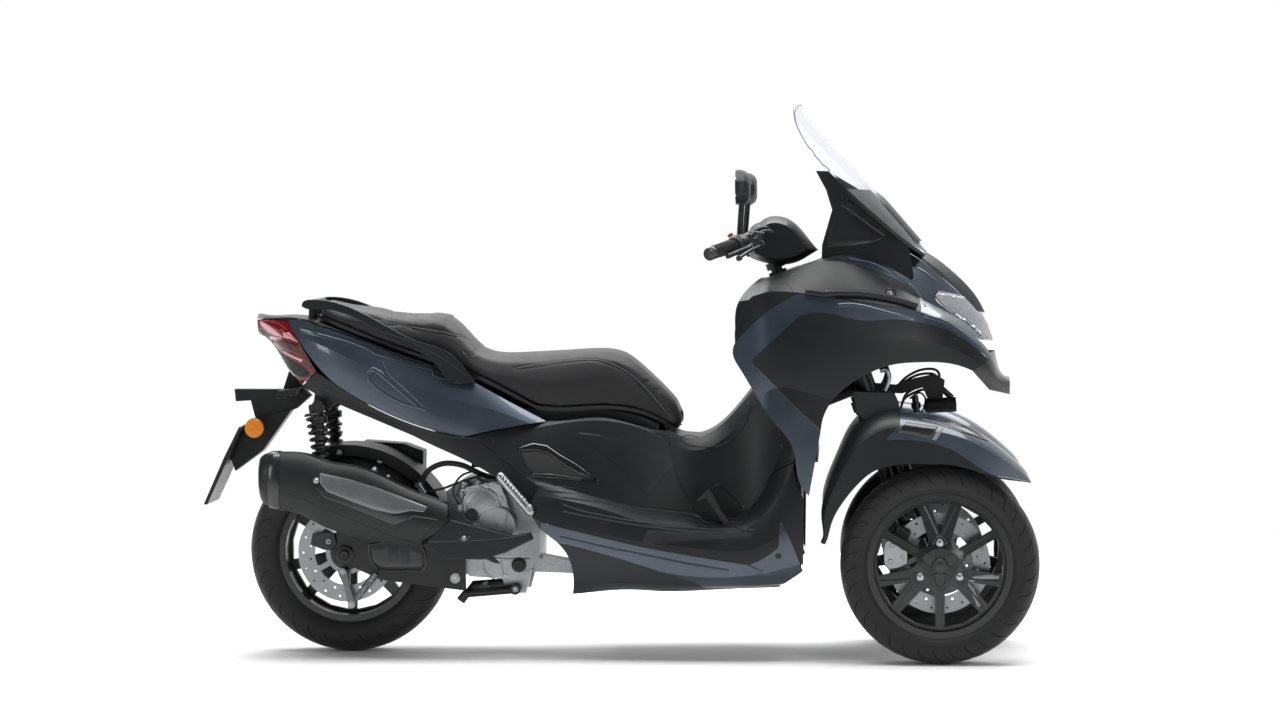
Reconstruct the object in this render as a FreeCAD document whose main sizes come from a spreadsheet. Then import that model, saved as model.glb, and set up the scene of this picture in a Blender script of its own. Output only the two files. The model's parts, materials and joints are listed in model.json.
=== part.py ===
"""Motorized trike: a leaning three-wheeled scooter, modelled in millimetres.

Row frame: +X points forward, +Y to the rider's left and +Z up. The origin lies on the floor,
half-way between the tip of the plate holder and the front of the front tyres, in the centre plane.
Outlines are written as shares: x of the wheelbase, counted forward from the rear axle, z of the
seat height, counted up from the floor, and y of the body's half width.
"""
import FreeCAD, Part
import math
import os
import re
import Sketcher
from FreeCAD import Placement, Rotation, Vector

SIZES = {
    # Whole vehicle
    "wheelbase": 1595,
    "front_track": 470,
    "rear_overhang": 393,
    "seat_height": 795,
    "body_half_width": 270,
    "bar_span": 812,
    # Fits, walls and clearances
    "panel_wall": 4,
    "panel_gap": 0.8,
    "seating": 0.3,
    "running": 0.05,
    "moving_gap": 6,
    "overrun": 20,
    # Wheels and brakes
    "front_tyre_radius": 262,
    "front_tyre_width": 120,
    "rear_tyre_radius": 276,
    "rear_tyre_width": 140,
    "rim_radius": 192,
    "rim_wall": 6,
    "bead_depth": 12,
    "front_rim_width": 92,
    "rear_rim_width": 108,
    "hub_radius": 46,
    "tyre_wall": 9,
    "bead_width": 12,
    "front_hub_inner": 40,
    "front_hub_outer": 40,
    "rear_hub_inner": 92,
    "rear_hub_outer": 80,
    "cap_rise": 8,
    "web_thickness": 26,
    "web_offset": 18,
    "window_edge": 8,
    "disc_radius": 133.5,
    "disc_inner_radius": 88,
    "disc_thickness": 5,
    "front_disc_offset": 30,
    "rear_disc_offset": 87.5,
    "disc_carrier_radius": 58,
    "disc_arm_width": 14,
    "disc_hole_radius": 3.2,
    "axle_radius": 12.5,
    "axle_cap_radius": 20,
    "caliper_length": 84,
    "caliper_width": 40,
    "caliper_depth": 46,
    "caliper_bridge": 10,
    "front_caliper_angle": 152,
    "rear_caliper_angle": 15,
    # Front knuckles and tilt linkage
    "kingpin_rake": 20,
    "trail": 68,
    "kingpin_inset": 87,
    "kingpin_radius": 11,
    "kingpin_housing_radius": 24,
    "kingpin_top": 790,
    "kingpin_bottom": 704,
    "fork_tube_radius": 17,
    "fork_tube_pitch": 52,
    "fork_plate": 26,
    "link_radius": 16,
    "link_lower": 724,
    "link_upper": 772,
    "tilt_post_radius": 30,
    "mudguard_half_width": 68,
    "mudguard_spread": 3,
    # Steering
    "head_x": 1150,
    "head_z": 1075,
    "stem_radius": 16,
    "bar_radius": 11,
    "bar_rise": 62,
    "bar_cover_reach": 156,
    "grip_radius": 17,
    "grip_length": 118,
    "bar_end_length": 22,
    "mirror_half_width": 68,
    "mirror_half_height": 45,
    "screen_half_width": 170,
    "screen_bow": 42,
    "screen_support_depth": 9,
    # Seat
    "lid_wall": 10,
    "hinge_half_width": 26,
    "hinge_pin_radius": 5,
    "hinge_sleeve_radius": 9,
    "hinge_room_below": 34,
    "hinge_room_above": 20,
    # Engine, drive and exhaust
    "engine_half_width": 105,
    "engine_cover_reach": 165,
    "engine_round_reach": 176,
    "engine_round_radius": 52,
    "swing_arm_offset": 128,
    "swing_arm_width": 26,
    "drive_case_inner": 85,
    "drive_case_width": 85,
    "shock_offset": 128,
    "shock_radius": 23,
    "shock_damper_radius": 13.5,
    "shock_eye_radius": 16,
    "shock_eye_half": 14,
    "shock_pin_radius": 7,
    "shock_bracket_offset": 92,
    "spring_wire": 5,
    "spring_coils": 7,
    "hugger_gap": 12,
    "hugger_lip": 14,
    "exhaust_offset": 208,
    "exhaust_half_width": 52,
    # Frame
    "frame_tube_radius": 17,
    "frame_half_width": 95,
    "head_tube_radius": 25,
    "lock_cylinder_radius": 20,
    # Stand, pegs, pedal, rail and plate holder
    "stand_tube_radius": 12,
    "stand_half_width": 100,
    "stand_pin_radius": 8,
    "stand_sleeve_radius": 14,
    "stand_lug_offset": 70,
    "peg_offset": 228,
    "peg_radius": 13,
    "pedal_offset": 190,
    "pedal_half_width": 14,
    "grab_inner": 142,
    "grab_outer": 166,
    "holder_half_width": 16,
    "plate_half_width": 85,
    "plate_hole_pitch": 120,
    "plate_hole_radius": 3.25,
    "reflector_radius": 26,
}

document = FreeCAD.newDocument("trike")
sheet = document.addObject("Spreadsheet::Sheet", "Sizes")
for row, (alias, number) in enumerate(SIZES.items(), start=1):
    sheet.set("A%d" % row, alias)
    sheet.set("B%d" % row, str(number))
    sheet.setAlias("B%d" % row, alias)
document.recompute()


class SheetReader:
    """Reads a size from its cell by its name."""

    def __getattr__(self, alias):
        return float(sheet.get(alias))


s = SheetReader()
subparts = []

# Places that follow from the driving sizes
REAR_AXLE_X = (s.rear_overhang - s.wheelbase - s.front_tyre_radius) / 2
FRONT_AXLE_X = REAR_AXLE_X + s.wheelbase
RAKE = math.radians(s.kingpin_rake)


def link(expression):
    """Name each size in the expression as a cell of the sheet."""
    return re.sub(r"[a-z]\w*", lambda word: "Sizes." + word.group(0), expression)


def value(expression):
    """Work out an expression written in the sheet's sizes."""
    return float(sheet.evalExpression(expression))


def x_at(x_share):
    """Row X of a share of the wheelbase ahead of the rear axle."""
    return REAR_AXLE_X + x_share * s.wheelbase


def z_at(z_share):
    """Row Z of a share of the seat height."""
    return z_share * s.seat_height


def y_at(y_share):
    """Row Y of a share of the body's half width."""
    return y_share * s.body_half_width


def keep(shape_object, label):
    """Note an object of the document as a sub-part under its own label."""
    shape_object.Label = label
    subparts.append(shape_object)
    return shape_object


def feature(label, shape):
    """Hold a shape as a sub-part of the document."""
    held = document.addObject("Part::Feature", label)
    held.Shape = shape
    held.Placement = Placement(Vector(0, 0, 0), Rotation())
    return keep(held, label)


# Helpers for sketched bodies

def new_body(label, place):
    """Start a body with its own label and placement."""
    body = document.addObject("PartDesign::Body", label)
    body.Placement = place
    return keep(body, label)


def origin_part(body, role):
    """Find a plane or an axis of the body's own origin."""
    return next(item for item in body.Origin.OriginFeatures if item.Role == role)


def profile_sketch(body, name, role, corners):
    """Sketch a closed polygon whose corners are bound to the sheet.

    Each corner is a pair of expressions, and zero stands for a corner on that axis.
    """
    sketch = body.newObject("Sketcher::SketchObject", name)
    sketch.AttachmentSupport = [(origin_part(body, role), "")]
    sketch.MapMode = "FlatFace"
    places = [[0.0 if term == 0 else value(term) for term in corner] for corner in corners]
    count = len(places)
    for index, (u, v) in enumerate(places):
        after_u, after_v = places[(index + 1) % count]
        sketch.addGeometry(Part.LineSegment(Vector(u, v, 0), Vector(after_u, after_v, 0)), False)
    for index in range(count):
        sketch.addConstraint(Sketcher.Constraint("Coincident", index, 2, (index + 1) % count, 1))
    for index, corner in enumerate(corners):
        for kind, axis, term in (("DistanceX", -2, corner[0]), ("DistanceY", -1, corner[1])):
            if term == 0:
                sketch.addConstraint(Sketcher.Constraint("PointOnObject", index, 1, axis))
            else:
                number = sketch.addConstraint(
                    Sketcher.Constraint(kind, -1, 1, index, 1, value(term)))
                sketch.setExpression("Constraints[%d]" % number, link(term))
    return sketch


def revolve(body, name, corners):
    """Turn a profile of (radius, distance along Y) about the body's Y axis."""
    turned = body.newObject("PartDesign::Revolution", name)
    turned.Profile = profile_sketch(body, name + "_profile", "XY_Plane", corners)
    turned.ReferenceAxis = (turned.Profile[0], ["V_Axis"])
    turned.Angle = 360
    return turned


def pad_both_ways(body, name, corners, length):
    """Pad a profile in the XZ plane evenly to both sides."""
    pad = body.newObject("PartDesign::Pad", name)
    pad.Profile = profile_sketch(body, name + "_profile", "XZ_Plane", corners)
    pad.Midplane = True
    pad.setExpression("Length", link(length))
    return pad


def pocket_both_ways(body, name, corners, length):
    """Cut a profile in the XZ plane evenly to both sides."""
    pocket = body.newObject("PartDesign::Pocket", name)
    pocket.Profile = profile_sketch(body, name + "_profile", "XZ_Plane", corners)
    pocket.Midplane = True
    pocket.setExpression("Length", link(length))
    return pocket


def repeat_about_axis(body, name, original, count):
    """Repeat a feature evenly about the body's Y axis."""
    pattern = body.newObject("PartDesign::PolarPattern", name)
    pattern.Originals = [original]
    pattern.Axis = (origin_part(body, "Y_Axis"), [""])
    pattern.Angle = 360
    pattern.Occurrences = count
    body.Tip = pattern
    return pattern


# Helpers for curved shapes

def bowed_ring(points, bow_share, place):
    """Close a ring through the points, each side bowed outward by a share of its length."""
    pairs = list(zip(points, points[1:] + points[:1]))
    turn = math.copysign(1, sum(a[0] * b[1] - b[0] * a[1] for a, b in pairs))
    edges = []
    for a, b in pairs:
        start, end = place(*a), place(*b)
        if bow_share == 0:
            edges.append(Part.LineSegment(start, end).toShape())
            continue
        middle = place((a[0] + b[0]) / 2 + turn * (b[1] - a[1]) * bow_share,
                       (a[1] + b[1]) / 2 - turn * (b[0] - a[0]) * bow_share)
        edges.append(Part.Arc(start, middle, end).toShape())
    return Part.Wire(edges)


def lofted(wires, ruled=False):
    """Loft a solid through closed wires, with its faces turned outward."""
    solid = Part.makeLoft(wires, True, ruled)
    if solid.Volume < 0:
        solid.reverse()
    return solid


def inset(points, distance):
    """Move a half section, from the centre line round to its bottom, inward by a distance."""
    moved = []
    count = len(points)
    for index, (y, z) in enumerate(points):
        normals = []
        for a, b in ((index - 1, index), (index, index + 1)):
            if a >= 0 and b < count:
                dy, dz = points[b][0] - points[a][0], points[b][1] - points[a][1]
                length = math.hypot(dy, dz)
                normals.append((dz / length, -dy / length))
        if index == 0:
            normals = [(0.0, -1.0)]
        ny = sum(n[0] for n in normals) / len(normals)
        nz = sum(n[1] for n in normals) / len(normals)
        grow = distance / max(ny * ny + nz * nz, 0.3)
        moved.append((max(y + grow * ny, 0.0), z + grow * nz))
    return moved


def form(stations, distance, bow_share, ends):
    """Loft a closed form through mirrored half sections, moved inward by a distance.

    stations are (x share, half section in shares); ends are the lengths by which the form
    is drawn out past its first and last station.
    """
    wires = []
    for index, (x_share, half) in enumerate(stations):
        points = inset([(y_at(y), z_at(z)) for y, z in half], distance)
        ring = points + [(-y, z) for y, z in reversed(points[1:])]
        x = x_at(x_share)
        if index == 0:
            x -= ends[0]
        if index == len(stations) - 1:
            x += ends[1]
        wires.append(bowed_ring(ring, bow_share, lambda y, z: Vector(x, y, z)))
    return lofted(wires)


def shrink(loop, distance):
    """Move the points of a closed loop inward by a distance."""
    pairs = list(zip(loop, loop[1:] + loop[:1]))
    turn = math.copysign(1, sum(a[0] * b[1] - b[0] * a[1] for a, b in pairs))
    moved = []
    for index, (x, z) in enumerate(loop):
        before, after = loop[index - 1], loop[(index + 1) % len(loop)]
        normals = []
        for a, b in ((before, (x, z)), ((x, z), after)):
            length = math.hypot(b[0] - a[0], b[1] - a[1])
            normals.append((-turn * (b[1] - a[1]) / length, turn * (b[0] - a[0]) / length))
        nx = (normals[0][0] + normals[1][0]) / 2
        nz = (normals[0][1] + normals[1][1]) / 2
        grow = distance / max(nx * nx + nz * nz, 0.3)
        moved.append((x + grow * nx, z + grow * nz))
    return moved


def outline_face(runs, y, distance):
    """Face a side outline, moved inward by a distance.

    The outline is made of runs: two points are a straight edge, more are a curve.
    """
    loop = [(x_at(x), z_at(z)) for run in runs for x, z in run[:-1]]
    moved = shrink(loop, distance)
    edges = []
    start = 0
    for run in runs:
        steps = range(start, start + len(run))
        points = [Vector(moved[step % len(moved)][0], y, moved[step % len(moved)][1])
                  for step in steps]
        start += len(run) - 1
        if len(points) == 2:
            edges.append(Part.LineSegment(points[0], points[1]).toShape())
        else:
            curve = Part.BSplineCurve()
            curve.interpolate(points)
            edges.append(curve.toShape())
    return Part.Face(Part.Wire(edges))


def side_prism(runs, inner_share, outer_share):
    """Draw a side outline out across the right half, shrunk by half a panel gap."""
    face = outline_face(runs, -y_at(outer_share), s.panel_gap / 2)
    return face.extrude(Vector(0, y_at(outer_share) - y_at(inner_share), 0))


def mirrored(shape):
    """The same shape on the other side of the centre plane."""
    return shape.mirror(Vector(0, 0, 0), Vector(0, 1, 0))


def both_sides(shape):
    """A shape with its mirror image, as separate solids."""
    return Part.makeCompound(shape.Solids + mirrored(shape).Solids)


def largest(shape):
    """The largest solid of a shape, without slivers."""
    return max(shape.Solids, key=lambda solid: solid.Volume)


def panel_pair(label, shell, runs, inner_share=0.1, outer_share=1.3):
    """A pair of side panels, cut from a body shell by their outline."""
    right = largest(shell.common(side_prism(runs, inner_share, outer_share)))
    return feature(label, both_sides(right))


def panel_across(label, shell, runs, outer_share=1.3):
    """One panel that runs across the centre plane."""
    right_to_left = side_prism(runs, -outer_share, outer_share)
    return feature(label, largest(shell.common(right_to_left)))


def tube(points, radius, bend):
    """A round tube along straight runs joined by bends."""
    edges = []
    previous = points[0]
    for before, corner, after in zip(points, points[1:], points[2:]):
        towards, away = (before - corner), (after - corner)
        towards.normalize()
        away.normalize()
        half = towards.getAngle(away) / 2
        reach = bend / math.tan(half)
        start, end = corner + towards * reach, corner + away * reach
        bisector = towards + away
        bisector.normalize()
        middle = corner + bisector * (bend / math.sin(half) - bend)
        edges.append(Part.LineSegment(previous, start).toShape())
        edges.append(Part.Arc(start, middle, end).toShape())
        previous = end
    edges.append(Part.LineSegment(previous, points[-1]).toShape())
    path = Part.Wire(edges)
    ring = Part.Wire([Part.Circle(points[0], points[1] - points[0], radius).toShape()])
    return path.makePipeShell([ring], True, False)


def rod(start, end, radius):
    """A straight round bar between two points."""
    return Part.makeCylinder(radius, (end - start).Length, start, end - start)


def prism(outline, y_from, y_to):
    """A flat plate from a polygon of (x, z) points in the row frame."""
    points = [Vector(x, y_from, z) for x, z in outline]
    face = Part.Face(Part.makePolygon(points + points[:1]))
    return face.extrude(Vector(0, y_to - y_from, 0))


def section_loft(stations, bow_share, ruled=False):
    """Loft through closed sections: (x, [(y, z), ...]) in the row frame."""
    wires = [bowed_ring(ring, bow_share, lambda y, z, x=x: Vector(x, y, z))
             for x, ring in stations]
    return lofted(wires, ruled)


# Half sections of the front body: centre line, strip edge, shoulder, recess edge, widest
# line, cowl edge and foot
FRONT_SECTION_SHARES = (
    (0.652, ((0, 1.245), (0.22, 1.245), (0.56, 1.24), (0.85, 1.205), (0.955, 1.10), (0.97, 0.93), (0.925, 0.415))),
    (0.72, ((0, 1.272), (0.22, 1.275), (0.61, 1.28), (0.907, 1.235), (1.0, 1.12), (1.0, 0.91), (0.945, 0.377))),
    (0.785, ((0, 1.318), (0.22, 1.322), (0.637, 1.325), (0.915, 1.228), (1.007, 1.11), (0.993, 0.90), (0.945, 0.377))),
    (0.845, ((0, 1.380), (0.21, 1.375), (0.622, 1.33), (0.889, 1.21), (0.978, 1.09), (0.948, 0.88), (0.907, 0.5))),
    (0.91, ((0, 1.404), (0.2, 1.385), (0.563, 1.27), (0.822, 1.19), (0.911, 1.08), (0.874, 0.93), (0.833, 0.755))),
    (0.972, ((0, 1.372), (0.19, 1.343), (0.489, 1.205), (0.726, 1.163), (0.8, 1.068), (0.759, 0.956), (0.722, 0.83))),
    (1.035, ((0, 1.28), (0.15, 1.24), (0.363, 1.142), (0.563, 1.105), (0.637, 1.03), (0.6, 0.943), (0.556, 0.855))),
    (1.083, ((0, 1.145), (0.11, 1.11), (0.244, 1.06), (0.4, 1.02), (0.467, 0.972), (0.437, 0.922), (0.389, 0.868))),
    (1.097, ((0, 1.035), (0.1, 1.02), (0.21, 0.998), (0.33, 0.972), (0.385, 0.945), (0.36, 0.912), (0.32, 0.872))),
    (1.121, ((0, 0.938), (0.067, 0.936), (0.133, 0.932), (0.207, 0.926), (0.237, 0.916), (0.222, 0.902), (0.185, 0.88))),
)

# Half sections of the middle body: centre line, top edge, shoulder, floor's inner edge, floor's
# outer edge, widest line, sill crease, belly edge and bottom
MIDDLE_SECTION_SHARES = (
    (0.19, ((0, 0.86), (0.5, 0.85), (0.62, 0.76), (0.68, 0.67), (0.71, 0.6), (0.73, 0.52), (0.73, 0.45), (0.68, 0.3), (0.4, 0.26))),
    (0.28, ((0, 0.855), (0.5, 0.845), (0.64, 0.76), (0.74, 0.64), (0.79, 0.58), (0.82, 0.5), (0.81, 0.42), (0.72, 0.3), (0.4, 0.25))),
    (0.36, ((0, 0.835), (0.46, 0.83), (0.6, 0.79), (0.8, 0.59), (0.89, 0.55), (0.93, 0.46), (0.90, 0.38), (0.78, 0.28), (0.55, 0.215))),
    (0.45, ((0, 0.835), (0.46, 0.83), (0.59, 0.80), (0.77, 0.54), (0.92, 0.51), (0.965, 0.43), (0.935, 0.34), (0.78, 0.265), (0.55, 0.228))),
    (0.53, ((0, 0.79), (0.42, 0.785), (0.54, 0.75), (0.65, 0.505), (0.92, 0.46), (0.98, 0.40), (0.955, 0.31), (0.77, 0.255), (0.55, 0.226))),
    (0.6, ((0, 0.748), (0.36, 0.742), (0.46, 0.70), (0.54, 0.485), (0.92, 0.447), (0.99, 0.385), (0.965, 0.29), (0.77, 0.25), (0.55, 0.228))),
    (0.665, ((0, 0.85), (0.33, 0.84), (0.45, 0.78), (0.54, 0.48), (0.92, 0.44), (0.995, 0.375), (0.97, 0.29), (0.77, 0.25), (0.55, 0.235))),
    (0.73, ((0, 1.0), (0.33, 0.98), (0.52, 0.9), (0.7, 0.66), (0.92, 0.55), (0.985, 0.42), (0.96, 0.31), (0.77, 0.258), (0.55, 0.24))),
    (0.795, ((0, 1.1), (0.33, 1.08), (0.55, 1.0), (0.78, 0.8), (0.9, 0.66), (0.945, 0.48), (0.92, 0.35), (0.77, 0.29), (0.55, 0.27))),
)

# Half sections of the tail: centre line, top edge, widest line, blue panel's edge, trim's edge
# and bottom
TAIL_SECTION_SHARES = (
    (-0.155, ((0, 1.16), (0.1, 1.158), (0.17, 1.145), (0.15, 1.12), (0.11, 1.10), (0.05, 1.09))),
    (-0.1, ((0, 1.155), (0.3, 1.15), (0.38, 1.10), (0.345, 1.04), (0.27, 0.985), (0.15, 0.96))),
    (-0.04, ((0, 1.135), (0.42, 1.13), (0.52, 1.06), (0.5, 0.965), (0.43, 0.87), (0.3, 0.84))),
    (0.06, ((0, 1.06), (0.5, 1.052), (0.62, 0.97), (0.6, 0.865), (0.53, 0.79), (0.4, 0.76))),
    (0.16, ((0, 0.99), (0.52, 0.982), (0.645, 0.89), (0.645, 0.775), (0.61, 0.69), (0.5, 0.65))),
    (0.24, ((0, 0.93), (0.53, 0.922), (0.655, 0.85), (0.67, 0.745), (0.69, 0.60), (0.62, 0.54))),
    (0.31, ((0, 0.855), (0.54, 0.848), (0.645, 0.80), (0.70, 0.72), (0.76, 0.53), (0.72, 0.47))),
    (0.37, ((0, 0.81), (0.52, 0.80), (0.61, 0.77), (0.70, 0.70), (0.80, 0.5), (0.76, 0.45))),
)
BODY_BOW_SHARE = 0.025

# Side outlines
STRIP_LINE_SHARES = ((0.865, 1.41), (0.903, 1.39), (0.938, 1.372), (0.972, 1.335), (1.007, 1.278),
                     (1.042, 1.215), (1.068, 1.16))
TRIM_TOP_SHARES = ((0.763, 1.226), (0.798, 1.224), (0.839, 1.208), (0.884, 1.194), (0.929, 1.183),
                   (0.97, 1.165), (1.005, 1.141), (1.036, 1.112), (1.067, 1.07), (1.087, 1.024))
TRIM_BOTTOM_SHARES = ((0.794, 1.166), (0.832, 1.156), (0.877, 1.137), (0.919, 1.141), (0.963, 1.131),
                      (1.005, 1.11), (1.039, 1.075), (1.067, 1.034), (1.085, 1.0))


def front_outlines():
    """Outlines of the panels of the front body, as runs of share points."""
    strip = STRIP_LINE_SHARES
    top = TRIM_TOP_SHARES
    low = TRIM_BOTTOM_SHARES
    dash_edge = ((0.746, 1.27), (0.77, 1.315), (0.791, 1.343), (0.82, 1.352))
    recess_edge = ((0.82, 1.352), (0.867, 1.32), (0.919, 1.282), (0.95, 1.247), (0.966, 1.213), (0.97, 1.165))
    lamp_rear = ((1.0, 1.232), (0.994, 1.218), (1.005, 1.185), (1.03, 1.148), (1.055, 1.112), (1.076, 1.066))
    return {
        "strip": (strip, (strip[-1], (1.14, 1.13)), ((1.14, 1.13), (1.14, 1.5)),
                  ((1.14, 1.5), (0.865, 1.5)), ((0.865, 1.5), strip[0])),
        "dash": (((0.763, 1.226), (0.746, 1.27)), dash_edge, ((0.82, 1.352), (0.865, 1.41)),
                 ((0.865, 1.41), (0.865, 1.5)), ((0.865, 1.5), (0.705, 1.5)), ((0.705, 1.5), (0.705, 1.235)),
                 ((0.705, 1.235), (0.682, 1.2), (0.668, 1.15), (0.664, 1.068)),
                 ((0.664, 1.068), (0.694, 1.132), (0.742, 1.202), (0.763, 1.226))),
        "nose_cowl": (recess_edge, ((0.97, 1.165), (1.005, 1.141), (1.036, 1.112), (1.067, 1.07)),
                      (top[-2], (1.076, 1.066)), tuple(reversed(lamp_rear)),
                      ((1.0, 1.232), (1.042, 1.215)),
                      tuple(reversed(strip[:-1])), (strip[0], (0.82, 1.352))),
        "recess": (((0.763, 1.226), (0.746, 1.27)), dash_edge, recess_edge, ((0.97, 1.165), (0.929, 1.183), (0.884, 1.194), (0.839, 1.208),
                                 (0.798, 1.224), (0.763, 1.226))),
        "lamp": (lamp_rear, ((1.076, 1.066), (1.14, 1.04)), ((1.14, 1.04), (1.14, 1.13)),
                 ((1.14, 1.13), strip[-1]), (strip[-1], strip[-2]), (strip[-2], (1.0, 1.232))),
        "trim": (top, (top[-1], low[-1]), tuple(reversed(low)),
                 (low[0], (0.77, 1.153)), ((0.77, 1.153), (0.694, 1.014)), ((0.694, 1.014), (0.694, 1.0)),
                 ((0.694, 1.0), (0.805, 0.776)), ((0.805, 0.776), (0.785, 0.56)),
                 ((0.785, 0.56), (0.768, 0.615), (0.763, 0.668), (0.755, 0.735), (0.731, 0.797),
                  (0.704, 0.872), (0.672, 0.98), (0.66, 1.03), (0.664, 1.068)),
                 ((0.664, 1.068), (0.694, 1.132), (0.742, 1.202), (0.763, 1.226))),
        "cowl": (low, (low[-1], (1.056, 0.966)),
                 ((1.056, 0.966), (1.012, 0.994), (0.963, 0.998), (0.922, 0.991), (0.887, 0.967),
                  (0.856, 0.932), (0.825, 0.877), (0.805, 0.776)), ((0.805, 0.776), (0.694, 1.0)),
                 ((0.694, 1.0), (0.694, 1.014)), ((0.694, 1.014), (0.77, 1.153)), ((0.77, 1.153), low[0])),
        "tip": (((1.085, 1.0), (1.087, 1.024)), ((1.087, 1.024), (1.14, 1.04)), ((1.14, 1.04), (1.14, 0.87)),
                ((1.14, 0.87), (1.085, 0.9)), ((1.085, 0.9), (1.056, 0.966)), ((1.056, 0.966), (1.085, 1.0))),
    }


MIDDLE_OUTLINES_SHARES = {
    "side_cover": (((0.349, 0.8), (0.378, 0.803), (0.435, 0.812), (0.468, 0.802), (0.515, 0.775), (0.545, 0.765)),
                   ((0.545, 0.765), (0.565, 0.6)), ((0.565, 0.6), (0.595, 0.496)),
                   ((0.595, 0.496), (0.48, 0.522), (0.372, 0.553)), ((0.372, 0.553), (0.335, 0.583)),
                   ((0.335, 0.583), (0.221, 0.752)), ((0.221, 0.752), (0.299, 0.785), (0.349, 0.8))),
    "tunnel": (((0.545, 0.765), (0.555, 0.762), (0.57, 0.755)), ((0.57, 0.755), (0.57, 0.9)),
               ((0.57, 0.9), (0.66, 0.98)), ((0.66, 0.98), (0.69, 0.98), (0.713, 0.9), (0.741, 0.83), (0.762, 0.76)),
               ((0.762, 0.76), (0.76, 0.67)), ((0.76, 0.67), (0.731, 0.642)), ((0.731, 0.642), (0.701, 0.565)),
               ((0.701, 0.565), (0.684, 0.474)),
               ((0.684, 0.474), (0.615, 0.48), (0.595, 0.496)), ((0.595, 0.496), (0.565, 0.6)),
               ((0.565, 0.6), (0.545, 0.765))),
    "floor": (((0.335, 0.583), (0.372, 0.553)), ((0.372, 0.553), (0.48, 0.522), (0.595, 0.496)),
              ((0.595, 0.496), (0.615, 0.48), (0.684, 0.474)), ((0.684, 0.474), (0.701, 0.565)),
              ((0.701, 0.565), (0.731, 0.64)), ((0.731, 0.64), (0.76, 0.668)),
              ((0.76, 0.668), (0.764, 0.608), (0.777, 0.546)), ((0.777, 0.546), (0.775, 0.325)),
              ((0.775, 0.325), (0.762, 0.375), (0.747, 0.442), (0.737, 0.476)),
              ((0.737, 0.476), (0.734, 0.39)), ((0.734, 0.39), (0.707, 0.35), (0.685, 0.33)),
              ((0.685, 0.33), (0.594, 0.359), (0.506, 0.391), (0.431, 0.425), (0.339, 0.469)),
              ((0.339, 0.469), (0.315, 0.5)), ((0.315, 0.5), (0.335, 0.583))),
    "sill": (((0.339, 0.469), (0.431, 0.425), (0.506, 0.391), (0.594, 0.359), (0.685, 0.33)),
             ((0.685, 0.33), (0.707, 0.35), (0.734, 0.39)), ((0.734, 0.39), (0.737, 0.476)),
             ((0.737, 0.476), (0.747, 0.442), (0.762, 0.375), (0.775, 0.305)), ((0.775, 0.305), (0.74, 0.254)),
             ((0.74, 0.254), (0.676, 0.247), (0.61, 0.243)), ((0.61, 0.243), (0.596, 0.266)),
             ((0.596, 0.266), (0.468, 0.35), (0.366, 0.404)), ((0.366, 0.404), (0.339, 0.445)),
             ((0.339, 0.445), (0.339, 0.469))),
    "belly": (((0.366, 0.404), (0.468, 0.35), (0.596, 0.266)), ((0.596, 0.266), (0.61, 0.243)),
              ((0.61, 0.243), (0.735, 0.25)), ((0.735, 0.25), (0.735, 0.17)), ((0.735, 0.17), (0.378, 0.17)),
              ((0.378, 0.17), (0.391, 0.259), (0.389, 0.327), (0.366, 0.404))),
}

TAIL_OUTLINES_SHARES = {
    "blue": (((-0.098, 1.14), (-0.069, 1.14), (-0.044, 1.122)), ((-0.044, 1.122), (0.07, 1.04), (0.17, 0.965), (0.211, 0.945)),
             ((0.211, 0.945), (0.281, 0.868), (0.345, 0.8)), ((0.345, 0.8), (0.299, 0.787), (0.207, 0.749)),
             ((0.207, 0.749), (0.165, 0.766), (-0.017, 0.933)),
             ((-0.017, 0.933), (-0.038, 0.974), (-0.076, 1.071), (-0.098, 1.14))),
    "trim": (((-0.045, 0.965), (-0.017, 0.931)), ((-0.017, 0.931), (0.165, 0.764), (0.207, 0.747)),
             ((0.207, 0.747), (0.222, 0.75)), ((0.222, 0.75), (0.335, 0.583)), ((0.335, 0.583), (0.315, 0.5)),
             ((0.315, 0.5), (0.27, 0.6), (0.188, 0.69), (0.122, 0.75)), ((0.122, 0.75), (-0.048, 0.889)),
             ((-0.048, 0.889), (-0.075, 0.915)), ((-0.075, 0.915), (-0.045, 0.965))),
    "lamp": (((-0.098, 1.138), (-0.076, 1.069), (-0.046, 0.967)), ((-0.046, 0.967), (-0.077, 0.915)),
             ((-0.077, 0.915), (-0.2, 1.05)), ((-0.2, 1.05), (-0.2, 1.145)), ((-0.2, 1.145), (-0.098, 1.138))),
    "deck": (((-0.2, 1.147), (-0.098, 1.141)), ((-0.098, 1.141), (-0.069, 1.141), (-0.044, 1.124)),
             ((-0.044, 1.124), (0.07, 1.042), (0.17, 0.967), (0.205, 0.952)), ((0.205, 0.952), (0.205, 1.2)),
             ((0.205, 1.2), (-0.2, 1.2)), ((-0.2, 1.2), (-0.2, 1.147))),
}


def shell_of(stations, ends_inner):
    """The wall of a body form: its outer form less the one a wall inside it."""
    outer = form(stations, 0, BODY_BOW_SHARE, (0, 0))
    inner = form(stations, s.panel_wall, BODY_BOW_SHARE, ends_inner)
    return outer.cut(inner)


def build_front_body():
    """Panels of the nose, the cowls and the dash."""
    shell = shell_of(FRONT_SECTION_SHARES, (s.overrun, -s.panel_wall))
    runs = front_outlines()
    panel_across("nose_trim", shell, runs["strip"])
    dash = largest(shell.common(side_prism(runs["dash"], -1.3, 1.3)))
    feature("dash_top", largest(dash.cut(rod(head_point(1.0), head_point(1.5), s.head_tube_radius + s.seating))))
    panel_pair("nose_cowl", shell, runs["nose_cowl"], 0.12)
    panel_pair("recess_panels", shell, runs["recess"])
    panel_pair("headlamps", shell, runs["lamp"], 0.08)
    panel_pair("side_trims", shell, runs["trim"], 0.2)
    panel_pair("side_cowls", shell, runs["cowl"], 0.2)
    panel_across("nose_tip", shell, runs["tip"])


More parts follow.
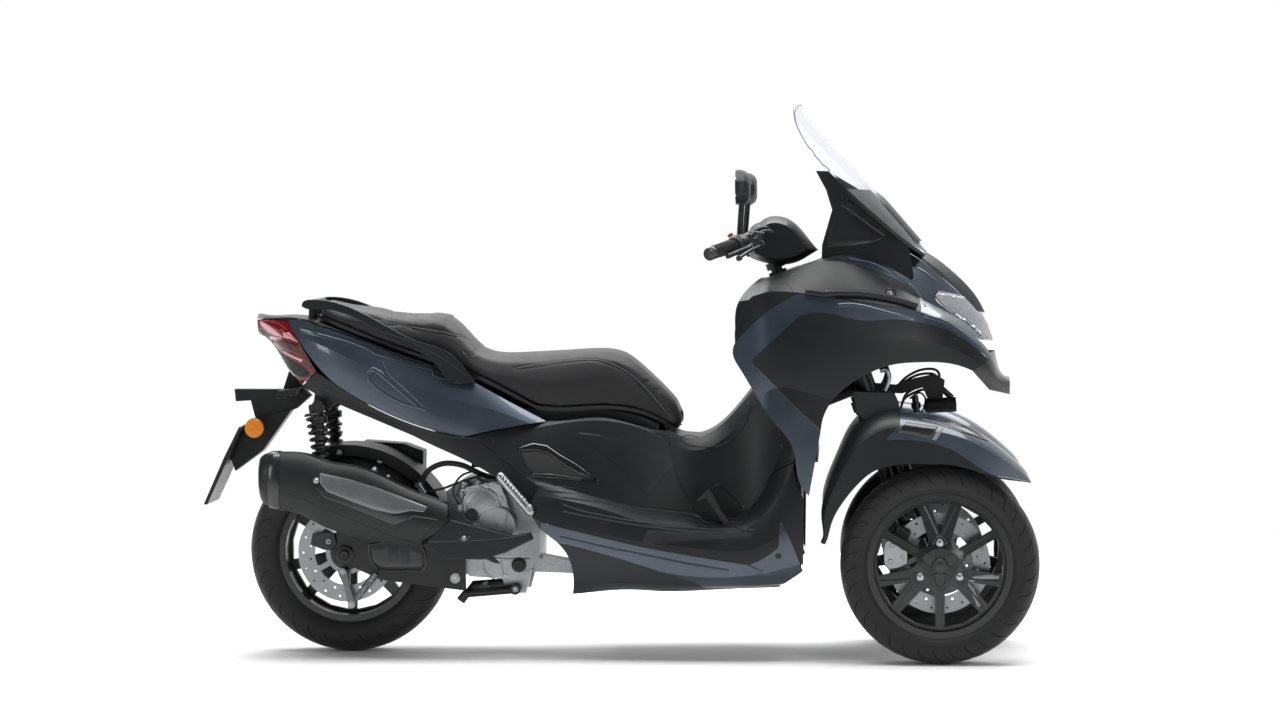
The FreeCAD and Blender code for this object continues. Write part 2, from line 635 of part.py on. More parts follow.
def build_middle_body():
    """Side covers, tunnel, floor boards, sills and belly pan."""
    shell = shell_of(MIDDLE_SECTION_SHARES, (s.overrun, s.overrun))
    runs = MIDDLE_OUTLINES_SHARES
    panel_pair("side_covers", shell, runs["side_cover"], 0.4)
    panel_across("tunnel_cover", shell, runs["tunnel"])
    panel_pair("floor_boards", shell, runs["floor"], 0.4)
    panel_pair("sill_panels", shell, runs["sill"], 0.5)
    panel_across("belly_pan", shell, runs["belly"])


def build_tail():
    """Blue tail panels, grey trims, tail lamp and deck."""
    shell = shell_of(TAIL_SECTION_SHARES, (-s.panel_wall, s.overrun))
    runs = TAIL_OUTLINES_SHARES
    panel_pair("tail_panels", shell, runs["blue"], 0.2)
    panel_pair("tail_trims", shell, runs["trim"], 0.2)
    panel_across("tail_lamp", shell, runs["lamp"])
    panel_across("tail_deck", shell, runs["deck"])


def beside(x_share, y, z_share):
    """A point by its side-view shares and its distance from the centre plane."""
    return Vector(x_at(x_share), y, z_at(z_share))


def plate(outline_shares, y_from, y_to):
    """A flat plate from a side-view polygon in shares, between two distances to the left."""
    return prism([(x_at(x), z_at(z)) for x, z in outline_shares], y_from, y_to)


def boss(x_share, z_share, radius, y_from, y_to):
    """A round boss across the vehicle at a side-view place."""
    return rod(beside(x_share, y_from, z_share), beside(x_share, y_to, z_share), radius)


def fused(*shapes):
    """One shape out of several that meet."""
    return shapes[0].multiFuse(list(shapes[1:])).removeSplitter()


def rounded(shape, radius, side):
    """Round the edges of a plate's outer face, which lies at a distance to the left."""
    edges = [edge for edge in shape.Edges
             if abs(edge.BoundBox.YMin - side) < s.seating and abs(edge.BoundBox.YMax - side) < s.seating]
    return shape.makeFillet(radius, edges)


def body_core(stations, distance):
    """The solid inside or outside a body form, moved inward by a distance."""
    return form(stations, distance, BODY_BOW_SHARE, (-distance, -distance))



# Wheels

TYRE_SIDE_SHARES = ((0.05, 0.80), (0.2, 0.93), (0.4, 1.0), (0.6, 0.985), (0.78, 0.86), (0.91, 0.62), (0.985, 0.3))
WINDOW_ANGLES = ((20.0, 1.0), (38.0, 1.0), (56.0, 1.0), (49.0, 0.40), (35.0, 0.36), (24.0, 0.42))
VEE_ANGLES = ((10.0, 1.0), (-10.0, 1.0), (0.0, 0.52))
HOLE_RINGS_SHARES = (0.28, 0.7)
SPOKE_GROUPS = 3
DISC_HOLES = 18
DISC_ARMS = 6


def build_tyre(label, axle, place):
    """A tyre whose beads seat on the rim, as a carcass of even wall."""
    body = new_body(label, place)
    height = "(%s_tyre_radius - rim_radius)" % axle
    seat = "%s_rim_width / 2 - rim_wall - seating" % axle
    outer = [("rim_radius + %s * %r" % (height, h), "%s_tyre_width / 2 * %r" % (axle, w))
             for h, w in TYRE_SIDE_SHARES]
    inner = [("rim_radius + %s * %r - tyre_wall * %r" % (height, h, h + 0.1),
              "(%s_tyre_width / 2 - tyre_wall) * %r" % (axle, w))
             for h, w in reversed(TYRE_SIDE_SHARES[1:])]
    side = ([("rim_radius - bead_depth + seating", "%s - bead_width" % seat),
             ("rim_radius - bead_depth + seating", seat), ("rim_radius + seating", seat)] + outer)
    crown = [("%s_tyre_radius" % axle, 0)]
    inner_crown = [("%s_tyre_radius - tyre_wall" % axle, 0)]

    def other_side(corners):
        return [(r, "-(%s)" % y) for r, y in reversed(corners)]

    revolve(body, label + "_carcass",
            side + crown + other_side(side) + other_side(inner) + inner_crown + inner)


def sector_corners(radius, shares, turn):
    """Corners of a window in the wheel's web, as expressions of its outer radius."""
    corners = []
    for angle, share in shares:
        u = share * math.sin(math.radians(angle + turn))
        v = share * math.cos(math.radians(angle + turn))
        corners.append(("(%s) * %.5f" % (radius, u), "(%s) * %.5f" % (radius, v)))
    return corners


def build_rim(label, axle, place):
    """A cast rim: barrel, hub and web, with windows that leave three forked and three plain spokes."""
    body = new_body(label, place)
    half = "%s_rim_width / 2" % axle
    barrel = "rim_radius - bead_depth - rim_wall"
    bore = "axle_radius + running"
    inner_end = "-(%s_hub_inner)" % axle
    corners = [
        (bore, inner_end), ("hub_radius", inner_end), ("hub_radius", "web_offset - web_thickness / 2"),
        (barrel, "web_offset - web_thickness / 3"), (barrel, "-(%s)" % half), ("rim_radius", "-(%s)" % half),
        ("rim_radius", "rim_wall - %s" % half), ("rim_radius - bead_depth", "rim_wall - %s" % half),
        ("rim_radius - bead_depth", "-(%s) / 3" % half), ("rim_radius - bead_depth * 1.25", "-(%s) / 4" % half),
        ("rim_radius - bead_depth * 1.25", "%s / 4" % half), ("rim_radius - bead_depth", "%s / 3" % half),
        ("rim_radius - bead_depth", "%s - rim_wall" % half), ("rim_radius", "%s - rim_wall" % half),
        ("rim_radius", half), (barrel, half), (barrel, "web_offset + web_thickness / 3"),
        ("hub_radius * 1.5", "web_offset + web_thickness / 2"), ("hub_radius", "%s_hub_outer" % axle)]
    if axle == "front":
        corners += [("axle_cap_radius", "%s_hub_outer" % axle),
                    ("axle_cap_radius", "%s_hub_outer + cap_rise" % axle), (0, "%s_hub_outer + cap_rise" % axle),
                    (0, "%s_hub_outer - cap_rise" % axle), (bore, "%s_hub_outer - cap_rise" % axle)]
    else:
        corners += [(bore, "%s_hub_outer" % axle)]
    revolve(body, label + "_casting", corners)
    window = "rim_radius - bead_depth - rim_wall - window_edge"
    first = pocket_both_ways(body, label + "_window", sector_corners(window, WINDOW_ANGLES, 0), "rim_radius")
    repeat_about_axis(body, label + "_windows", first, SPOKE_GROUPS)
    second = pocket_both_ways(
        body, label + "_twin_window",
        sector_corners(window, [(-angle, share) for angle, share in reversed(WINDOW_ANGLES)], 0), "rim_radius")
    repeat_about_axis(body, label + "_twin_windows", second, SPOKE_GROUPS)
    vee = pocket_both_ways(body, label + "_vee", sector_corners(window, VEE_ANGLES, 0), "rim_radius")
    repeat_about_axis(body, label + "_vees", vee, SPOKE_GROUPS)


def build_disc(label, axle, place):
    """A drilled brake disc on arms that reach in to a ring round the hub."""
    offset = Vector(0, -value("%s_disc_offset" % axle), 0)
    body = new_body(label, place.multiply(Placement(offset, Rotation())))
    half = "disc_thickness / 2"
    revolve(body, label + "_ring", [("disc_inner_radius", half), ("disc_radius", half),
                                    ("disc_radius", "-(%s)" % half), ("disc_inner_radius", "-(%s)" % half)])
    hub = "hub_radius + seating"
    revolve(body, label + "_carrier", [(hub, half), ("disc_carrier_radius", half),
                                       ("disc_carrier_radius", "-(%s)" % half), (hub, "-(%s)" % half)])
    arm = pad_both_ways(body, label + "_arm",
                        [("-disc_arm_width / 2", "disc_carrier_radius - disc_thickness"),
                         ("disc_arm_width / 2", "disc_carrier_radius - disc_thickness"),
                         ("disc_arm_width / 2", "disc_inner_radius + disc_thickness"),
                         ("-disc_arm_width / 2", "disc_inner_radius + disc_thickness")], "disc_thickness")
    repeat_about_axis(body, label + "_arms", arm, DISC_ARMS)
    for ring, share in enumerate(HOLE_RINGS_SHARES):
        pocket = body.newObject("PartDesign::Pocket", "%s_hole_%d" % (label, ring))
        sketch = body.newObject("Sketcher::SketchObject", "%s_hole_sketch_%d" % (label, ring))
        sketch.AttachmentSupport = [(origin_part(body, "XZ_Plane"), "")]
        sketch.MapMode = "FlatFace"
        reach = "disc_inner_radius + (disc_radius - disc_inner_radius) * %r" % share
        turn = math.pi / DISC_HOLES * ring
        u, v = value(reach) * math.sin(turn), value(reach) * math.cos(turn)
        sketch.addGeometry(Part.Circle(Vector(u, v, 0), Vector(0, 0, 1), s.disc_hole_radius), False)
        radius = sketch.addConstraint(Sketcher.Constraint("Radius", 0, s.disc_hole_radius))
        sketch.setExpression("Constraints[%d]" % radius, link("disc_hole_radius"))
        along = sketch.addConstraint(Sketcher.Constraint("DistanceX", -1, 1, 0, 3, u))
        sketch.setExpression("Constraints[%d]" % along, link("(%s) * %.5f" % (reach, math.sin(turn))))
        up = sketch.addConstraint(Sketcher.Constraint("DistanceY", -1, 1, 0, 3, v))
        sketch.setExpression("Constraints[%d]" % up, link("(%s) * %.5f" % (reach, math.cos(turn))))
        pocket.Profile = sketch
        pocket.Midplane = True
        pocket.setExpression("Length", link("disc_thickness * 2"))
        repeat_about_axis(body, "%s_holes_%d" % (label, ring), pocket, DISC_HOLES)


def build_wheels():
    """The rear wheel and the two front wheels, each a tyre, a rim and a disc."""
    rear = Placement(Vector(REAR_AXLE_X, 0, s.rear_tyre_radius), Rotation())
    build_tyre("rear_tyre", "rear", rear)
    build_rim("rear_rim", "rear", rear)
    build_disc("rear_disc", "rear", rear)
    for side, turn, y in (("right", 180, -s.front_track / 2), ("left", 0, s.front_track / 2)):
        place = Placement(Vector(FRONT_AXLE_X, y, s.front_tyre_radius), Rotation(Vector(0, 0, 1), turn))
        build_tyre("front_tyre_" + side, "front", place)
        build_rim("front_rim_" + side, "front", place)
        build_disc("front_disc_" + side, "front", place)



# Front knuckles, mudguards and tilt linkage

KINGPIN_Y = s.front_track / 2 - s.kingpin_inset
KINGPIN_UP = Vector(-math.sin(RAKE), 0, math.cos(RAKE))
KINGPIN_ACROSS = Vector(math.cos(RAKE), 0, math.sin(RAKE))


def on_kingpin(side, z):
    """A point of a kingpin's axis at a height; side 0 is the same axis in the centre plane."""
    return Vector(FRONT_AXLE_X + s.trail - z * math.tan(RAKE), side * KINGPIN_Y, z)


LOCK_ARM_SHARES = ((0.872, 0.925), (0.93, 0.915), (0.962, 0.937), (0.996, 0.951), (1.012, 0.93), (1.008, 0.86),
                   (0.985, 0.86), (0.975, 0.905), (0.94, 0.885), (0.872, 0.895))
LOCK_CYLINDER_SHARES = ((0.982, 0.843), (1.031, 0.848))


def build_tilt_linkage():
    """Two cross links on a centre post, with a kingpin housing at each end, and the lock's cylinder."""
    post = rod(on_kingpin(0, s.kingpin_bottom), on_kingpin(0, s.kingpin_top), s.tilt_post_radius)
    pieces = []
    for z in (s.link_lower, s.link_upper):
        pieces.append(rod(on_kingpin(-1, z), on_kingpin(1, z), s.link_radius))
    bores = []
    for side in (-1, 1):
        low, high = on_kingpin(side, s.kingpin_bottom), on_kingpin(side, s.kingpin_top)
        pieces.append(rod(low, high, s.kingpin_housing_radius))
        bores.append(rod(low - KINGPIN_UP * s.overrun, high + KINGPIN_UP * s.overrun,
                         s.kingpin_radius + s.running))
    lock_y = -2 * s.tilt_post_radius
    pieces.append(plate(LOCK_ARM_SHARES, lock_y - s.rim_wall, lock_y + s.rim_wall))
    (rear_x, rear_z), (front_x, front_z) = LOCK_CYLINDER_SHARES
    pieces.append(rod(beside(rear_x, lock_y, rear_z), beside(front_x, lock_y, front_z), s.lock_cylinder_radius))
    linkage = fused(post, *pieces)
    for bore in bores:
        linkage = linkage.cut(bore)
    feature("tilt_linkage", largest(linkage))


def knuckle_solid(side):
    """A kingpin, its crown, two fork tubes, the stub axle and the caliper, as one knuckle."""
    top, bottom = on_kingpin(side, s.kingpin_top), on_kingpin(side, s.kingpin_bottom)
    under = bottom - KINGPIN_UP * s.moving_gap
    nut_low = top + KINGPIN_UP * s.moving_gap
    pin = rod(under - KINGPIN_UP * s.fork_plate / 2, nut_low + KINGPIN_UP * s.kingpin_radius, s.kingpin_radius)
    nut = rod(nut_low, nut_low + KINGPIN_UP * s.kingpin_radius, s.kingpin_housing_radius * 0.8)
    half = s.fork_tube_pitch / 2 + s.fork_tube_radius + s.rim_wall
    crown = Part.makeBox(2 * half, 2 * s.kingpin_housing_radius, s.fork_plate)
    crown.Placement = Placement(
        under - KINGPIN_ACROSS * half - KINGPIN_UP * s.fork_plate - Vector(0, s.kingpin_housing_radius, 0),
        Rotation(Vector(0, 1, 0), -s.kingpin_rake))
    axle = Vector(FRONT_AXLE_X, side * KINGPIN_Y, s.front_tyre_radius)
    along = (under - axle).dot(KINGPIN_UP)
    pieces = [nut, crown]
    for place, share in ((1, 1.0), (-1, 0.72)):
        start = under + KINGPIN_ACROSS * place * s.fork_tube_pitch / 2 - KINGPIN_UP * s.rim_wall
        pieces.append(rod(start, start - KINGPIN_UP * along * share, s.fork_tube_radius))
    bridge_at = axle + KINGPIN_UP * along * 0.3 - KINGPIN_ACROSS * s.fork_tube_pitch
    bridge = Part.makeBox(s.fork_tube_pitch, s.fork_tube_radius, s.hub_radius)
    bridge.Placement = Placement(bridge_at - Vector(0, s.fork_tube_radius / 2, 0),
                                 Rotation(Vector(0, 1, 0), -s.kingpin_rake))
    pieces.append(bridge)
    inner = side * (KINGPIN_Y - s.fork_tube_radius)
    hub_face = side * (s.front_track / 2 - s.front_hub_inner - s.seating)
    stub_end = side * (s.front_track / 2 + s.front_hub_outer - s.cap_rise - 2 * s.seating)
    pieces.append(rod(Vector(axle.x, inner, axle.z), Vector(axle.x, hub_face, axle.z), 2 * s.axle_radius))
    pieces.append(rod(Vector(axle.x, inner, axle.z), Vector(axle.x, stub_end, axle.z), s.axle_radius))
    wall_y = side * (s.front_track / 2 - s.mudguard_half_width - s.seating)
    for z_share in (0.72, 0.78):
        at = on_kingpin(side, z_at(z_share)) - KINGPIN_ACROSS * s.fork_tube_pitch / 2
        pieces.append(rod(at, Vector(at.x, wall_y, at.z), s.stand_tube_radius / 2))
    disc_y = side * (s.front_track / 2 - s.front_disc_offset)
    grip = caliper(FRONT_AXLE_X, s.front_tyre_radius, disc_y, s.front_caliper_angle)
    hold_from = axle + KINGPIN_UP * s.disc_radius * 0.62 - KINGPIN_ACROSS * s.fork_tube_radius
    hold_to = Vector(grip.CenterOfMass.x, disc_y - side * (s.caliper_width / 2 - s.rim_wall), grip.CenterOfMass.z)
    pieces += [grip, rod(hold_from, hold_to, s.stand_tube_radius)]
    return largest(fused(pin, *pieces))


def build_knuckles():
    """The right knuckle and its mirror image."""
    right = knuckle_solid(-1)
    feature("knuckle_right", right)
    feature("knuckle_left", largest(mirrored(right)))


def caliper(axle_x, axle_z, disc_y, angle):
    """A block astride a disc, with a slot that the disc turns in."""
    block = Part.makeBox(s.caliper_depth, s.caliper_width, s.caliper_length,
                         Vector(-s.caliper_depth / 2, -s.caliper_width / 2, -s.caliper_length / 2))
    block = block.makeFillet(s.caliper_depth / 6, block.Edges)
    slot_half = s.disc_thickness / 2 + s.moving_gap * 0.9
    slot = Part.makeBox(s.caliper_depth, 2 * slot_half, s.caliper_length + s.overrun,
                        Vector(-s.caliper_depth / 2 - s.caliper_bridge, -slot_half,
                               -(s.caliper_length + s.overrun) / 2))
    shape = largest(block.cut(slot))
    reach = s.disc_radius + s.moving_gap + s.caliper_bridge - s.caliper_depth / 2
    turn = math.radians(angle)
    shape.Placement = Placement(
        Vector(axle_x + reach * math.cos(turn), disc_y, axle_z + reach * math.sin(turn)),
        Rotation(Vector(0, 1, 0), -angle))
    return shape


# Angle round the wheel, outer and lower radius as shares of the tyre's, and share of the full width
MUDGUARD_SHARES = (
    (43, 1.24, 1.225, 0.35), (52, 1.29, 1.1, 0.75), (64, 1.335, 1.03, 1.0), (82, 1.44, 1.025, 1.0),
    (98, 1.54, 1.04, 1.0), (112, 1.64, 1.1, 1.0), (124, 1.58, 1.16, 1.0), (134, 1.46, 1.165, 1.0),
    (147, 1.36, 1.165, 0.95), (159, 1.27, 1.165, 0.85), (169, 1.215, 1.17, 0.7))
MUDGUARD_SEAM_SHARES = ((0.910, 0.747), (0.967, 0.743), (1.016, 0.717), (1.073, 0.645), (1.09, 0.63))
MUDGUARD_FLANK_SHARES = (((0.910, 0.747), (0.934, 0.80)), ((0.934, 0.80), (0.94, 1.0)), ((0.94, 1.0), (0.7, 1.0)),
                         ((0.7, 1.0), (0.7, 0.2)), ((0.7, 0.2), (1.17, 0.2)), ((1.17, 0.2), (1.17, 0.60)),
                         ((1.17, 0.60), (1.09, 0.63)), tuple(reversed(MUDGUARD_SEAM_SHARES)))


def mudguard_form(side, distance, spread):
    """The mudguard's form round the wheel, moved inward by a distance and drawn on past its ends."""
    wires = []
    centre = Vector(FRONT_AXLE_X, side * s.front_track / 2, s.front_tyre_radius)
    last = len(MUDGUARD_SHARES) - 1
    for index, (angle, outer, lower, width) in enumerate(MUDGUARD_SHARES):
        turn = math.radians(angle + spread * ((index == last) - (index == 0)))
        out = Vector(math.cos(turn), 0, math.sin(turn))
        half = s.mudguard_half_width * (1 + width) / 2 - distance
        top = s.front_tyre_radius * outer - distance
        foot = s.front_tyre_radius * lower - (s.overrun if distance else 0)
        shoulder = top - (top - foot) * 0.3
        rise = top - (top - shoulder) * 0.35
        ring = [(-half, foot), (-half, shoulder), (-half * 0.62, rise), (0, top),
                (half * 0.62, rise), (half, shoulder), (half, foot)]
        points = [centre + out * reach + Vector(0, y, 0) for y, reach in ring]
        crown = Part.BSplineCurve()
        crown.interpolate(points[1:6])
        wires.append(Part.Wire([Part.LineSegment(points[0], points[1]).toShape(), crown.toShape(),
                                Part.LineSegment(points[5], points[6]).toShape(),
                                Part.LineSegment(points[6], points[0]).toShape()]))
    return lofted(wires)


def build_mudguards():
    """A painted top and a black flank over each front wheel."""
    for side, name in ((-1, "right"), (1, "left")):
        shell = mudguard_form(side, 0, 0).cut(mudguard_form(side, s.panel_wall, s.mudguard_spread))
        across = Vector(0, 2 * s.bar_span, 0)
        grown = outline_face(MUDGUARD_FLANK_SHARES, -s.bar_span, -s.panel_gap / 2).extrude(across)
        shrunk = outline_face(MUDGUARD_FLANK_SHARES, -s.bar_span, s.panel_gap / 2).extrude(across)
        feature("mudguard_" + name, largest(shell.cut(grown)))
        feature("mudguard_flank_" + name, largest(shell.common(shrunk)))


# Frame

RAIL_SHARES = ((0.702, 0.35, 0.285), (0.415, 0.35, 0.285), (0.35, 0.52, 0.50), (0.265, 0.52, 0.70),
               (0.19, 0.44, 0.78), (-0.03, 0.35, 1.035))
FRAME_CROSS_SHARES = ((0.702, 0.35, 0.285), (0.415, 0.35, 0.285), (0.19, 0.44, 0.78), (-0.03, 0.35, 1.035))
PANEL_STAY_SHARES = (("middle", 0.56, 0.33), ("middle", 0.72, 0.36), ("middle", 0.40, 0.50), ("tail", 0.05, 0.93),
                     ("tail", 0.15, 0.80))
TUB_STAY_SHARES = (0.28, 0.665)
TUB_HALF_SHARE = 0.4
SHOCK_TOP_SHARES = (-0.043, 0.851)
SHOCK_FOOT_SHARES = (-0.038, 0.556)
SHOCK_BRACKET_SHARES = ((-0.056, 0.832), (-0.03, 0.832), (0.03, 0.95), (0.01, 1.0), (-0.035, 1.02), (-0.05, 0.92))


def head_point(z_share):
    """A point of the steering column's axis at a height."""
    z = z_at(z_share)
    return Vector(REAR_AXLE_X + s.head_x - (z - s.head_z) * math.tan(RAKE), 0, z)


def shock_pin(x_share, z_share, side, y_from):
    """A pin that a shock absorber's eye turns on."""
    return boss(x_share, z_share, s.shock_pin_radius, side * y_from, side * (s.shock_offset + s.shock_eye_radius))


def build_frame():
    """A tube frame: head tube, backbone, floor rails, seat rails, stays to the panels and shock mounts."""
    radius = s.frame_tube_radius
    pieces = []
    for side in (-1, 1):
        points = [beside(x, side * y_at(y), z) for x, y, z in RAIL_SHARES]
        pieces.append(tube(points, radius, 2 * radius))
        inner, outer = sorted((side * (s.shock_bracket_offset - s.rim_wall),
                               side * (s.shock_bracket_offset + s.rim_wall)))
        pieces.append(plate(SHOCK_BRACKET_SHARES, inner, outer))
        pieces.append(shock_pin(*SHOCK_TOP_SHARES, side, s.shock_bracket_offset))
    for x, y, z in FRAME_CROSS_SHARES:
        pieces.append(rod(beside(x, -y_at(y), z), beside(x, y_at(y), z), radius))
    head_low, head_high = head_point(1.11), head_point(1.30)
    pieces.append(rod(head_low, head_high, s.head_tube_radius))
    pieces.append(rod(head_point(1.14), beside(0.745, 0, 0.80), radius))
    pieces.append(rod(beside(0.745, 0, 0.80), beside(0.702, 0, 0.285), radius))
    pieces.append(rod(head_point(1.13), on_kingpin(0, s.link_upper), radius))
    pieces.append(rod(beside(0.742, 0, 0.76), beside(0.775, 0, 0.83), radius))
    pieces.append(rod(beside(0.775, 0, 0.83), on_kingpin(0, s.link_lower), radius))
    for which, x, z in PANEL_STAY_SHARES:
        stations = MIDDLE_SECTION_SHARES if which == "middle" else TAIL_SECTION_SHARES
        stay = rod(beside(x, -s.body_half_width, z), beside(x, s.body_half_width, z), s.stand_tube_radius)
        pieces.append(stay.common(body_core(stations, s.panel_wall + s.seating)))
    frame = fused(*pieces)
    stem = rod(head_point(1.0), head_point(1.4), s.stem_radius + s.running)
    post = rod(on_kingpin(0, s.kingpin_bottom), on_kingpin(0, s.kingpin_top), s.tilt_post_radius + s.seating)
    feature("frame", largest(frame.cut(stem).cut(post)))


# Engine, drive, swing arm and brakes at the rear

CRANKCASE_SHARES = ((0.186, 0.326), (0.211, 0.27), (0.297, 0.258), (0.330, 0.327), (0.33, 0.43), (0.30, 0.53),
                    (0.262, 0.60), (0.20, 0.60), (0.172, 0.56), (0.178, 0.43))
ENGINE_COVER_SHARES = ((0.233, 0.486), (0.199, 0.570), (0.267, 0.604), (0.292, 0.468), (0.266, 0.418))
ENGINE_ROUND_SHARES = (0.262, 0.45)
ENGINE_LUG_SHARES = ((0.31, 0.275), (0.404, 0.268), (0.404, 0.302), (0.31, 0.34))
STAND_LUG_SHARES = ((0.26, 0.28), (0.272, 0.208), (0.304, 0.208), (0.316, 0.30))
STAND_PIVOT_SHARES = (0.288, 0.225)
DRIVE_CASE_SHARES = ((-0.045, 0.36), (-0.03, 0.27), (0.06, 0.245), (0.2, 0.25), (0.29, 0.262), (0.32, 0.33),
                     (0.31, 0.42), (0.26, 0.48), (0.16, 0.52), (0.05, 0.50), (-0.02, 0.46))
AIR_BOX_SHARES = ((-0.005, 0.47), (0.115, 0.50), (0.117, 0.678), (0.083, 0.703), (0.013, 0.713), (-0.005, 0.69))
SWING_ARM_SHARES = ((0.006, 0.514), (0.03, 0.435), (0.102, 0.395), (0.15, 0.36), (0.205, 0.34), (0.205, 0.225),
                    (0.153, 0.237), (0.06, 0.262), (0.014, 0.305), (-0.012, 0.325), (-0.021, 0.35), (-0.012, 0.378),
                    (-0.014, 0.47))
SHOCK_LUG_SHARES = ((-0.052, 0.54), (-0.052, 0.575), (-0.026, 0.575), (0.018, 0.505), (0.018, 0.46),
                    (-0.02, 0.465))
REAR_BRACKET_SHARES = ((0.02, 0.30), (-0.02, 0.32), (-0.02, 0.375), (0.03, 0.40), (0.075, 0.44), (0.075, 0.36))


def build_engine():
    """The engine: crankcase, polygonal and round side covers, and lugs for the stand and the frame."""
    right = -(s.swing_arm_offset - s.swing_arm_width / 2 - s.seating)
    left = s.drive_case_inner - s.seating
    case = plate(CRANKCASE_SHARES, right, left)
    cover = rounded(plate(ENGINE_COVER_SHARES, -s.engine_cover_reach, right + s.rim_wall), s.rim_wall,
                    -s.engine_cover_reach)
    round_cover = boss(*ENGINE_ROUND_SHARES, s.engine_round_radius, -s.engine_round_reach, right + s.rim_wall)
    round_cover = rounded(round_cover, s.rim_wall, -s.engine_round_reach)
    lug = plate(ENGINE_LUG_SHARES, -s.frame_half_width / 3, s.frame_half_width / 3)
    stand_lugs = []
    for side in (-1, 1):
        y = side * s.stand_lug_offset
        stand_lugs.append(plate(STAND_LUG_SHARES, y - s.rim_wall, y + s.rim_wall))
    pin = boss(*STAND_PIVOT_SHARES, s.stand_pin_radius, -s.stand_half_width - s.stand_tube_radius,
               s.stand_half_width + s.stand_tube_radius)
    feature("engine", largest(fused(case, cover, round_cover, lug, *stand_lugs, pin)))


def build_drive():
    """The drive case with the air box on the left, and the swing arm with the axle on the right."""
    inner, outer = s.drive_case_inner, s.drive_case_inner + s.drive_case_width
    case = rounded(plate(DRIVE_CASE_SHARES, inner, outer), s.rim_wall, outer)
    box = plate(AIR_BOX_SHARES, inner + s.rim_wall, outer - s.rim_wall)
    lug_outer = s.shock_offset - s.shock_eye_half - s.seating
    lug_inner = lug_outer - 2 * s.rim_wall
    pins = {side: shock_pin(*SHOCK_FOOT_SHARES, side, lug_inner) for side in (-1, 1)}
    lug = plate(SHOCK_LUG_SHARES, lug_inner, lug_outer)
    feature("drive_case", largest(fused(case, box, lug, pins[1])))
    arm_in = s.swing_arm_offset - s.swing_arm_width / 2
    arm = plate(SWING_ARM_SHARES, -arm_in - s.swing_arm_width, -arm_in)
    joint = boss(0.002, 0.478, s.stand_tube_radius, -arm_in - s.rim_wall, -lug_inner)
    lug = plate(SHOCK_LUG_SHARES, -lug_outer, -lug_inner)
    axle = boss(0, s.rear_tyre_radius / s.seat_height, s.axle_radius, -arm_in - s.swing_arm_width - s.rim_wall,
                inner - s.seating)
    nut = boss(0, s.rear_tyre_radius / s.seat_height, 2 * s.axle_radius, -arm_in - s.swing_arm_width - s.rim_wall,
               -arm_in - s.swing_arm_width + s.rim_wall)
    feature("swing_arm", largest(fused(arm, joint, lug, axle, nut, pins[-1])))
    grip = caliper(REAR_AXLE_X, s.rear_tyre_radius, -s.rear_disc_offset, s.rear_caliper_angle)
    bracket = plate(REAR_BRACKET_SHARES, s.seating - arm_in, s.seating - arm_in + 2 * s.rim_wall)
    hole = boss(0, s.rear_tyre_radius / s.seat_height, s.axle_radius + s.seating, -arm_in, 0)
    feature("rear_caliper", largest(fused(grip, bracket).cut(hole)))


def build_shocks():
    """Rear shock absorbers: an eye at each end, a damper tube and a coil spring as a barrel of rings."""
    shocks = []
    for side in (-1, 1):
        y = side * s.shock_offset
        top, foot = beside(SHOCK_TOP_SHARES[0], y, SHOCK_TOP_SHARES[1]), beside(SHOCK_FOOT_SHARES[0], y,
                                                                               SHOCK_FOOT_SHARES[1])
        axis = foot - top
        pieces = [rod(top, foot, s.shock_damper_radius)]
        for end in (top, foot):
            pieces.append(rod(end - Vector(0, s.shock_eye_half, 0), end + Vector(0, s.shock_eye_half, 0),
                              s.shock_eye_radius))
        for index in range(int(s.spring_coils)):
            at = top + axis * (0.18 + 0.6 * index / (int(s.spring_coils) - 1))
            pieces.append(Part.makeTorus(s.shock_radius - s.spring_wire, s.spring_wire, at, axis))
        for share in (0.14, 0.82):
            at = top + axis * share
            axis_unit = Vector(axis).normalize()
            pieces.append(rod(at - axis_unit * s.spring_wire, at + axis_unit * s.spring_wire, s.shock_radius))
        shock = fused(*pieces)
        for end in (top, foot):
            shock = shock.cut(rod(end - Vector(0, s.overrun, 0), end + Vector(0, s.overrun, 0),
                                  s.shock_pin_radius + s.running))
        shocks.append(largest(shock))
    feature("rear_shocks", Part.makeCompound(shocks))


HUGGER_ANGLES = (25, 104)


def build_hugger():
    """A guard over the rear tyre, turned about the axle from a shallow U section."""
    half = s.drive_case_inner - s.seating
    outer, lip = s.rear_tyre_radius + s.hugger_gap + s.panel_wall, s.rear_tyre_radius - s.hugger_lip
    section = [(half, lip), (half, outer), (-half, outer), (-half, lip), (s.panel_wall - half, lip),
               (s.panel_wall - half, outer - s.panel_wall), (half - s.panel_wall, outer - s.panel_wall),
               (half - s.panel_wall, lip)]
    start = math.radians(HUGGER_ANGLES[0])
    axle = Vector(REAR_AXLE_X, 0, s.rear_tyre_radius)
    out = Vector(math.cos(start), 0, math.sin(start))
    points = [axle + out * reach + Vector(0, y, 0) for y, reach in section]
    face = Part.Face(Part.makePolygon(points + points[:1]))
    hugger = face.revolve(axle, Vector(0, -1, 0), HUGGER_ANGLES[1] - HUGGER_ANGLES[0])
    feature("rear_hugger", largest(hugger))


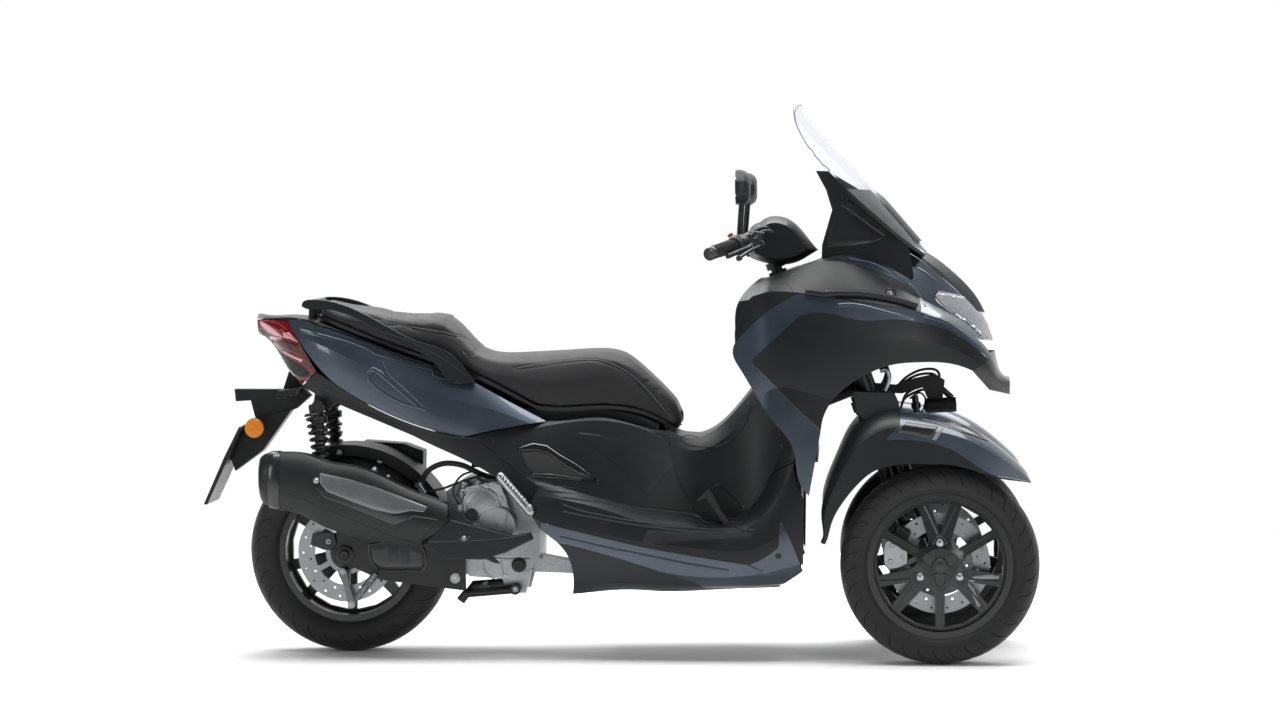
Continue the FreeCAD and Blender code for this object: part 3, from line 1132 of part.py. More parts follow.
# Silencer: x, lower and upper edge as shares, share of the full half thickness
SILENCER_SHARES = ((-0.133, 0.59, 0.65, 0.5), (-0.128, 0.535, 0.69, 0.78), (-0.10, 0.512, 0.70, 0.95),
                   (-0.061, 0.49, 0.697, 1.0), (-0.019, 0.448, 0.669, 1.0), (0.039, 0.413, 0.647, 1.0),
                   (0.1, 0.392, 0.594, 0.95), (0.15, 0.385, 0.552, 0.85), (0.183, 0.40, 0.525, 0.7))
HEADER_SHARES = ((0.31, -0.30, 0.385), (0.362, -0.33, 0.31), (0.368, -0.60, 0.275), (0.30, -0.70, 0.29),
                 (0.17, -0.76, 0.44))
EXHAUST_COVER_SHARES = ((0.140, 0.391), (0.190, 0.479), (0.295, 0.424), (0.322, 0.435), (0.327, 0.413),
                        (0.282, 0.369), (0.243, 0.345), (0.182, 0.347))


def silencer_form(distance):
    """The silencer's form, grown outward by a distance."""
    stations = []
    for x, low, high, share in SILENCER_SHARES:
        half = s.exhaust_half_width * share + distance
        y, z_low, z_high = -s.exhaust_offset, z_at(low) - distance, z_at(high) + distance
        cut = (z_high - z_low) * 0.27
        ring = [(y - half * 0.5, z_low), (y - half, z_low + cut), (y - half, z_high - cut), (y - half * 0.5, z_high),
                (y + half * 0.5, z_high), (y + half, z_high - cut), (y + half, z_low + cut), (y + half * 0.5, z_low)]
        stations.append((x_at(x), ring))
    return section_loft(stations, 2 * BODY_BOW_SHARE)


def build_exhaust():
    """The silencer with its header pipe, and the heat shield over their joint."""
    silencer = silencer_form(0)
    header = tube([beside(x, y_at(y), z) for x, y, z in HEADER_SHARES], s.frame_tube_radius, 1.5 * s.frame_tube_radius)
    hanger = boss(0.03, 0.42, s.stand_tube_radius, -s.exhaust_offset, -s.swing_arm_offset
                  - s.swing_arm_width / 2 - s.seating)
    exhaust = fused(silencer, header, hanger)
    shield_inner, shield_outer = s.exhaust_offset + s.exhaust_half_width * 0.4, s.exhaust_offset + s.exhaust_half_width * 0.9
    shield = rounded(plate(EXHAUST_COVER_SHARES, -shield_outer, -shield_inner), s.rim_wall, -shield_outer)
    exhaust = exhaust.cut(plate(CRANKCASE_SHARES, -s.engine_half_width * 2, 0))
    feature("exhaust", largest(exhaust))
    feature("exhaust_cover", largest(shield.cut(silencer_form(s.seating))))


# Steering

BAR_SHARES = ((0.629, 1.5, 1.365), (0.661, 1.05, 1.392), (0.690, 0.5, 1.425), (0.705, 0.12, 1.415))
LEVER_SHARES = ((0.680, 0.98, 1.395), (0.690, 1.05, 1.385), (0.655, 1.42, 1.355))
BAR_COVER_SHARES = (((0.702, 1.465), (0.728, 1.486), (0.753, 1.472), (0.775, 1.431), (0.800, 1.370)),
                    ((0.800, 1.370), (0.778, 1.343)), ((0.778, 1.343), (0.736, 1.320), (0.700, 1.333), (0.685, 1.345)),
                    ((0.685, 1.345), (0.680, 1.40), (0.684, 1.44), (0.702, 1.465)))
BAR_COVER_STATIONS = ((0, 0.0), (0.16, 0.02), (0.32, 0.12), (0.44, 0.28))
MIRROR_SHARES = ((0.668, 0.97), (0.674, 1.0), (0.682, 0.93), (0.688, 0.78), (0.691, 0.55))
MIRROR_CENTRE_SHARES = (1.24, 1.580)
MIRROR_STEM_SHARES = ((0.672, 0.93, 1.422), (0.676, 0.97, 1.53), (0.682, 1.12, 1.57))


def build_steering():
    """Handlebar with its stem and levers, grips, cover and mirrors."""
    pieces = [rod(head_point(1.095), head_point(1.395), s.stem_radius)]
    for side in (-1, 1):
        points = [beside(x, side * y_at(y), z) for x, y, z in BAR_SHARES]
        pieces.append(tube(points + [head_point(1.375)], s.bar_radius, 2 * s.bar_radius))
        lever = [beside(x, side * y_at(y), z) for x, y, z in LEVER_SHARES]
        on_bar = beside(0.6625, side * y_at(1.03), 1.393)
        pieces.append(rod(on_bar, lever[0], s.bar_radius))
        pieces.append(tube(lever, s.bar_radius * 0.6, s.bar_radius))
        foot, above = [beside(x, side * y_at(y), z) for x, y, z in MIRROR_STEM_SHARES[:2]]
        rise = Vector(above - foot).normalize()
        socket = foot - rise * 2 * s.bar_radius
        pieces.append(rod(beside(0.6655, side * y_at(0.93), 1.399), socket, s.bar_radius))
        pieces.append(rod(socket - rise * s.bar_radius / 2, foot - rise * s.seating, s.bar_radius))
    collar = rod(head_point(1.308), head_point(1.33), s.head_tube_radius)
    bars = fused(*pieces, collar)
    feature("handlebar", largest(bars))
    grips = []
    for side in (-1, 1):
        end, inner = [beside(x, side * y_at(y), z) for x, y, z in BAR_SHARES[:2]]
        along = Vector(end - inner).normalize()
        start = end - along * s.grip_length
        grip = rod(start, end + along * s.bar_end_length / 2, s.grip_radius)
        bore = rod(start - along, end + along * s.seating, s.bar_radius + s.seating)
        grips.append(grip.cut(bore))
    feature("grips", Part.makeCompound(grips))
    shells = []
    for distance, reach in ((0, 0), (s.panel_wall, s.panel_wall)):
        wires = []
        for side in (-1, 1):
            steps = BAR_COVER_STATIONS if side > 0 else tuple(reversed(BAR_COVER_STATIONS[1:]))
            for y_share, narrow in steps:
                y = side * (y_at(y_share) - (reach if y_share == BAR_COVER_STATIONS[-1][0] else 0))
                wires.append(outline_face(BAR_COVER_SHARES, y, distance + narrow * s.bar_rise).OuterWire)
        shells.append(lofted(wires))
    cover = shells[0].cut(shells[1])
    bar_room = rod(head_point(1.2), head_point(1.42), s.stem_radius + s.seating)
    cover = cover.cut(bar_room).cut(rod(head_point(1.2), head_point(1.34), s.head_tube_radius + s.moving_gap))
    for side in (-1, 1):
        outer, inner = [beside(x, side * y_at(y), z) for x, y, z in BAR_SHARES[2:]]
        cover = cover.cut(rod(outer, inner, s.bar_radius + s.seating))
    feature("bar_cover", largest(cover))
    mirrors = []
    for side in (-1, 1):
        y_mid, z_mid = side * y_at(MIRROR_CENTRE_SHARES[0]), z_at(MIRROR_CENTRE_SHARES[1])
        rings = []
        for x, share in MIRROR_SHARES:
            half_y, half_z = s.mirror_half_width * share, s.mirror_half_height * share
            rings.append((x_at(x), [(y_mid + half_y * u, z_mid + half_z * v) for u, v in MIRROR_RING_SHARES]))
        housing = section_loft(rings, 2 * BODY_BOW_SHARE, True)
        stem = tube([beside(x, side * y_at(y), z) for x, y, z in MIRROR_STEM_SHARES], s.bar_radius * 0.7,
                    s.bar_radius * 1.5)
        mirrors.append(largest(fused(housing, stem)))
    feature("mirrors", Part.makeCompound(mirrors))


MIRROR_RING_SHARES = ((-1.0, -0.35), (-0.55, -0.95), (0.55, -0.95), (1.0, -0.35), (1.0, 0.35), (0.6, 0.95),
                      (-0.6, 0.95), (-1.0, 0.35))

# Screen: x, z and half width as shares; the edges lie back by a share of the bow
SCREEN_SHARES = ((0.985, 1.368, 0.30), (0.958, 1.429, 0.48), (0.899, 1.565, 0.66), (0.837, 1.695, 0.70),
                 (0.790, 1.800, 0.62), (0.772, 1.861, 0.44))
SCREEN_SUPPORT_SHARES = (((0.845, 1.575), (0.887, 1.571)), ((0.887, 1.571), (0.93, 1.5), (1.02, 1.42)),
                         ((1.02, 1.42), (1.02, 1.25)), ((1.02, 1.25), (0.85, 1.25)), ((0.85, 1.25), (0.845, 1.575)))
INSTRUMENT_SHARES = ((0.805, 1.28), (0.807, 1.388), (0.824, 1.505), (0.814, 1.572), (0.797, 1.636),
                     (0.817, 1.635), (0.865, 1.578), (0.914, 1.477), (0.95, 1.40), (0.96, 1.28))


def screen_form(near, far, overrun):
    """A curved sheet behind the screen's outer face, between two depths."""
    wires = []
    places = [(x_at(x), z_at(z), y_at(half)) for x, z, half in SCREEN_SHARES]
    for index, (x, z, half) in enumerate(places):
        before, after = places[max(index - 1, 0)], places[min(index + 1, len(places) - 1)]
        run = Vector(after[0] - before[0], 0, after[1] - before[1]).normalize()
        inward = Vector(-run.z, 0, run.x)
        if index == 0:
            x, z = x - run.x * overrun, z - run.z * overrun
        curve = []
        half += overrun
        set_back = s.screen_bow * (half / s.screen_half_width) ** 2
        for depth in (near, far):
            middle = Vector(x, 0, z) + inward * depth
            ends = [middle + inward * set_back + Vector(0, side * half, 0) for side in (-1, 1)]
            curve.append((ends[0], middle, ends[1]))
        wires.append(Part.Wire([Part.Arc(*curve[0]).toShape(),
                                Part.LineSegment(curve[0][2], curve[1][2]).toShape(),
                                Part.Arc(*reversed(curve[1])).toShape(),
                                Part.LineSegment(curve[1][0], curve[0][0]).toShape()]))
    return lofted(wires)


def build_screen():
    """The clear screen, the dark support behind its foot, and the instrument."""
    body = body_core(FRONT_SECTION_SHARES, -s.seating)
    feature("windscreen", largest(screen_form(0, s.panel_wall, 0).cut(body)))
    face = outline_face(SCREEN_SUPPORT_SHARES, -s.body_half_width, 0)
    prism_across = face.extrude(Vector(0, 2 * s.body_half_width, 0))
    support = screen_form(s.panel_wall + s.seating, s.panel_wall + s.screen_support_depth, 0)
    feature("screen_support", largest(support.common(prism_across).cut(body)))
    block = plate(INSTRUMENT_SHARES, -y_at(0.42), y_at(0.42))
    screen_room = screen_form(-s.overrun, s.panel_wall + s.screen_support_depth + s.seating, s.overrun)
    swing_room = rod(head_point(1.2), head_point(1.5), s.bar_cover_reach + s.moving_gap)
    feature("instrument", largest(block.cut(body).cut(screen_room).cut(swing_room)))


# Leg shield and splash guard

LEG_SHIELD_SHARES = (((0.775, 0.672), (0.767, 0.735), (0.741, 0.797), (0.713, 0.872), (0.680, 0.98), (0.666, 1.03),
                      (0.664, 1.10), (0.666, 1.184), (0.680, 1.235), (0.716, 1.288)),
                     ((0.716, 1.288), (0.74, 1.288)),
                     ((0.74, 1.288), (0.72, 1.255), (0.700, 1.205), (0.688, 1.15), (0.686, 1.09), (0.69, 1.04),
                      (0.705, 0.985), (0.736, 0.88), (0.764, 0.81), (0.79, 0.74), (0.80, 0.672)),
                     ((0.80, 0.672), (0.775, 0.672)))
SPLASH_GUARD_SHARES = ((0.764, 0.32), (0.772, 0.32), (0.772, 0.668), (0.764, 0.668))


def build_shields():
    """The leg shield that closes the front body's back, and the splash guard under it."""
    inside = form(FRONT_SECTION_SHARES, s.panel_wall + s.seating, BODY_BOW_SHARE, (s.overrun, -s.panel_wall))
    middle = body_core(MIDDLE_SECTION_SHARES, -s.seating)
    face = outline_face(LEG_SHIELD_SHARES, -s.body_half_width, 0)
    shield = face.extrude(Vector(0, 2 * s.body_half_width, 0)).common(inside).cut(middle)
    head_room = rod(head_point(1.0), head_point(1.5), s.head_tube_radius + s.seating)
    feature("leg_shield", largest(shield.cut(head_room)))
    guard = plate(SPLASH_GUARD_SHARES, -s.body_half_width, s.body_half_width)
    inner_middle = body_core(MIDDLE_SECTION_SHARES, s.panel_wall + s.seating)
    down_tube = rod(beside(0.745, 0, 0.80), beside(0.702, 0, 0.285), s.frame_tube_radius + s.seating)
    feature("splash_guard", largest(guard.common(inner_middle).cut(down_tube)))


# Seat and storage tub

# x, top edge, lower edge, share of the full half width
SEAT_SHARES = ((-0.045, 1.2, 1.13, 0.30), (-0.03, 1.2, 1.12, 0.39), (0.0, 1.186, 1.09, 0.44),
               (0.077, 1.156, 1.035, 0.49), (0.135, 1.153, 0.98, 0.495), (0.165, 1.151, 0.955, 0.498),
               (0.19, 1.115, 0.935, 0.50), (0.232, 1.034, 0.89, 0.52), (0.291, 1.02, 0.84, 0.53),
               (0.36, 1.027, 0.81, 0.53),
               (0.44, 1.034, 0.81, 0.50), (0.497, 0.982, 0.79, 0.42), (0.54, 0.9, 0.77, 0.36),
               (0.562, 0.85, 0.77, 0.30), (0.572, 0.822, 0.785, 0.22))
SEAT_RING_SHARES = ((0, 1.0), (0.55, 0.98), (0.86, 0.84), (1.0, 0.55), (0.98, 0.2), (0.88, 0.0))
TUB_SHARES = ((0.215, 0.64), (0.335, 0.64), (0.345, 0.44), (0.53, 0.44), (0.53, 0.95), (0.215, 0.95))
HINGE_SHARES = (0.561, 0.797)
HINGE_CHEEK_SHARES = ((0.526, 0.68), (0.541, 0.68), (0.541, 0.778), (0.566, 0.782), (0.569, 0.80), (0.563, 0.812),
                      (0.54, 0.812), (0.526, 0.79))


def build_seat():
    """The seat's pad and base, and the storage tub that carries the seat's hinge."""
    stations = []
    for x, high, low, share in SEAT_SHARES:
        half, z_low, rise = y_at(share), z_at(low), z_at(high) - z_at(low)
        right = [(-half * u, z_low + rise * v) for u, v in SEAT_RING_SHARES]
        stations.append((x_at(x), right + [(-y, z) for y, z in reversed(right[1:])]))
    whole = section_loft(stations, BODY_BOW_SHARE / 2)
    tail = [body_core(TAIL_SECTION_SHARES, -distance) for distance in (s.moving_gap, s.moving_gap + s.lid_wall)]
    middle = [body_core(MIDDLE_SECTION_SHARES, -distance) for distance in (s.moving_gap, s.moving_gap + s.lid_wall)]
    whole = whole.cut(tail[0]).cut(middle[0])
    pin_at = beside(HINGE_SHARES[0], 0, HINGE_SHARES[1])
    room_half = s.hinge_half_width + 2 * s.rim_wall + s.moving_gap
    room = Part.makeBox(x_at(0.6) - x_at(0.52), 2 * room_half, s.hinge_room_below + s.hinge_room_above)
    room.translate(Vector(x_at(0.52), -room_half, pin_at.z - s.hinge_room_below))
    base = whole.common(tail[1].fuse(middle[1])).cut(room)
    pad = whole.cut(tail[1]).cut(middle[1]).cut(room)
    sleeve = rod(pin_at - Vector(0, s.hinge_half_width - s.seating, 0), pin_at + Vector(0, s.hinge_half_width - s.seating, 0),
                 s.hinge_sleeve_radius)
    arm = Part.makeBox(pin_at.x - x_at(0.515), 2 * (s.hinge_half_width - s.seating), s.rim_wall)
    arm.translate(Vector(x_at(0.515), s.seating - s.hinge_half_width, pin_at.z + s.hinge_sleeve_radius - s.rim_wall))
    bore = rod(pin_at - Vector(0, s.overrun * 2, 0), pin_at + Vector(0, s.overrun * 2, 0),
               s.hinge_pin_radius + s.running)
    base = fused(base, arm, sleeve).cut(bore)
    pad = pad.cut(base)
    feature("seat_base", largest(base))
    feature("seat", largest(pad))
    half = y_at(TUB_HALF_SHARE) - s.seating
    outer = plate(TUB_SHARES, -half, half)
    hollow = prism(shrink([(x_at(x), z_at(z)) for x, z in TUB_SHARES], s.panel_wall), s.panel_wall - half,
                   half - s.panel_wall)
    hollow = hollow.fuse(hollow.translated(Vector(0, 0, s.overrun)))
    tub = outer.cut(hollow).common(body_core(MIDDLE_SECTION_SHARES, 0))
    pieces = [tub]
    for side in (-1, 1):
        y = side * (s.hinge_half_width + s.rim_wall)
        pieces.append(plate(HINGE_CHEEK_SHARES, y - s.rim_wall, y + s.rim_wall))
        stay_from, stay_to = half - s.panel_wall / 2, y_at(RAIL_SHARES[2][1]) - s.frame_tube_radius - s.seating
        pieces.append(rod(beside(TUB_STAY_SHARES[0], side * stay_from, TUB_STAY_SHARES[1]),
                          beside(TUB_STAY_SHARES[0], side * stay_to, TUB_STAY_SHARES[1]), s.stand_tube_radius))
    pieces.append(rod(pin_at - Vector(0, s.hinge_half_width + s.rim_wall, 0),
                      pin_at + Vector(0, s.hinge_half_width + s.rim_wall, 0), s.hinge_pin_radius))
    feature("seat_tub", largest(fused(*pieces)))


# Stand, pegs, pedal, rails and plate holder

STAND_LEG_SHARES = ((0.288, 0.225), (0.20, 0.21), (0.194, 0.185))
STAND_TANG_SHARES = (0.205, 0.205)
PEG_SHARES = ((0.272, 0.62), (0.322, 0.505))
PEDAL_SHARES = ((0.598, 0.540), (0.617, 0.576), (0.623, 0.565), (0.640, 0.50), (0.660, 0.447), (0.655, 0.43),
                (0.648, 0.44), (0.630, 0.50), (0.614, 0.546), (0.603, 0.535))
GRAB_RAIL_SHARES = (((-0.066, 1.19), (-0.062, 1.207), (-0.05, 1.212), (0.098, 1.098), (0.132, 1.068), (0.174, 1.040),
                     (0.205, 0.985), (0.225, 0.93)), ((0.225, 0.93), (0.18, 0.93)),
                    ((0.18, 0.93), (0.166, 0.976), (0.132, 1.035), (0.098, 1.068), (-0.036, 1.180), (-0.06, 1.183),
                     (-0.066, 1.19)))
PLATE_HOLDER_SHARES = ((-0.199, 0.901), (-0.197, 0.859), (-0.171, 0.862), (-0.166, 0.821), (-0.161, 0.786),
                       (-0.115, 0.818), (-0.092, 0.834), (-0.055, 0.90), (-0.06, 0.98), (-0.10, 0.99),
                       (-0.115, 0.90))
HOLDER_ARM_SHARES = ((-0.161, 0.80), (-0.10, 0.83), (-0.150, 0.690), (-0.198, 0.62), (-0.205, 0.66), (-0.184, 0.776))
PLATE_SHARES = ((-0.184, 0.776), (-0.210, 0.673), (-0.246, 0.511), (-0.240, 0.511), (-0.205, 0.66), (-0.18, 0.765))
REFLECTOR_SHARES = (-0.157, 0.774)
INDICATOR_SHARES = ((-0.118, 0.872), (-0.085, 0.885), (-0.08, 0.91), (-0.115, 0.90))


def build_small_parts():
    """The centre stand, pegs, brake pedal, grab rail, plate holder and indicators."""
    half = s.stand_half_width
    pieces = []
    for side in (-1, 1):
        points = [beside(x, side * half, z) for x, z in STAND_LEG_SHARES]
        pieces.append(rod(points[0], points[1], s.stand_tube_radius))
        pieces.append(rod(points[1] + Vector(s.stand_tube_radius / 2, 0, 0), points[2], s.stand_tube_radius))
        pieces.append(boss(*STAND_PIVOT_SHARES, s.stand_sleeve_radius, side * half - s.stand_tube_radius * 1.5,
                           side * half + s.stand_tube_radius * 1.5))
    pieces.append(rod(beside(0.225, -half, 0.214), beside(0.225, half, 0.214), s.stand_tube_radius * 0.8))
    pieces.append(boss(*STAND_TANG_SHARES, s.stand_tube_radius * 0.7, half, half * 1.5))
    stand = fused(*pieces).cut(boss(*STAND_PIVOT_SHARES, s.stand_pin_radius + s.running, -s.body_half_width,
                                    s.body_half_width))
    feature("centre_stand", largest(stand))
    middle = body_core(MIDDLE_SECTION_SHARES, -s.seating)
    pegs = []
    for side in (-1, 1):
        ends = [beside(x, side * (s.peg_offset + s.peg_radius * lean), z)
                for (x, z), lean in zip(PEG_SHARES, (0, 1))]
        peg = fused(rod(ends[0], ends[1], s.peg_radius), Part.makeSphere(s.peg_radius, ends[0]),
                    Part.makeSphere(s.peg_radius, ends[1]))
        pegs.append(largest(peg.cut(middle)))
    feature("passenger_pegs", Part.makeCompound(pegs))
    pedal = plate(PEDAL_SHARES, -s.pedal_offset - s.pedal_half_width, -s.pedal_offset + s.pedal_half_width)
    feature("brake_pedal", largest(pedal.cut(middle)))
    tail = body_core(TAIL_SECTION_SHARES, -s.seating)
    rail_face = outline_face(GRAB_RAIL_SHARES, 0, 0)
    pieces = []
    for side in (-1, 1):
        start = side * s.grab_inner if side > 0 else -s.grab_outer
        rail = rail_face.extrude(Vector(0, s.grab_outer - s.grab_inner, 0))
        rail.translate(Vector(0, start, 0))
        pieces.append(rail)
        post = rod(beside(-0.058, side * y_at(0.2), 1.1), beside(-0.058, side * y_at(0.2), 1.195),
                   s.stand_tube_radius)
        pieces.append(post)
    pieces.append(rod(beside(-0.058, -s.grab_outer, 1.196), beside(-0.058, s.grab_outer, 1.196), s.bar_radius))
    feature("grab_rail", largest(fused(*pieces).cut(tail)))
    arm = plate(PLATE_HOLDER_SHARES, -s.holder_half_width, s.holder_half_width)
    lower = plate(HOLDER_ARM_SHARES, -s.holder_half_width * 1.6, s.holder_half_width * 1.6)
    blank = plate(PLATE_SHARES, -s.plate_half_width, s.plate_half_width)
    reflectors = boss(*REFLECTOR_SHARES, s.reflector_radius, -s.plate_half_width, s.plate_half_width)
    neck = boss(*REFLECTOR_SHARES, s.reflector_radius * 2, s.rim_wall - s.plate_half_width,
                s.plate_half_width - s.rim_wall)
    keep_arm = boss(*REFLECTOR_SHARES, s.stand_tube_radius, -s.plate_half_width, s.plate_half_width)
    holder = fused(arm, lower, blank, reflectors.cut(neck), keep_arm).cut(tail)
    upper, lower_end = beside(*PLATE_SHARES[1][:1], 0, PLATE_SHARES[1][1]), beside(PLATE_SHARES[2][0], 0, PLATE_SHARES[2][1])
    along = Vector(lower_end - upper).normalize()
    normal = Vector(along.z, 0, -along.x)
    for side in (-1, 1):
        at = (upper + lower_end) / 2 + Vector(0, side * s.plate_hole_pitch / 2, 0)
        holder = holder.cut(rod(at - normal * s.overrun, at + normal * s.overrun, s.plate_hole_radius))
    feature("plate_holder", largest(holder))
    lamps = []
    for side in (-1, 1):
        start, end = sorted((side * (s.holder_half_width + s.seating), side * s.plate_half_width * 1.2))
        lamps.append(rounded(plate(INDICATOR_SHARES, start, end), s.rim_wall / 2, side * s.plate_half_width * 1.2))
    feature("rear_indicators", Part.makeCompound([largest(lamp.cut(tail)) for lamp in lamps]))


def main():
    """Build every sub-part, check it and write it."""
    build_front_body()
    build_middle_body()
    build_tail()
    build_shields()
    build_seat()
    build_wheels()
    build_tilt_linkage()
    build_knuckles()
    build_mudguards()
    build_frame()
    build_engine()
    build_drive()
    build_shocks()
    build_hugger()
    build_exhaust()
    build_steering()
    build_screen()
    build_small_parts()
    document.recompute()
    os.makedirs("parts", exist_ok=True)
    for subpart in subparts:
        shape = subpart.Shape
        faults = [word for word in subpart.State if word in ("Invalid", "Error")]
        if faults or shape.isNull() or not shape.isValid() or not shape.Solids:
            raise RuntimeError("%s is not sound: %s" % (subpart.Label, subpart.State))
        shape.exportStep("parts/%s.step" % subpart.Label)
        print(subpart.Label, len(shape.Solids), round(shape.Volume))


main()
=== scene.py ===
"""Looks for a leaning three-wheeled scooter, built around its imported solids."""

import json
import logging
import math
from dataclasses import dataclass
from enum import Enum

import bmesh
import bpy
import numpy as np
from mathutils import Matrix, Vector

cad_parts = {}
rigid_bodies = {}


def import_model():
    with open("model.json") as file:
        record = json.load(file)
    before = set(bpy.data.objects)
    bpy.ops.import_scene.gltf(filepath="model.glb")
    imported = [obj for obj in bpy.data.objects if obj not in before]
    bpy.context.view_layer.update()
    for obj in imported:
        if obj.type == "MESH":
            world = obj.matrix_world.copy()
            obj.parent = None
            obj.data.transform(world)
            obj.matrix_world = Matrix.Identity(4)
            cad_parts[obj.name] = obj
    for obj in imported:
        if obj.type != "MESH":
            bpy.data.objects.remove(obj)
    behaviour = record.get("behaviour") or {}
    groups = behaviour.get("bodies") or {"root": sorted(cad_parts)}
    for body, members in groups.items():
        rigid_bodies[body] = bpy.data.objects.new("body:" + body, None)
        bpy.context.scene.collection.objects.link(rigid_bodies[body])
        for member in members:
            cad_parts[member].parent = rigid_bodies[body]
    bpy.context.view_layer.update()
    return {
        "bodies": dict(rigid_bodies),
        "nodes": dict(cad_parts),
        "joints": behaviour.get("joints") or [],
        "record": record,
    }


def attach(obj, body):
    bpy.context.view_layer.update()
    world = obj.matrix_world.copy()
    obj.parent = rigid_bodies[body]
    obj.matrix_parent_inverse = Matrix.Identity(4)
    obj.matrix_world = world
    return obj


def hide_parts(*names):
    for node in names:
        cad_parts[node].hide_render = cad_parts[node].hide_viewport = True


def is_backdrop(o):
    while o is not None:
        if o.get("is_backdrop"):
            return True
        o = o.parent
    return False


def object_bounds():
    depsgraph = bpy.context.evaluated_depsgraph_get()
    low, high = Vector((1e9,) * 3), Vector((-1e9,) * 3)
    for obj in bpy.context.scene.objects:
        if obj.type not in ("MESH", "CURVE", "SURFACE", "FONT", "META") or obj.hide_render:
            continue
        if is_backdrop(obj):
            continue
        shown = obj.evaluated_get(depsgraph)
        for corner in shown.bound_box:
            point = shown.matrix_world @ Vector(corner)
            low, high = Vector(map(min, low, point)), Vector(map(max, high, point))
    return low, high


LOG = logging.getLogger("trike")
MM = 0.001
FULL_TURN = 2.0 * math.pi
# Millimetres from the rear axle forward to the frame's origin.
AXLE_MM = 732.0
# Metres within which corners are welded.
WELD = 1e-5
RIGHT, LEFT = -1, 1
SIDES = {"right": RIGHT, "left": LEFT}


# Node and colour helpers


def linear(hex_colour: str) -> tuple[float, float, float, float]:
    """Turns an sRGB hex colour to linear values.

    Args:
        hex_colour: Six hex digits, with or without the leading mark.

    Returns:
        Red, green, blue and an alpha of one.
    """
    digits = hex_colour.lstrip("#")
    shares = np.array([int(digits[at : at + 2], 16) for at in (0, 2, 4)]) / 255.0
    low, high = shares / 12.92, ((shares + 0.055) / 1.055) ** 2.4
    return (*np.where(shares <= 0.04045, low, high).tolist(), 1.0)


def node(tree: bpy.types.NodeTree, kind: str, settings: dict | None = None, links: dict | None = None):
    """Adds one shader node with its settings and its incoming links.

    Args:
        tree: Node tree of a material or of the world.
        kind: Type name of the node.
        settings: Values by the name of an attribute or of an input socket.
        links: Output sockets by the name or number of the input that they feed.

    Returns:
        The new node.
    """
    made = tree.nodes.new(kind)
    for name, value in (settings or {}).items():
        if isinstance(name, str) and hasattr(made, name):
            setattr(made, name, value)
        else:
            made.inputs[name].default_value = value
    for name, source in (links or {}).items():
        tree.links.new(source, made.inputs[name])
    return made


def blank_material(name: str) -> tuple[bpy.types.Material, bpy.types.NodeTree, bpy.types.NodeSocket]:
    """Starts a material.

    Args:
        name: Its name.

    Returns:
        The material, its empty tree and the socket with the place on the object, in metres.
    """
    made = bpy.data.materials.new(name)
    made.use_nodes = True
    tree = made.node_tree
    tree.nodes.clear()
    return made, tree, node(tree, "ShaderNodeTexCoord").outputs["Object"]


class Grain(Enum):
    """How the surface of a finish was made."""

    FLAKE = "metal flakes under lacquer"
    TEXTURED = "spark-eroded mould texture"
    SMOOTH = "polished mould"
    CAST = "sand or die casting"
    BRUSHED = "turned or brushed"
    LEATHER = "embossed vinyl"


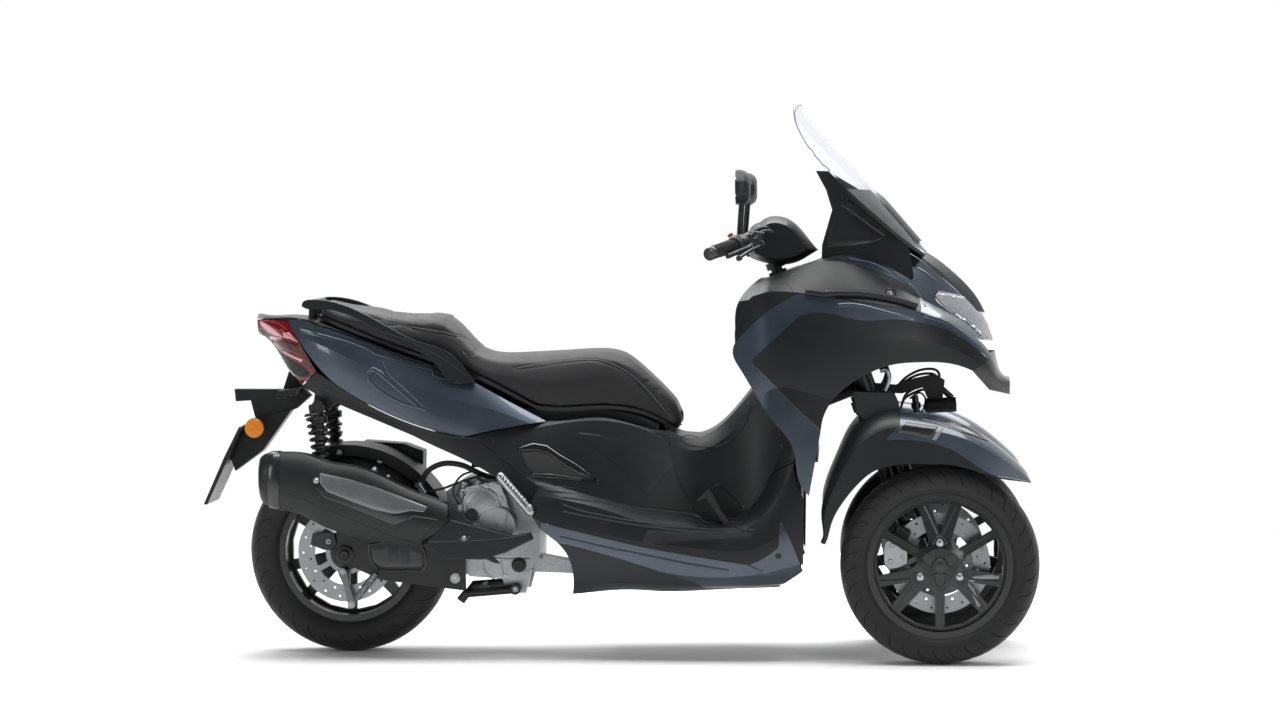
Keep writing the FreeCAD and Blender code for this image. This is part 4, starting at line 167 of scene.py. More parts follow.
@dataclass(frozen=True)
class Finish:
    """An opaque finish: two near colours, a grain, its gloss and its relief.

    Attributes:
        name: Material name, in a maker's words.
        slot: Material slot of the record that takes it.
        colour: Main colour, sRGB hex.
        shade: Second colour that the grain and the dust carry, sRGB hex.
        grain: How the surface was made.
        grain_mm: Size of one grain in millimetres.
        relief_mm: Height of the grain in millimetres.
        roughness: Lowest and highest roughness.
        metallic: Share of metal.
        coat: Weight of clear lacquer.
        coat_roughness: Roughness of that lacquer.
        dust_mm: Size of the broad clouding in millimetres.
        sheen: Weight of the soft edge light.
        gleam: Strength of the mirror part of a plastic, half for a smooth one.
    """

    name: str
    slot: str
    colour: str
    shade: str
    grain: Grain = Grain.TEXTURED
    grain_mm: float = 1.2
    relief_mm: float = 0.05
    roughness: tuple[float, float] = (0.4, 0.55)
    metallic: float = 0.0
    coat: float = 0.0
    coat_roughness: float = 0.08
    dust_mm: float = 180.0
    sheen: float = 0.0
    gleam: float = 0.5

    def pattern(self, tree: bpy.types.NodeTree, place) -> bpy.types.NodeSocket:
        """Draws the grain as a value from nought to one.

        Args:
            tree: Tree of the material.
            place: Socket with the place on the object, in metres.

        Returns:
            The socket with the grain.
        """
        per_metre = 1.0 / (self.grain_mm * MM)
        if self.grain in (Grain.FLAKE, Grain.LEATHER):
            cells = node(tree, "ShaderNodeTexVoronoi", {"Scale": per_metre}, {"Vector": place})
            return cells.outputs["Distance"]
        if self.grain is Grain.BRUSHED:
            stretched = node(tree, "ShaderNodeMapping", {"Scale": (1.0, 0.08, 1.0)}, {"Vector": place})
            place = stretched.outputs["Vector"]
        noise = node(tree, "ShaderNodeTexNoise", {"Scale": per_metre, "Detail": 3.0}, {"Vector": place})
        return noise.outputs["Fac"]

    def make(self) -> bpy.types.Material:
        """Builds the material.

        Returns:
            The material, with its grain, clouding, gloss and relief as nodes.
        """
        made, tree, place = blank_material(self.name)
        grain = self.pattern(tree, place)
        clouds = node(
            tree, "ShaderNodeTexNoise", {"Scale": 1.0 / (self.dust_mm * MM), "Detail": 4.0},
            {"Vector": place},
        )
        both = node(tree, "ShaderNodeMath", {"operation": "MULTIPLY"}, {0: grain, 1: clouds.outputs["Fac"]})
        ramp = node(tree, "ShaderNodeValToRGB", {}, {"Fac": both.outputs[0]})
        for stop, at, colour in zip(ramp.color_ramp.elements, (0.12, 0.42), (self.shade, self.colour)):
            stop.position, stop.color = at, linear(colour)
        ends = {"From Min": 0.3, "From Max": 0.7, "To Min": self.roughness[0], "To Max": self.roughness[1]}
        gloss = node(tree, "ShaderNodeMapRange", ends, {"Value": clouds.outputs["Fac"]})
        shader = node(
            tree,
            "ShaderNodeBsdfPrincipled",
            {
                "Metallic": self.metallic,
                "Coat Weight": self.coat,
                "Coat Roughness": self.coat_roughness,
                "Sheen Weight": self.sheen,
                "Specular IOR Level": self.gleam,
            },
            {"Base Color": ramp.outputs["Color"], "Roughness": gloss.outputs["Result"]},
        )
        if self.relief_mm > 0:
            bump = node(
                tree, "ShaderNodeBump", {"Strength": 1.0, "Distance": self.relief_mm * MM}, {"Height": grain}
            )
            tree.links.new(bump.outputs["Normal"], shader.inputs["Normal"])
        node(tree, "ShaderNodeOutputMaterial", {}, {"Surface": shader.outputs[0]})
        return made


@dataclass(frozen=True)
class ClearFinish:
    """A see-through finish: tinted polycarbonate or a lamp lens.

    Attributes:
        name: Material name.
        slot: Material slot of the record that takes it.
        tint: Colour of the light that passes, sRGB hex.
        roughness: Lowest and highest roughness.
        transmission: Share of light that passes.
        ior: Index of refraction.
        ribs_mm: Pitch of the optics moulded inside, nought for none.
        coat: Weight of the clear gloss that catches the lights.
    """

    name: str
    slot: str
    tint: str
    roughness: tuple[float, float] = (0.02, 0.06)
    transmission: float = 1.0
    ior: float = 1.58
    ribs_mm: float = 0.0
    coat: float = 0.0

    def make(self) -> bpy.types.Material:
        """Builds the material.

        Returns:
            The material, with faint haze and, for a lens, its moulded optics.
        """
        made, tree, place = blank_material(self.name)
        haze = node(tree, "ShaderNodeTexNoise", {"Scale": 14.0, "Detail": 3.0}, {"Vector": place})
        ends = {"From Min": 0.35, "From Max": 0.7, "To Min": self.roughness[0], "To Max": self.roughness[1]}
        gloss = node(tree, "ShaderNodeMapRange", ends, {"Value": haze.outputs["Fac"]})
        shader = node(
            tree,
            "ShaderNodeBsdfPrincipled",
            {
                "Base Color": linear(self.tint),
                "Transmission Weight": self.transmission,
                "IOR": self.ior,
                "Coat Weight": self.coat,
            },
            {"Roughness": gloss.outputs["Result"]},
        )
        if self.ribs_mm > 0:
            ribs = node(
                tree,
                "ShaderNodeTexWave",
                {"Scale": 1.0 / (self.ribs_mm * MM) / FULL_TURN, "bands_direction": "Z"},
                {"Vector": place},
            )
            bump = node(
                tree, "ShaderNodeBump", {"Strength": 0.6, "Distance": 0.0006},
                {"Height": ribs.outputs["Fac"]},
            )
            tree.links.new(bump.outputs["Normal"], shader.inputs["Normal"])
        node(tree, "ShaderNodeOutputMaterial", {}, {"Surface": shader.outputs[0]})
        return made


# Surfaces as arrays


@dataclass
class Patch:
    """A mesh held as arrays.

    Attributes:
        points: Corner places in metres, one row each.
        faces: Corner numbers of each face, in order round it; Bench.add turns them outward.
    """

    points: np.ndarray
    faces: list


def joined(patches: list[Patch]) -> Patch:
    """Puts several patches into one.

    Args:
        patches: The patches, left as they are.

    Returns:
        One patch with all their faces.
    """
    starts = np.cumsum([0] + [len(patch.points) for patch in patches])
    faces = [
        tuple(int(corner + start) for corner in face)
        for patch, start in zip(patches, starts)
        for face in patch.faces
    ]
    return Patch(np.vstack([patch.points for patch in patches]), faces)


def grid_patch(grid: np.ndarray, closed_u: bool = False, closed_v: bool = False, caps: bool = False) -> Patch:
    """Turns a grid of places into faces.

    Corner (i, j) joins to (i + 1, j), (i + 1, j + 1) and (i, j + 1); a closed direction
    wraps round to its first row, and caps close the two ends of a tube.

    Args:
        grid: Places as an array of rows, columns and three coordinates.
        closed_u: Whether the rows wrap round.
        closed_v: Whether the columns wrap round.
        caps: Whether the first and last row are filled.

    Returns:
        The patch.
    """
    rows, columns = grid.shape[:2]
    numbers = np.arange(rows * columns).reshape(rows, columns)
    wrapped = np.vstack([numbers, numbers[:1]]) if closed_u else numbers
    wrapped = np.hstack([wrapped, wrapped[:, :1]]) if closed_v else wrapped
    corners = [wrapped[:-1, :-1], wrapped[1:, :-1], wrapped[1:, 1:], wrapped[:-1, 1:]]
    quads = np.stack(corners, -1).reshape(-1, 4)
    faces = [tuple(quad) for quad in quads.tolist()]
    if caps:
        faces += [tuple(numbers[0].tolist()), tuple(numbers[-1][::-1].tolist())]
    return Patch(grid.reshape(-1, 3), faces)


def smooth_line(points: np.ndarray, count: int, closed: bool = False) -> np.ndarray:
    """Draws a smooth line through points.

    Between two points the place is a cubic whose end slopes are half the step from the
    point before to the point after (Catmull-Rom).

    Args:
        points: Places that the line passes.
        count: Number of places to return, evenly spread over the spans.
        closed: Whether the line returns to its start.

    Returns:
        The places on the line.
    """
    line = np.asarray(points, float)
    if closed:
        line = np.vstack([line[-1:], line, line[:2]])
    else:
        line = np.vstack([2 * line[0] - line[1], line, 2 * line[-1] - line[-2]])
    spans = len(line) - 3
    along = np.linspace(0, spans, count, endpoint=not closed)
    span = np.minimum(along.astype(int), spans - 1)
    t = (along - span)[:, None]
    a, b, c, d = (line[span + step] for step in range(4))
    return 0.5 * (2 * b + (c - a) * t + (2 * a - 5 * b + 4 * c - d) * t**2 + (3 * b - a - 3 * c + d) * t**3)


def ring_frames(path: np.ndarray) -> tuple[np.ndarray, np.ndarray]:
    """Works out two cross directions along a path.

    The tangent is the step from the place before to the one after; the first cross
    direction is the world's up or side made square to it.

    Args:
        path: Places in order.

    Returns:
        The two cross directions at every place.
    """
    tangent = np.gradient(path, axis=0)
    tangent /= np.linalg.norm(tangent, axis=1, keepdims=True) + 1e-12
    side = np.zeros_like(tangent)
    side[0] = np.cross(tangent[0], (0.0, 0.0, 1.0) if abs(tangent[0, 2]) < 0.9 else (0.0, 1.0, 0.0))
    side[0] /= np.linalg.norm(side[0])
    for at in range(1, len(path)):
        side[at] = side[at - 1] - tangent[at] * (side[at - 1] @ tangent[at])
        side[at] /= np.linalg.norm(side[at])
    return side, np.cross(tangent, side)


def hose(points: np.ndarray, radius: float, count: int = 48, around: int = 12) -> Patch:
    """Carries a circle along a smooth line.

    Place = line + radius * (cos a * side + sin a * up).

    Args:
        points: Places that the hose passes, in metres.
        radius: Radius in metres.
        count: Rings along it.
        around: Corners of a ring.

    Returns:
        A closed tube.
    """
    path = smooth_line(points, count)
    side, up = ring_frames(path)
    angle = np.linspace(0, FULL_TURN, around, endpoint=False)
    circle = np.cos(angle)[None, :, None] * side[:, None, :] + np.sin(angle)[None, :, None] * up[:, None, :]
    return grid_patch(path[:, None, :] + radius * circle, closed_v=True, caps=True)


def wound(
    middle: np.ndarray, start: np.ndarray, end: np.ndarray, radius_mm: float, turn: np.ndarray
) -> np.ndarray:
    """Winds places round a straight line.

    Place = middle + radius * (cos turn * side + sin turn * up), both square to the line.

    Args:
        middle: Places on the line, in metres.
        start: Start of the line.
        end: Its end.
        radius_mm: Radius of the coil.
        turn: Angle at each place.

    Returns:
        The places of the coil.
    """
    side, up = ring_frames(start + (end - start) * np.linspace(0, 1, 3)[:, None])
    return middle + radius_mm * MM * (np.cos(turn)[:, None] * side[0] + np.sin(turn)[:, None] * up[0])


def turned(profile: tuple, centre: Vector, axis: Vector | tuple, around: int = 32, unit: float = MM) -> Patch:
    """Turns a profile about an axis.

    Place = centre + along * axis + reach * (cos a * side + sin a * up).

    Args:
        profile: Pairs of reach from the axis and distance along it.
        centre: Start of the axis.
        axis: Direction of the axis.
        around: Corners of a ring.
        unit: Metres of one unit of the profile.

    Returns:
        The turned form, closed at its two ends.
    """
    shape = np.array(profile, float) * unit
    along = np.array(Vector(axis).normalized())
    side = np.cross(along, (0.0, 0.0, 1.0) if abs(along[2]) < 0.9 else (0.0, 1.0, 0.0))
    side /= np.linalg.norm(side)
    up = np.cross(along, side)
    angle = np.linspace(0, FULL_TURN, around, endpoint=False)
    circle = np.cos(angle)[:, None] * side + np.sin(angle)[:, None] * up
    grid = np.array(centre) + shape[:, 1, None, None] * along + shape[:, 0, None, None] * circle[None]
    return grid_patch(grid, closed_v=True, caps=True)


def slab(outline: tuple, start: float, end: float, edge: float, side: int = LEFT) -> Patch:
    """Raises a side-view outline across the vehicle, with softened rims.

    The outline is drawn four times across: drawn in by the edge at both faces and at full
    size a little inside them.

    Args:
        outline: Pairs of x and z in millimetres.
        start: Millimetres to one face, counted towards the side.
        end: Millimetres to the other face.
        edge: Width of the softened rim in millimetres.
        side: Side that the distances are counted to.

    Returns:
        The slab.
    """
    flat = np.array([((x - AXLE_MM) * MM, z * MM) for x, z in outline])
    middle = flat.mean(0)
    rim = edge * MM
    drawn = flat + (middle - flat) / np.linalg.norm(flat - middle, axis=1, keepdims=True) * rim
    near, far = sorted((side * start * MM, side * end * MM))
    rings = [(drawn, near), (flat, near + rim), (flat, far - rim), (drawn, far)]
    grid = np.stack([np.column_stack([ring[:, 0], np.full(len(ring), y), ring[:, 1]]) for ring, y in rings])
    return grid_patch(grid, closed_v=True, caps=True)


def place(x_mm: float, y_mm: float, z_mm: float) -> Vector:
    """Turns a place measured from the rear axle to metres in the scooter's frame.

    Args:
        x_mm: Millimetres ahead of the rear axle.
        y_mm: Millimetres to the left.
        z_mm: Millimetres above the floor.
    """
    return Vector(((x_mm - AXLE_MM) * MM, y_mm * MM, z_mm * MM))


def places(rows: list) -> np.ndarray:
    """Turns rows of x, y and z in millimetres to metres in the scooter's frame.

    Args:
        rows: Triples, x counted from the rear axle.
    """
    return np.array([place(*row) for row in rows])


def piped(rows: list, radius_mm: float, count: int, around: int, side: int = LEFT) -> Patch:
    """Leads a hose past places in millimetres.

    Args:
        rows: Triples, y counted towards the side.
        radius_mm: Radius of the hose.
        count: Rings along it.
        around: Corners of a ring.
        side: Side that it runs on.

    Returns:
        A closed tube.
    """
    return hose(places([(x, side * y, z) for x, y, z in rows]), radius_mm * MM, count, around)


def swung(pair: tuple, middle: tuple, degrees: float) -> tuple[float, float]:
    """Turns a side-view pair about the origin and sets it at a middle.

    Args:
        pair: Reach along and across, in millimetres.
        middle: Side-view place that it is seen from.
        degrees: Turn from ahead towards up.

    Returns:
        Its x and z.
    """
    cos, sin = math.cos(math.radians(degrees)), math.sin(math.radians(degrees))
    return middle[0] + pair[0] * cos - pair[1] * sin, middle[1] + pair[0] * sin + pair[1] * cos


def outward(side: int) -> Vector:
    """Returns the way straight out of a side."""
    return Vector((0.0, side, 0.0))


def looked_up(mesh: bpy.types.Mesh, name: str) -> np.ndarray:
    """Returns places ("co") or ways ("normal") of a mesh's corners, one row each."""
    rows = np.empty(len(mesh.vertices) * 3)
    mesh.vertices.foreach_get(name, rows)
    return rows.reshape(-1, 3)


def spread(line: list, count: int) -> np.ndarray:
    """Spreads places evenly along a broken line.

    Args:
        line: Places on the line, in order.
        count: Number of places to return.

    Returns:
        The places, both ends included.
    """
    points = np.asarray(line, float)
    gone = np.concatenate([[0.0], np.cumsum(np.linalg.norm(np.diff(points, axis=0), axis=1))])
    along = np.linspace(0.0, gone[-1], count)
    return np.column_stack([np.interp(along, gone, column) for column in points.T])


@dataclass
class Skin:
    """Finds places on chosen solids by looking across the vehicle.

    Attributes:
        solids: The solids that carry the pieces.
        side: Side that it looks from.
    """

    solids: list[bpy.types.Object]
    side: int = RIGHT

    def at(self, x_mm: float, z_mm: float) -> tuple[Vector, Vector]:
        """Returns the outermost place at a side-view spot and the outward way there.

        Args:
            x_mm: Millimetres ahead of the rear axle.
            z_mm: Millimetres above the floor.
        """
        start = place(x_mm, 900.0 * self.side, z_mm)
        best = None
        for solid in self.solids:
            found, spot, way, _ = solid.ray_cast(start, Vector((0.0, -self.side, 0.0)))
            if found and (best is None or spot.y * self.side > best[0].y * self.side):
                best = (spot, way)
        if best is None:
            near = place(x_mm, 180.0 * self.side, z_mm)
            found = [solid.closest_point_on_mesh(near)[1:3] for solid in self.solids]
            best = min(found, key=lambda pair: (pair[0] - near).length)
        return best

    def over(self, flat: np.ndarray) -> tuple[np.ndarray, np.ndarray]:
        """Looks up a whole array of side-view spots.

        Args:
            flat: Spots, with x and z last.

        Returns:
            Places and outward ways, as arrays of the same shape with three numbers last.
        """
        pairs = np.array([self.at(*spot) for spot in flat.reshape(-1, 2)])
        shape = (*flat.shape[:-1], 3)
        return pairs[:, 0].reshape(shape), pairs[:, 1].reshape(shape)

    def beads(
        self, lines: tuple, radius: float, lift: float, count: int = 60, around: int = 6
    ) -> list[Patch]:
        """Returns fine rounded lines on the skin, each as bead() lays it."""
        return [bead(self, line, radius, lift, count, around) for line in lines]

    def screws(self, rows: tuple, head: "Head", straight: bool = True) -> list[Patch]:
        """Sets screws with washers.

        Args:
            rows: Side-view places and radii of their heads, in millimetres.
            head: Kind of head.
            straight: Whether they point straight out of the side, or else along the skin's way.

        Returns:
            Heads and washers.
        """
        made = []
        for x_mm, z_mm, radius in rows:
            spot, way = self.at(x_mm, z_mm)
            made += screw(spot, outward(self.side) if straight else way, radius, head, True)
        return made


def draped(
    skin: Skin, first: tuple, second: tuple, lift: float, sink: float = 1.0, rows: int = 8, columns: int = 40
) -> Patch:
    """Lays a thin pad on the skin between two side-view lines.

    Side-view spot (s, t) = first(s) * (1 - t) + second(s) * t; the top stands off the skin by
    the lift, drawn down at its rim, and the underside lies in it by the sink.

    Args:
        skin: Where it lies.
        first: Line along one side, in millimetres.
        second: Line along the other side.
        lift: Millimetres that it stands proud.
        sink: Millimetres that its underside lies below the skin.
        rows: Places from line to line.
        columns: Places along a line.

    Returns:
        The closed pad.
    """
    share = np.linspace(0.0, 1.0, rows)[None, :, None]
    flat = spread(first, columns)[:, None] * (1.0 - share) + spread(second, columns)[:, None] * share
    spots, ways = skin.over(flat)
    height = np.full((columns, rows, 1), lift)
    height[[0, -1]] = height[:, [0, -1]] = lift - 0.4 * (lift + sink)
    top, under = spots + ways * height * MM, spots - ways * sink * MM
    return grid_patch(np.concatenate([top, under[:, ::-1]], 1), closed_v=True, caps=True)


def bead(skin: Skin, line: tuple, radius: float, lift: float, count: int = 60, around: int = 6) -> Patch:
    """Lays a fine rounded line on the skin, such as a seam, a rib or a crease.

    Args:
        skin: Where it lies.
        line: Side-view places in millimetres.
        radius: Its radius in millimetres.
        lift: Millimetres from the skin to its middle.
        count: Places along it.
        around: Corners of its section.

    Returns:
        The closed line.
    """
    spots, ways = skin.over(smooth_line(line, count))
    return hose(spots + ways * lift * MM, radius * MM, count, around)


class Head(Enum):
    """Kinds of screw head, each with its profile as reach and height per radius."""

    SOCKET = ((1.0, -0.6), (1.0, 0.55), (0.88, 0.7), (0.5, 0.7), (0.42, 0.1), (0.02, 0.05))
    HEX = ((1.0, -0.6), (1.0, 0.5), (0.86, 0.66), (0.3, 0.66), (0.02, 0.6))
    DOME = ((1.0, -0.6), (1.0, 0.25), (0.9, 0.55), (0.62, 0.78), (0.3, 0.86), (0.02, 0.88))
    RIVET = ((1.0, -0.4), (1.0, 0.12), (0.75, 0.3), (0.6, 0.3), (0.5, 0.12), (0.02, 0.1))


def screw(
    spot: Vector, way: Vector, radius: float, head: Head = Head.SOCKET, washer: bool = False
) -> list[Patch]:
    """Sets a screw head on a surface.

    Args:
        spot: Place on the surface, in metres.
        way: Outward direction there.
        radius: Radius of the head in millimetres.
        head: Kind of head.
        washer: Whether a washer lies under it.

    Returns:
        Head and washer.
    """
    size = radius * MM
    around = 6 if head is Head.HEX else 20
    made = [turned(head.value, spot, way, around, size)]
    if washer:
        rim = ((1.35, -0.6), (1.35, 0.12), (1.28, 0.2), (0.3, 0.2))
        made.append(turned(rim, spot, way, 20, size))
    return made


@dataclass
class Bench:
    """What every sub-assembly is built with.

    Attributes:
        shop: The finishes.
    """

    frame: dict
    shop: "Shop"

    def solid(self, name: str) -> bpy.types.Object:
        """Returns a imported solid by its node's name."""
        return self.frame["nodes"][name]

    def skin(self, *nodes: str, side: int = RIGHT) -> Skin:
        """Returns the skin of named solids, seen from a side."""
        return Skin([self.solid(name) for name in nodes], side)

    def show(
        self, name: str, mesh: bpy.types.Mesh, finish: "Finish | ClearFinish", body: str, crease: float
    ) -> bpy.types.Object:
        """Links a mesh as a piece that rides on a body.

        Args:
            name: Name of the piece.
            mesh: Its mesh, with its place in it.
            finish: Its finish.
            body: CAD body that it moves with.
            crease: Angle in degrees past which an edge stays sharp.

        Returns:
            The object, at the origin.
        """
        mesh.shade_smooth()
        mesh.set_sharp_from_angle(angle=math.radians(crease))
        mesh.materials.clear()
        mesh.materials.append(self.shop.get(finish))
        piece = bpy.data.objects.new(name, mesh)
        bpy.context.scene.collection.objects.link(piece)
        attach(piece, body)
        return piece

    def add(
        self,
        name: str,
        patches: Patch | list[Patch],
        finish: "Finish | ClearFinish",
        body: str = "chassis",
        crease: float = 35.0,
    ) -> bpy.types.Object:
        """Makes a piece from one patch or several, with its faces outward; the rest is as in show()."""
        whole = joined(patches) if isinstance(patches, list) else patches
        mesh = bpy.data.meshes.new(name)
        mesh.from_pydata(whole.points.tolist(), [], whole.faces)
        shell = bmesh.new()
        shell.from_mesh(mesh)
        bmesh.ops.recalc_face_normals(shell, faces=shell.faces)
        shell.to_mesh(mesh)
        shell.free()
        return self.show(name, mesh, finish, body, crease)


@dataclass
class Part:
    """A sub-assembly; its sizes are fields, in millimetres where no other unit is named.

    Attributes:
        bench: Frame and finishes.
    """

    bench: Bench


# Finishes


class Shop:
    """Every finish of the scooter, each made once and handed out by its short name."""

    # Lacquered steel-blue ABS: a deep slate blue with fine flakes that lights up where it faces the sky.
    PAINT = Finish(
        "metallic_lacquer_on_abs", "body_paint", "#424c59", "#323a45", Grain.FLAKE, 0.9, 0.0, (0.26, 0.36),
        0.5, 0.6, 0.06
    )
    # Moulded ABS with a fine spark texture: near black, a soft broad sheen.
    BLACK = Finish(
        "spark_textured_black_abs", "dark_trim", "#1e1f21", "#17181a", Grain.TEXTURED, 0.8, 0.05,
        (0.34, 0.46), gleam=0.3
    )
    # Moulded polypropylene, unpainted: dark grey, duller and coarser.
    GREY = Finish(
        "textured_grey_polypropylene", "grey_trim", "#2b2c2e", "#222325", Grain.TEXTURED, 1.1, 0.08,
        (0.42, 0.55), gleam=0.3,
    )
    # Satin lacquer over black ABS, smoother than the textured mouldings.
    SATIN = Finish(
        "satin_black_lacquer", "dark_trim", "#1f2022", "#191a1c", Grain.SMOOTH, 2.5, 0.0, (0.22, 0.3), 0.0,
        0.3, 0.2
    )
    # Piano-black ABS of the vent frames: a hard mirror edge.
    GLOSS = Finish(
        "piano_black_abs", "dark_trim", "#111214", "#0d0e0f", Grain.SMOOTH, 4.0, 0.0, (0.08, 0.14), 0.0, 1.0,
        0.04,
    )
    # Powder coat on steel tube: black with a slight orange peel.
    STEEL = Finish(
        "black_powder_coated_steel", "black_steel", "#18191a", "#121213", Grain.CAST, 3.0, 0.12, (0.35, 0.5),
        0.1,
    )
    # Die-cast aluminium, bare: light grey with a grainy skin.
    ALLOY = Finish(
        "die_cast_aluminium", "engine_alloy", "#c4c7ca", "#75787c", Grain.CAST, 2.2, 0.2, (0.28, 0.44), 0.85
    )
    # Painted casting, dark grey.
    CASE = Finish(
        "grey_painted_casting", "engine_alloy", "#3a3c40", "#2c2e31", Grain.CAST, 2.0, 0.15, (0.42, 0.55),
        0.4,
    )
    # Anodised and machined aluminium: bright silver with turning lines.
    SILVER = Finish(
        "brushed_aluminium", "silver_alloy", "#b9bcc0", "#94979b", Grain.BRUSHED, 1.6, 0.04, (0.24, 0.36),
        1.0,
    )
    # Zinc-plated steel of screws and springs: bright, slightly clouded.
    ZINC = Finish(
        "zinc_plated_steel", "silver_alloy", "#c2c4c7", "#94979b", Grain.CAST, 1.2, 0.03, (0.25, 0.4), 1.0
    )
    # Satin-painted sheet over the silencer: mid grey metal.
    SHEET = Finish(
        "satin_grey_heat_shield", "silver_alloy", "#85888c", "#5f6265", Grain.BRUSHED, 1.8, 0.02, (0.3, 0.4),
        0.5,
    )
    # Gloss black wheel enamel on cast alloy.
    WHEEL = Finish(
        "black_wheel_enamel", "wheel_paint", "#1a1b1d", "#141516", Grain.SMOOTH, 3.0, 0.0, (0.28, 0.38), 0.2,
        0.3, 0.16
    )
    # Pale decal film on a spoke and on the mudguard: a matt warm grey.
    DECAL = Finish(
        "matt_grey_decal_film", "silver_alloy", "#85868a", "#7b7c80", Grain.SMOOTH, 1.0, 0.0, (0.4, 0.5), 0.2
    )
    # Ground stainless brake disc, with the fine swirl that pads leave.
    DISC = Finish(
        "ground_stainless_steel", "disc_steel", "#a9abae", "#85878a", Grain.BRUSHED, 1.4, 0.03, (0.28, 0.4),
        1.0,
    )
    # Heat-proof matt black on steel.
    HEAT = Finish(
        "heat_proof_black_steel", "silencer", "#1c1d1f", "#151617", Grain.CAST, 1.6, 0.08, (0.36, 0.5), 0.3
    )
    # Vulcanised rubber, dull with a brown-grey bloom.
    TYRE = Finish(
        "vulcanised_tyre_rubber", "tyre", "#202021", "#1a1a1b", Grain.TEXTURED, 1.6, 0.1, (0.52, 0.66),
        sheen=0.08, gleam=0.3
    )
    # Hoses, grips and boots: soft black rubber.
    GRIP = Finish(
        "soft_grip_rubber", "grip_rubber", "#1b1b1c", "#151516", Grain.TEXTURED, 0.9, 0.08, (0.5, 0.65),
        sheen=0.1,
    )
    # Embossed vinyl over foam: pebbled, dull, with a faint sheen at grazing sight.
    VINYL = Finish(
        "embossed_seat_vinyl", "seat_cover", "#212123", "#19191b", Grain.LEATHER, 2.4, 0.16, (0.46, 0.58),
        sheen=0.08, gleam=0.3,
    )
    # Polyester thread and the piping under it: a shade lighter than the vinyl.
    THREAD = Finish(
        "polyester_seam_piping", "seat_cover", "#4a4a4c", "#39393b", Grain.BRUSHED, 0.8, 0.05, (0.5, 0.6)
    )
    # Moulded acetal of the stop switch and the tail lamp's ribs: a plain warm red.
    RED = Finish("red_switch_acetal", "red_lens", "#b3241f", "#931d1a", Grain.SMOOTH, 2.0, 0.0, (0.35, 0.45))
    # Vacuum-metallised bowl behind a clear lens: mirror bright.
    BOWL = Finish(
        "metallised_reflector_bowl", "lamp_lens", "#dfe2e6", "#c4c8cd", Grain.SMOOTH, 4.0, 0.0, (0.08, 0.16),
        1.0,
    )
    # Opal light guide, unlit: milky white with a gloss; in the headlamps the same white also stands for
    # painted reflections of the chrome bowls.
    GUIDE_AND_PAINTED_BOWL_REFLECTION = Finish(
        "opal_light_guide", "lamp_lens", "#f1f2f4", "#e2e3e6", Grain.SMOOTH, 3.0, 0.0, (0.15, 0.25), 0.0,
        0.5, 0.05,
    )
    # Moulded red-black floor of the tail lamp.
    RUBY_CORE = Finish(
        "dark_ruby_lamp_floor", "red_lens", "#5a0d14", "#33080c", Grain.SMOOTH, 6.0, 0.0, (0.15, 0.3), 0.0,
        0.4, 0.1
    )
    # Second-surface mirror glass.
    MIRROR = Finish(
        "silvered_mirror_glass", "silver_alloy", "#cfd4d8", "#c4c9ce", Grain.SMOOTH, 6.0, 0.0, (0.02, 0.05),
        1.0,
    )
    # Pale rose, a light guide seen through the red lens.
    ROSE = Finish(
        "rose_opal_light_guide", "red_lens", "#e6b4b8", "#cf8d93", Grain.SMOOTH, 3.0, 0.0, (0.15, 0.25), 0.0,
        0.5, 0.05
    )
    # Mid grey and glossy, the moulded frame behind the clear lens.
    LAMP_GREY = Finish(
        "bright_grey_lamp_housing", "lamp_lens", "#9a9da2", "#6e7176", Grain.SMOOTH, 5.0, 0.0, (0.2, 0.3),
        0.2, 0.6, 0.08
    )
    # Amber acrylic with moulded optics: a saturated orange that glows a little.
    AMBER = ClearFinish("amber_reflector_acrylic", "amber_lens", "#f08a08", (0.1, 0.2), 0.2, 1.49, 2.2, 0.6)
    # Ruby acrylic over the tail lamp: deep red, half see-through, with a hard gloss.
    RUBY = ClearFinish("ruby_lamp_lens", "red_lens", "#6a0c16", (0.04, 0.08), 0.3, 1.3, 5.0, 0.8)
    # Clear polycarbonate over the headlamps: seen mainly by its highlights.
    LENS = ClearFinish("clear_lamp_lens", "lamp_lens", "#f2f5f8", (0.02, 0.05), 1.0, 1.06, 0.0, 0.8)
    # Hard-coated screen: almost unseen on a white ground, with a faint cold edge.
    SCREEN = ClearFinish(
        "clear_polycarbonate_screen", "clear_screen", "#f8f9fc", (0.0, 0.02), 1.0, 1.03, 0.0, 0.12
    )

    def __init__(self) -> None:
        """Starts with no material made."""
        self.made: dict[str, bpy.types.Material] = {}

    def get(self, finish: Finish | ClearFinish) -> bpy.types.Material:
        """Returns the material of a finish, made at its first use."""
        if finish.name not in self.made:
            self.made[finish.name] = finish.make()
        return self.made[finish.name]


# Solids that each finish goes on, by the names of their nodes; a star stands for right and left.
NODE_FINISHES: dict[Finish | ClearFinish, str] = {
    Shop.PAINT: "nose_cowl side_trims sill_panels tail_panels mudguard_*",
    Shop.SATIN: "nose_tip",
    Shop.BLACK: "nose_trim recess_panels dash_top side_cowls side_covers tunnel_cover floor_boards "
    "tail_trims tail_deck leg_shield splash_guard seat_base seat_tub rear_hugger exhaust_cover "
    "screen_support instrument grab_rail plate_holder rear_indicators bar_cover mirrors mudguard_flank_*",
    Shop.GREY: "belly_pan",
    Shop.LENS: "headlamps",
    Shop.RUBY: "tail_lamp",
    Shop.SCREEN: "windscreen",
    Shop.VINYL: "seat",
    Shop.STEEL: "tilt_linkage frame swing_arm rear_caliper rear_shocks brake_pedal handlebar "
    "centre_stand knuckle_*",
    Shop.ALLOY: "engine",
    Shop.CASE: "drive_case",
    Shop.HEAT: "exhaust",
    Shop.SILVER: "passenger_pegs",
    Shop.GRIP: "grips",
    Shop.TYRE: "rear_tyre front_tyre_*",
    Shop.WHEEL: "rear_rim front_rim_*",
    Shop.DISC: "rear_disc front_disc_*",
}


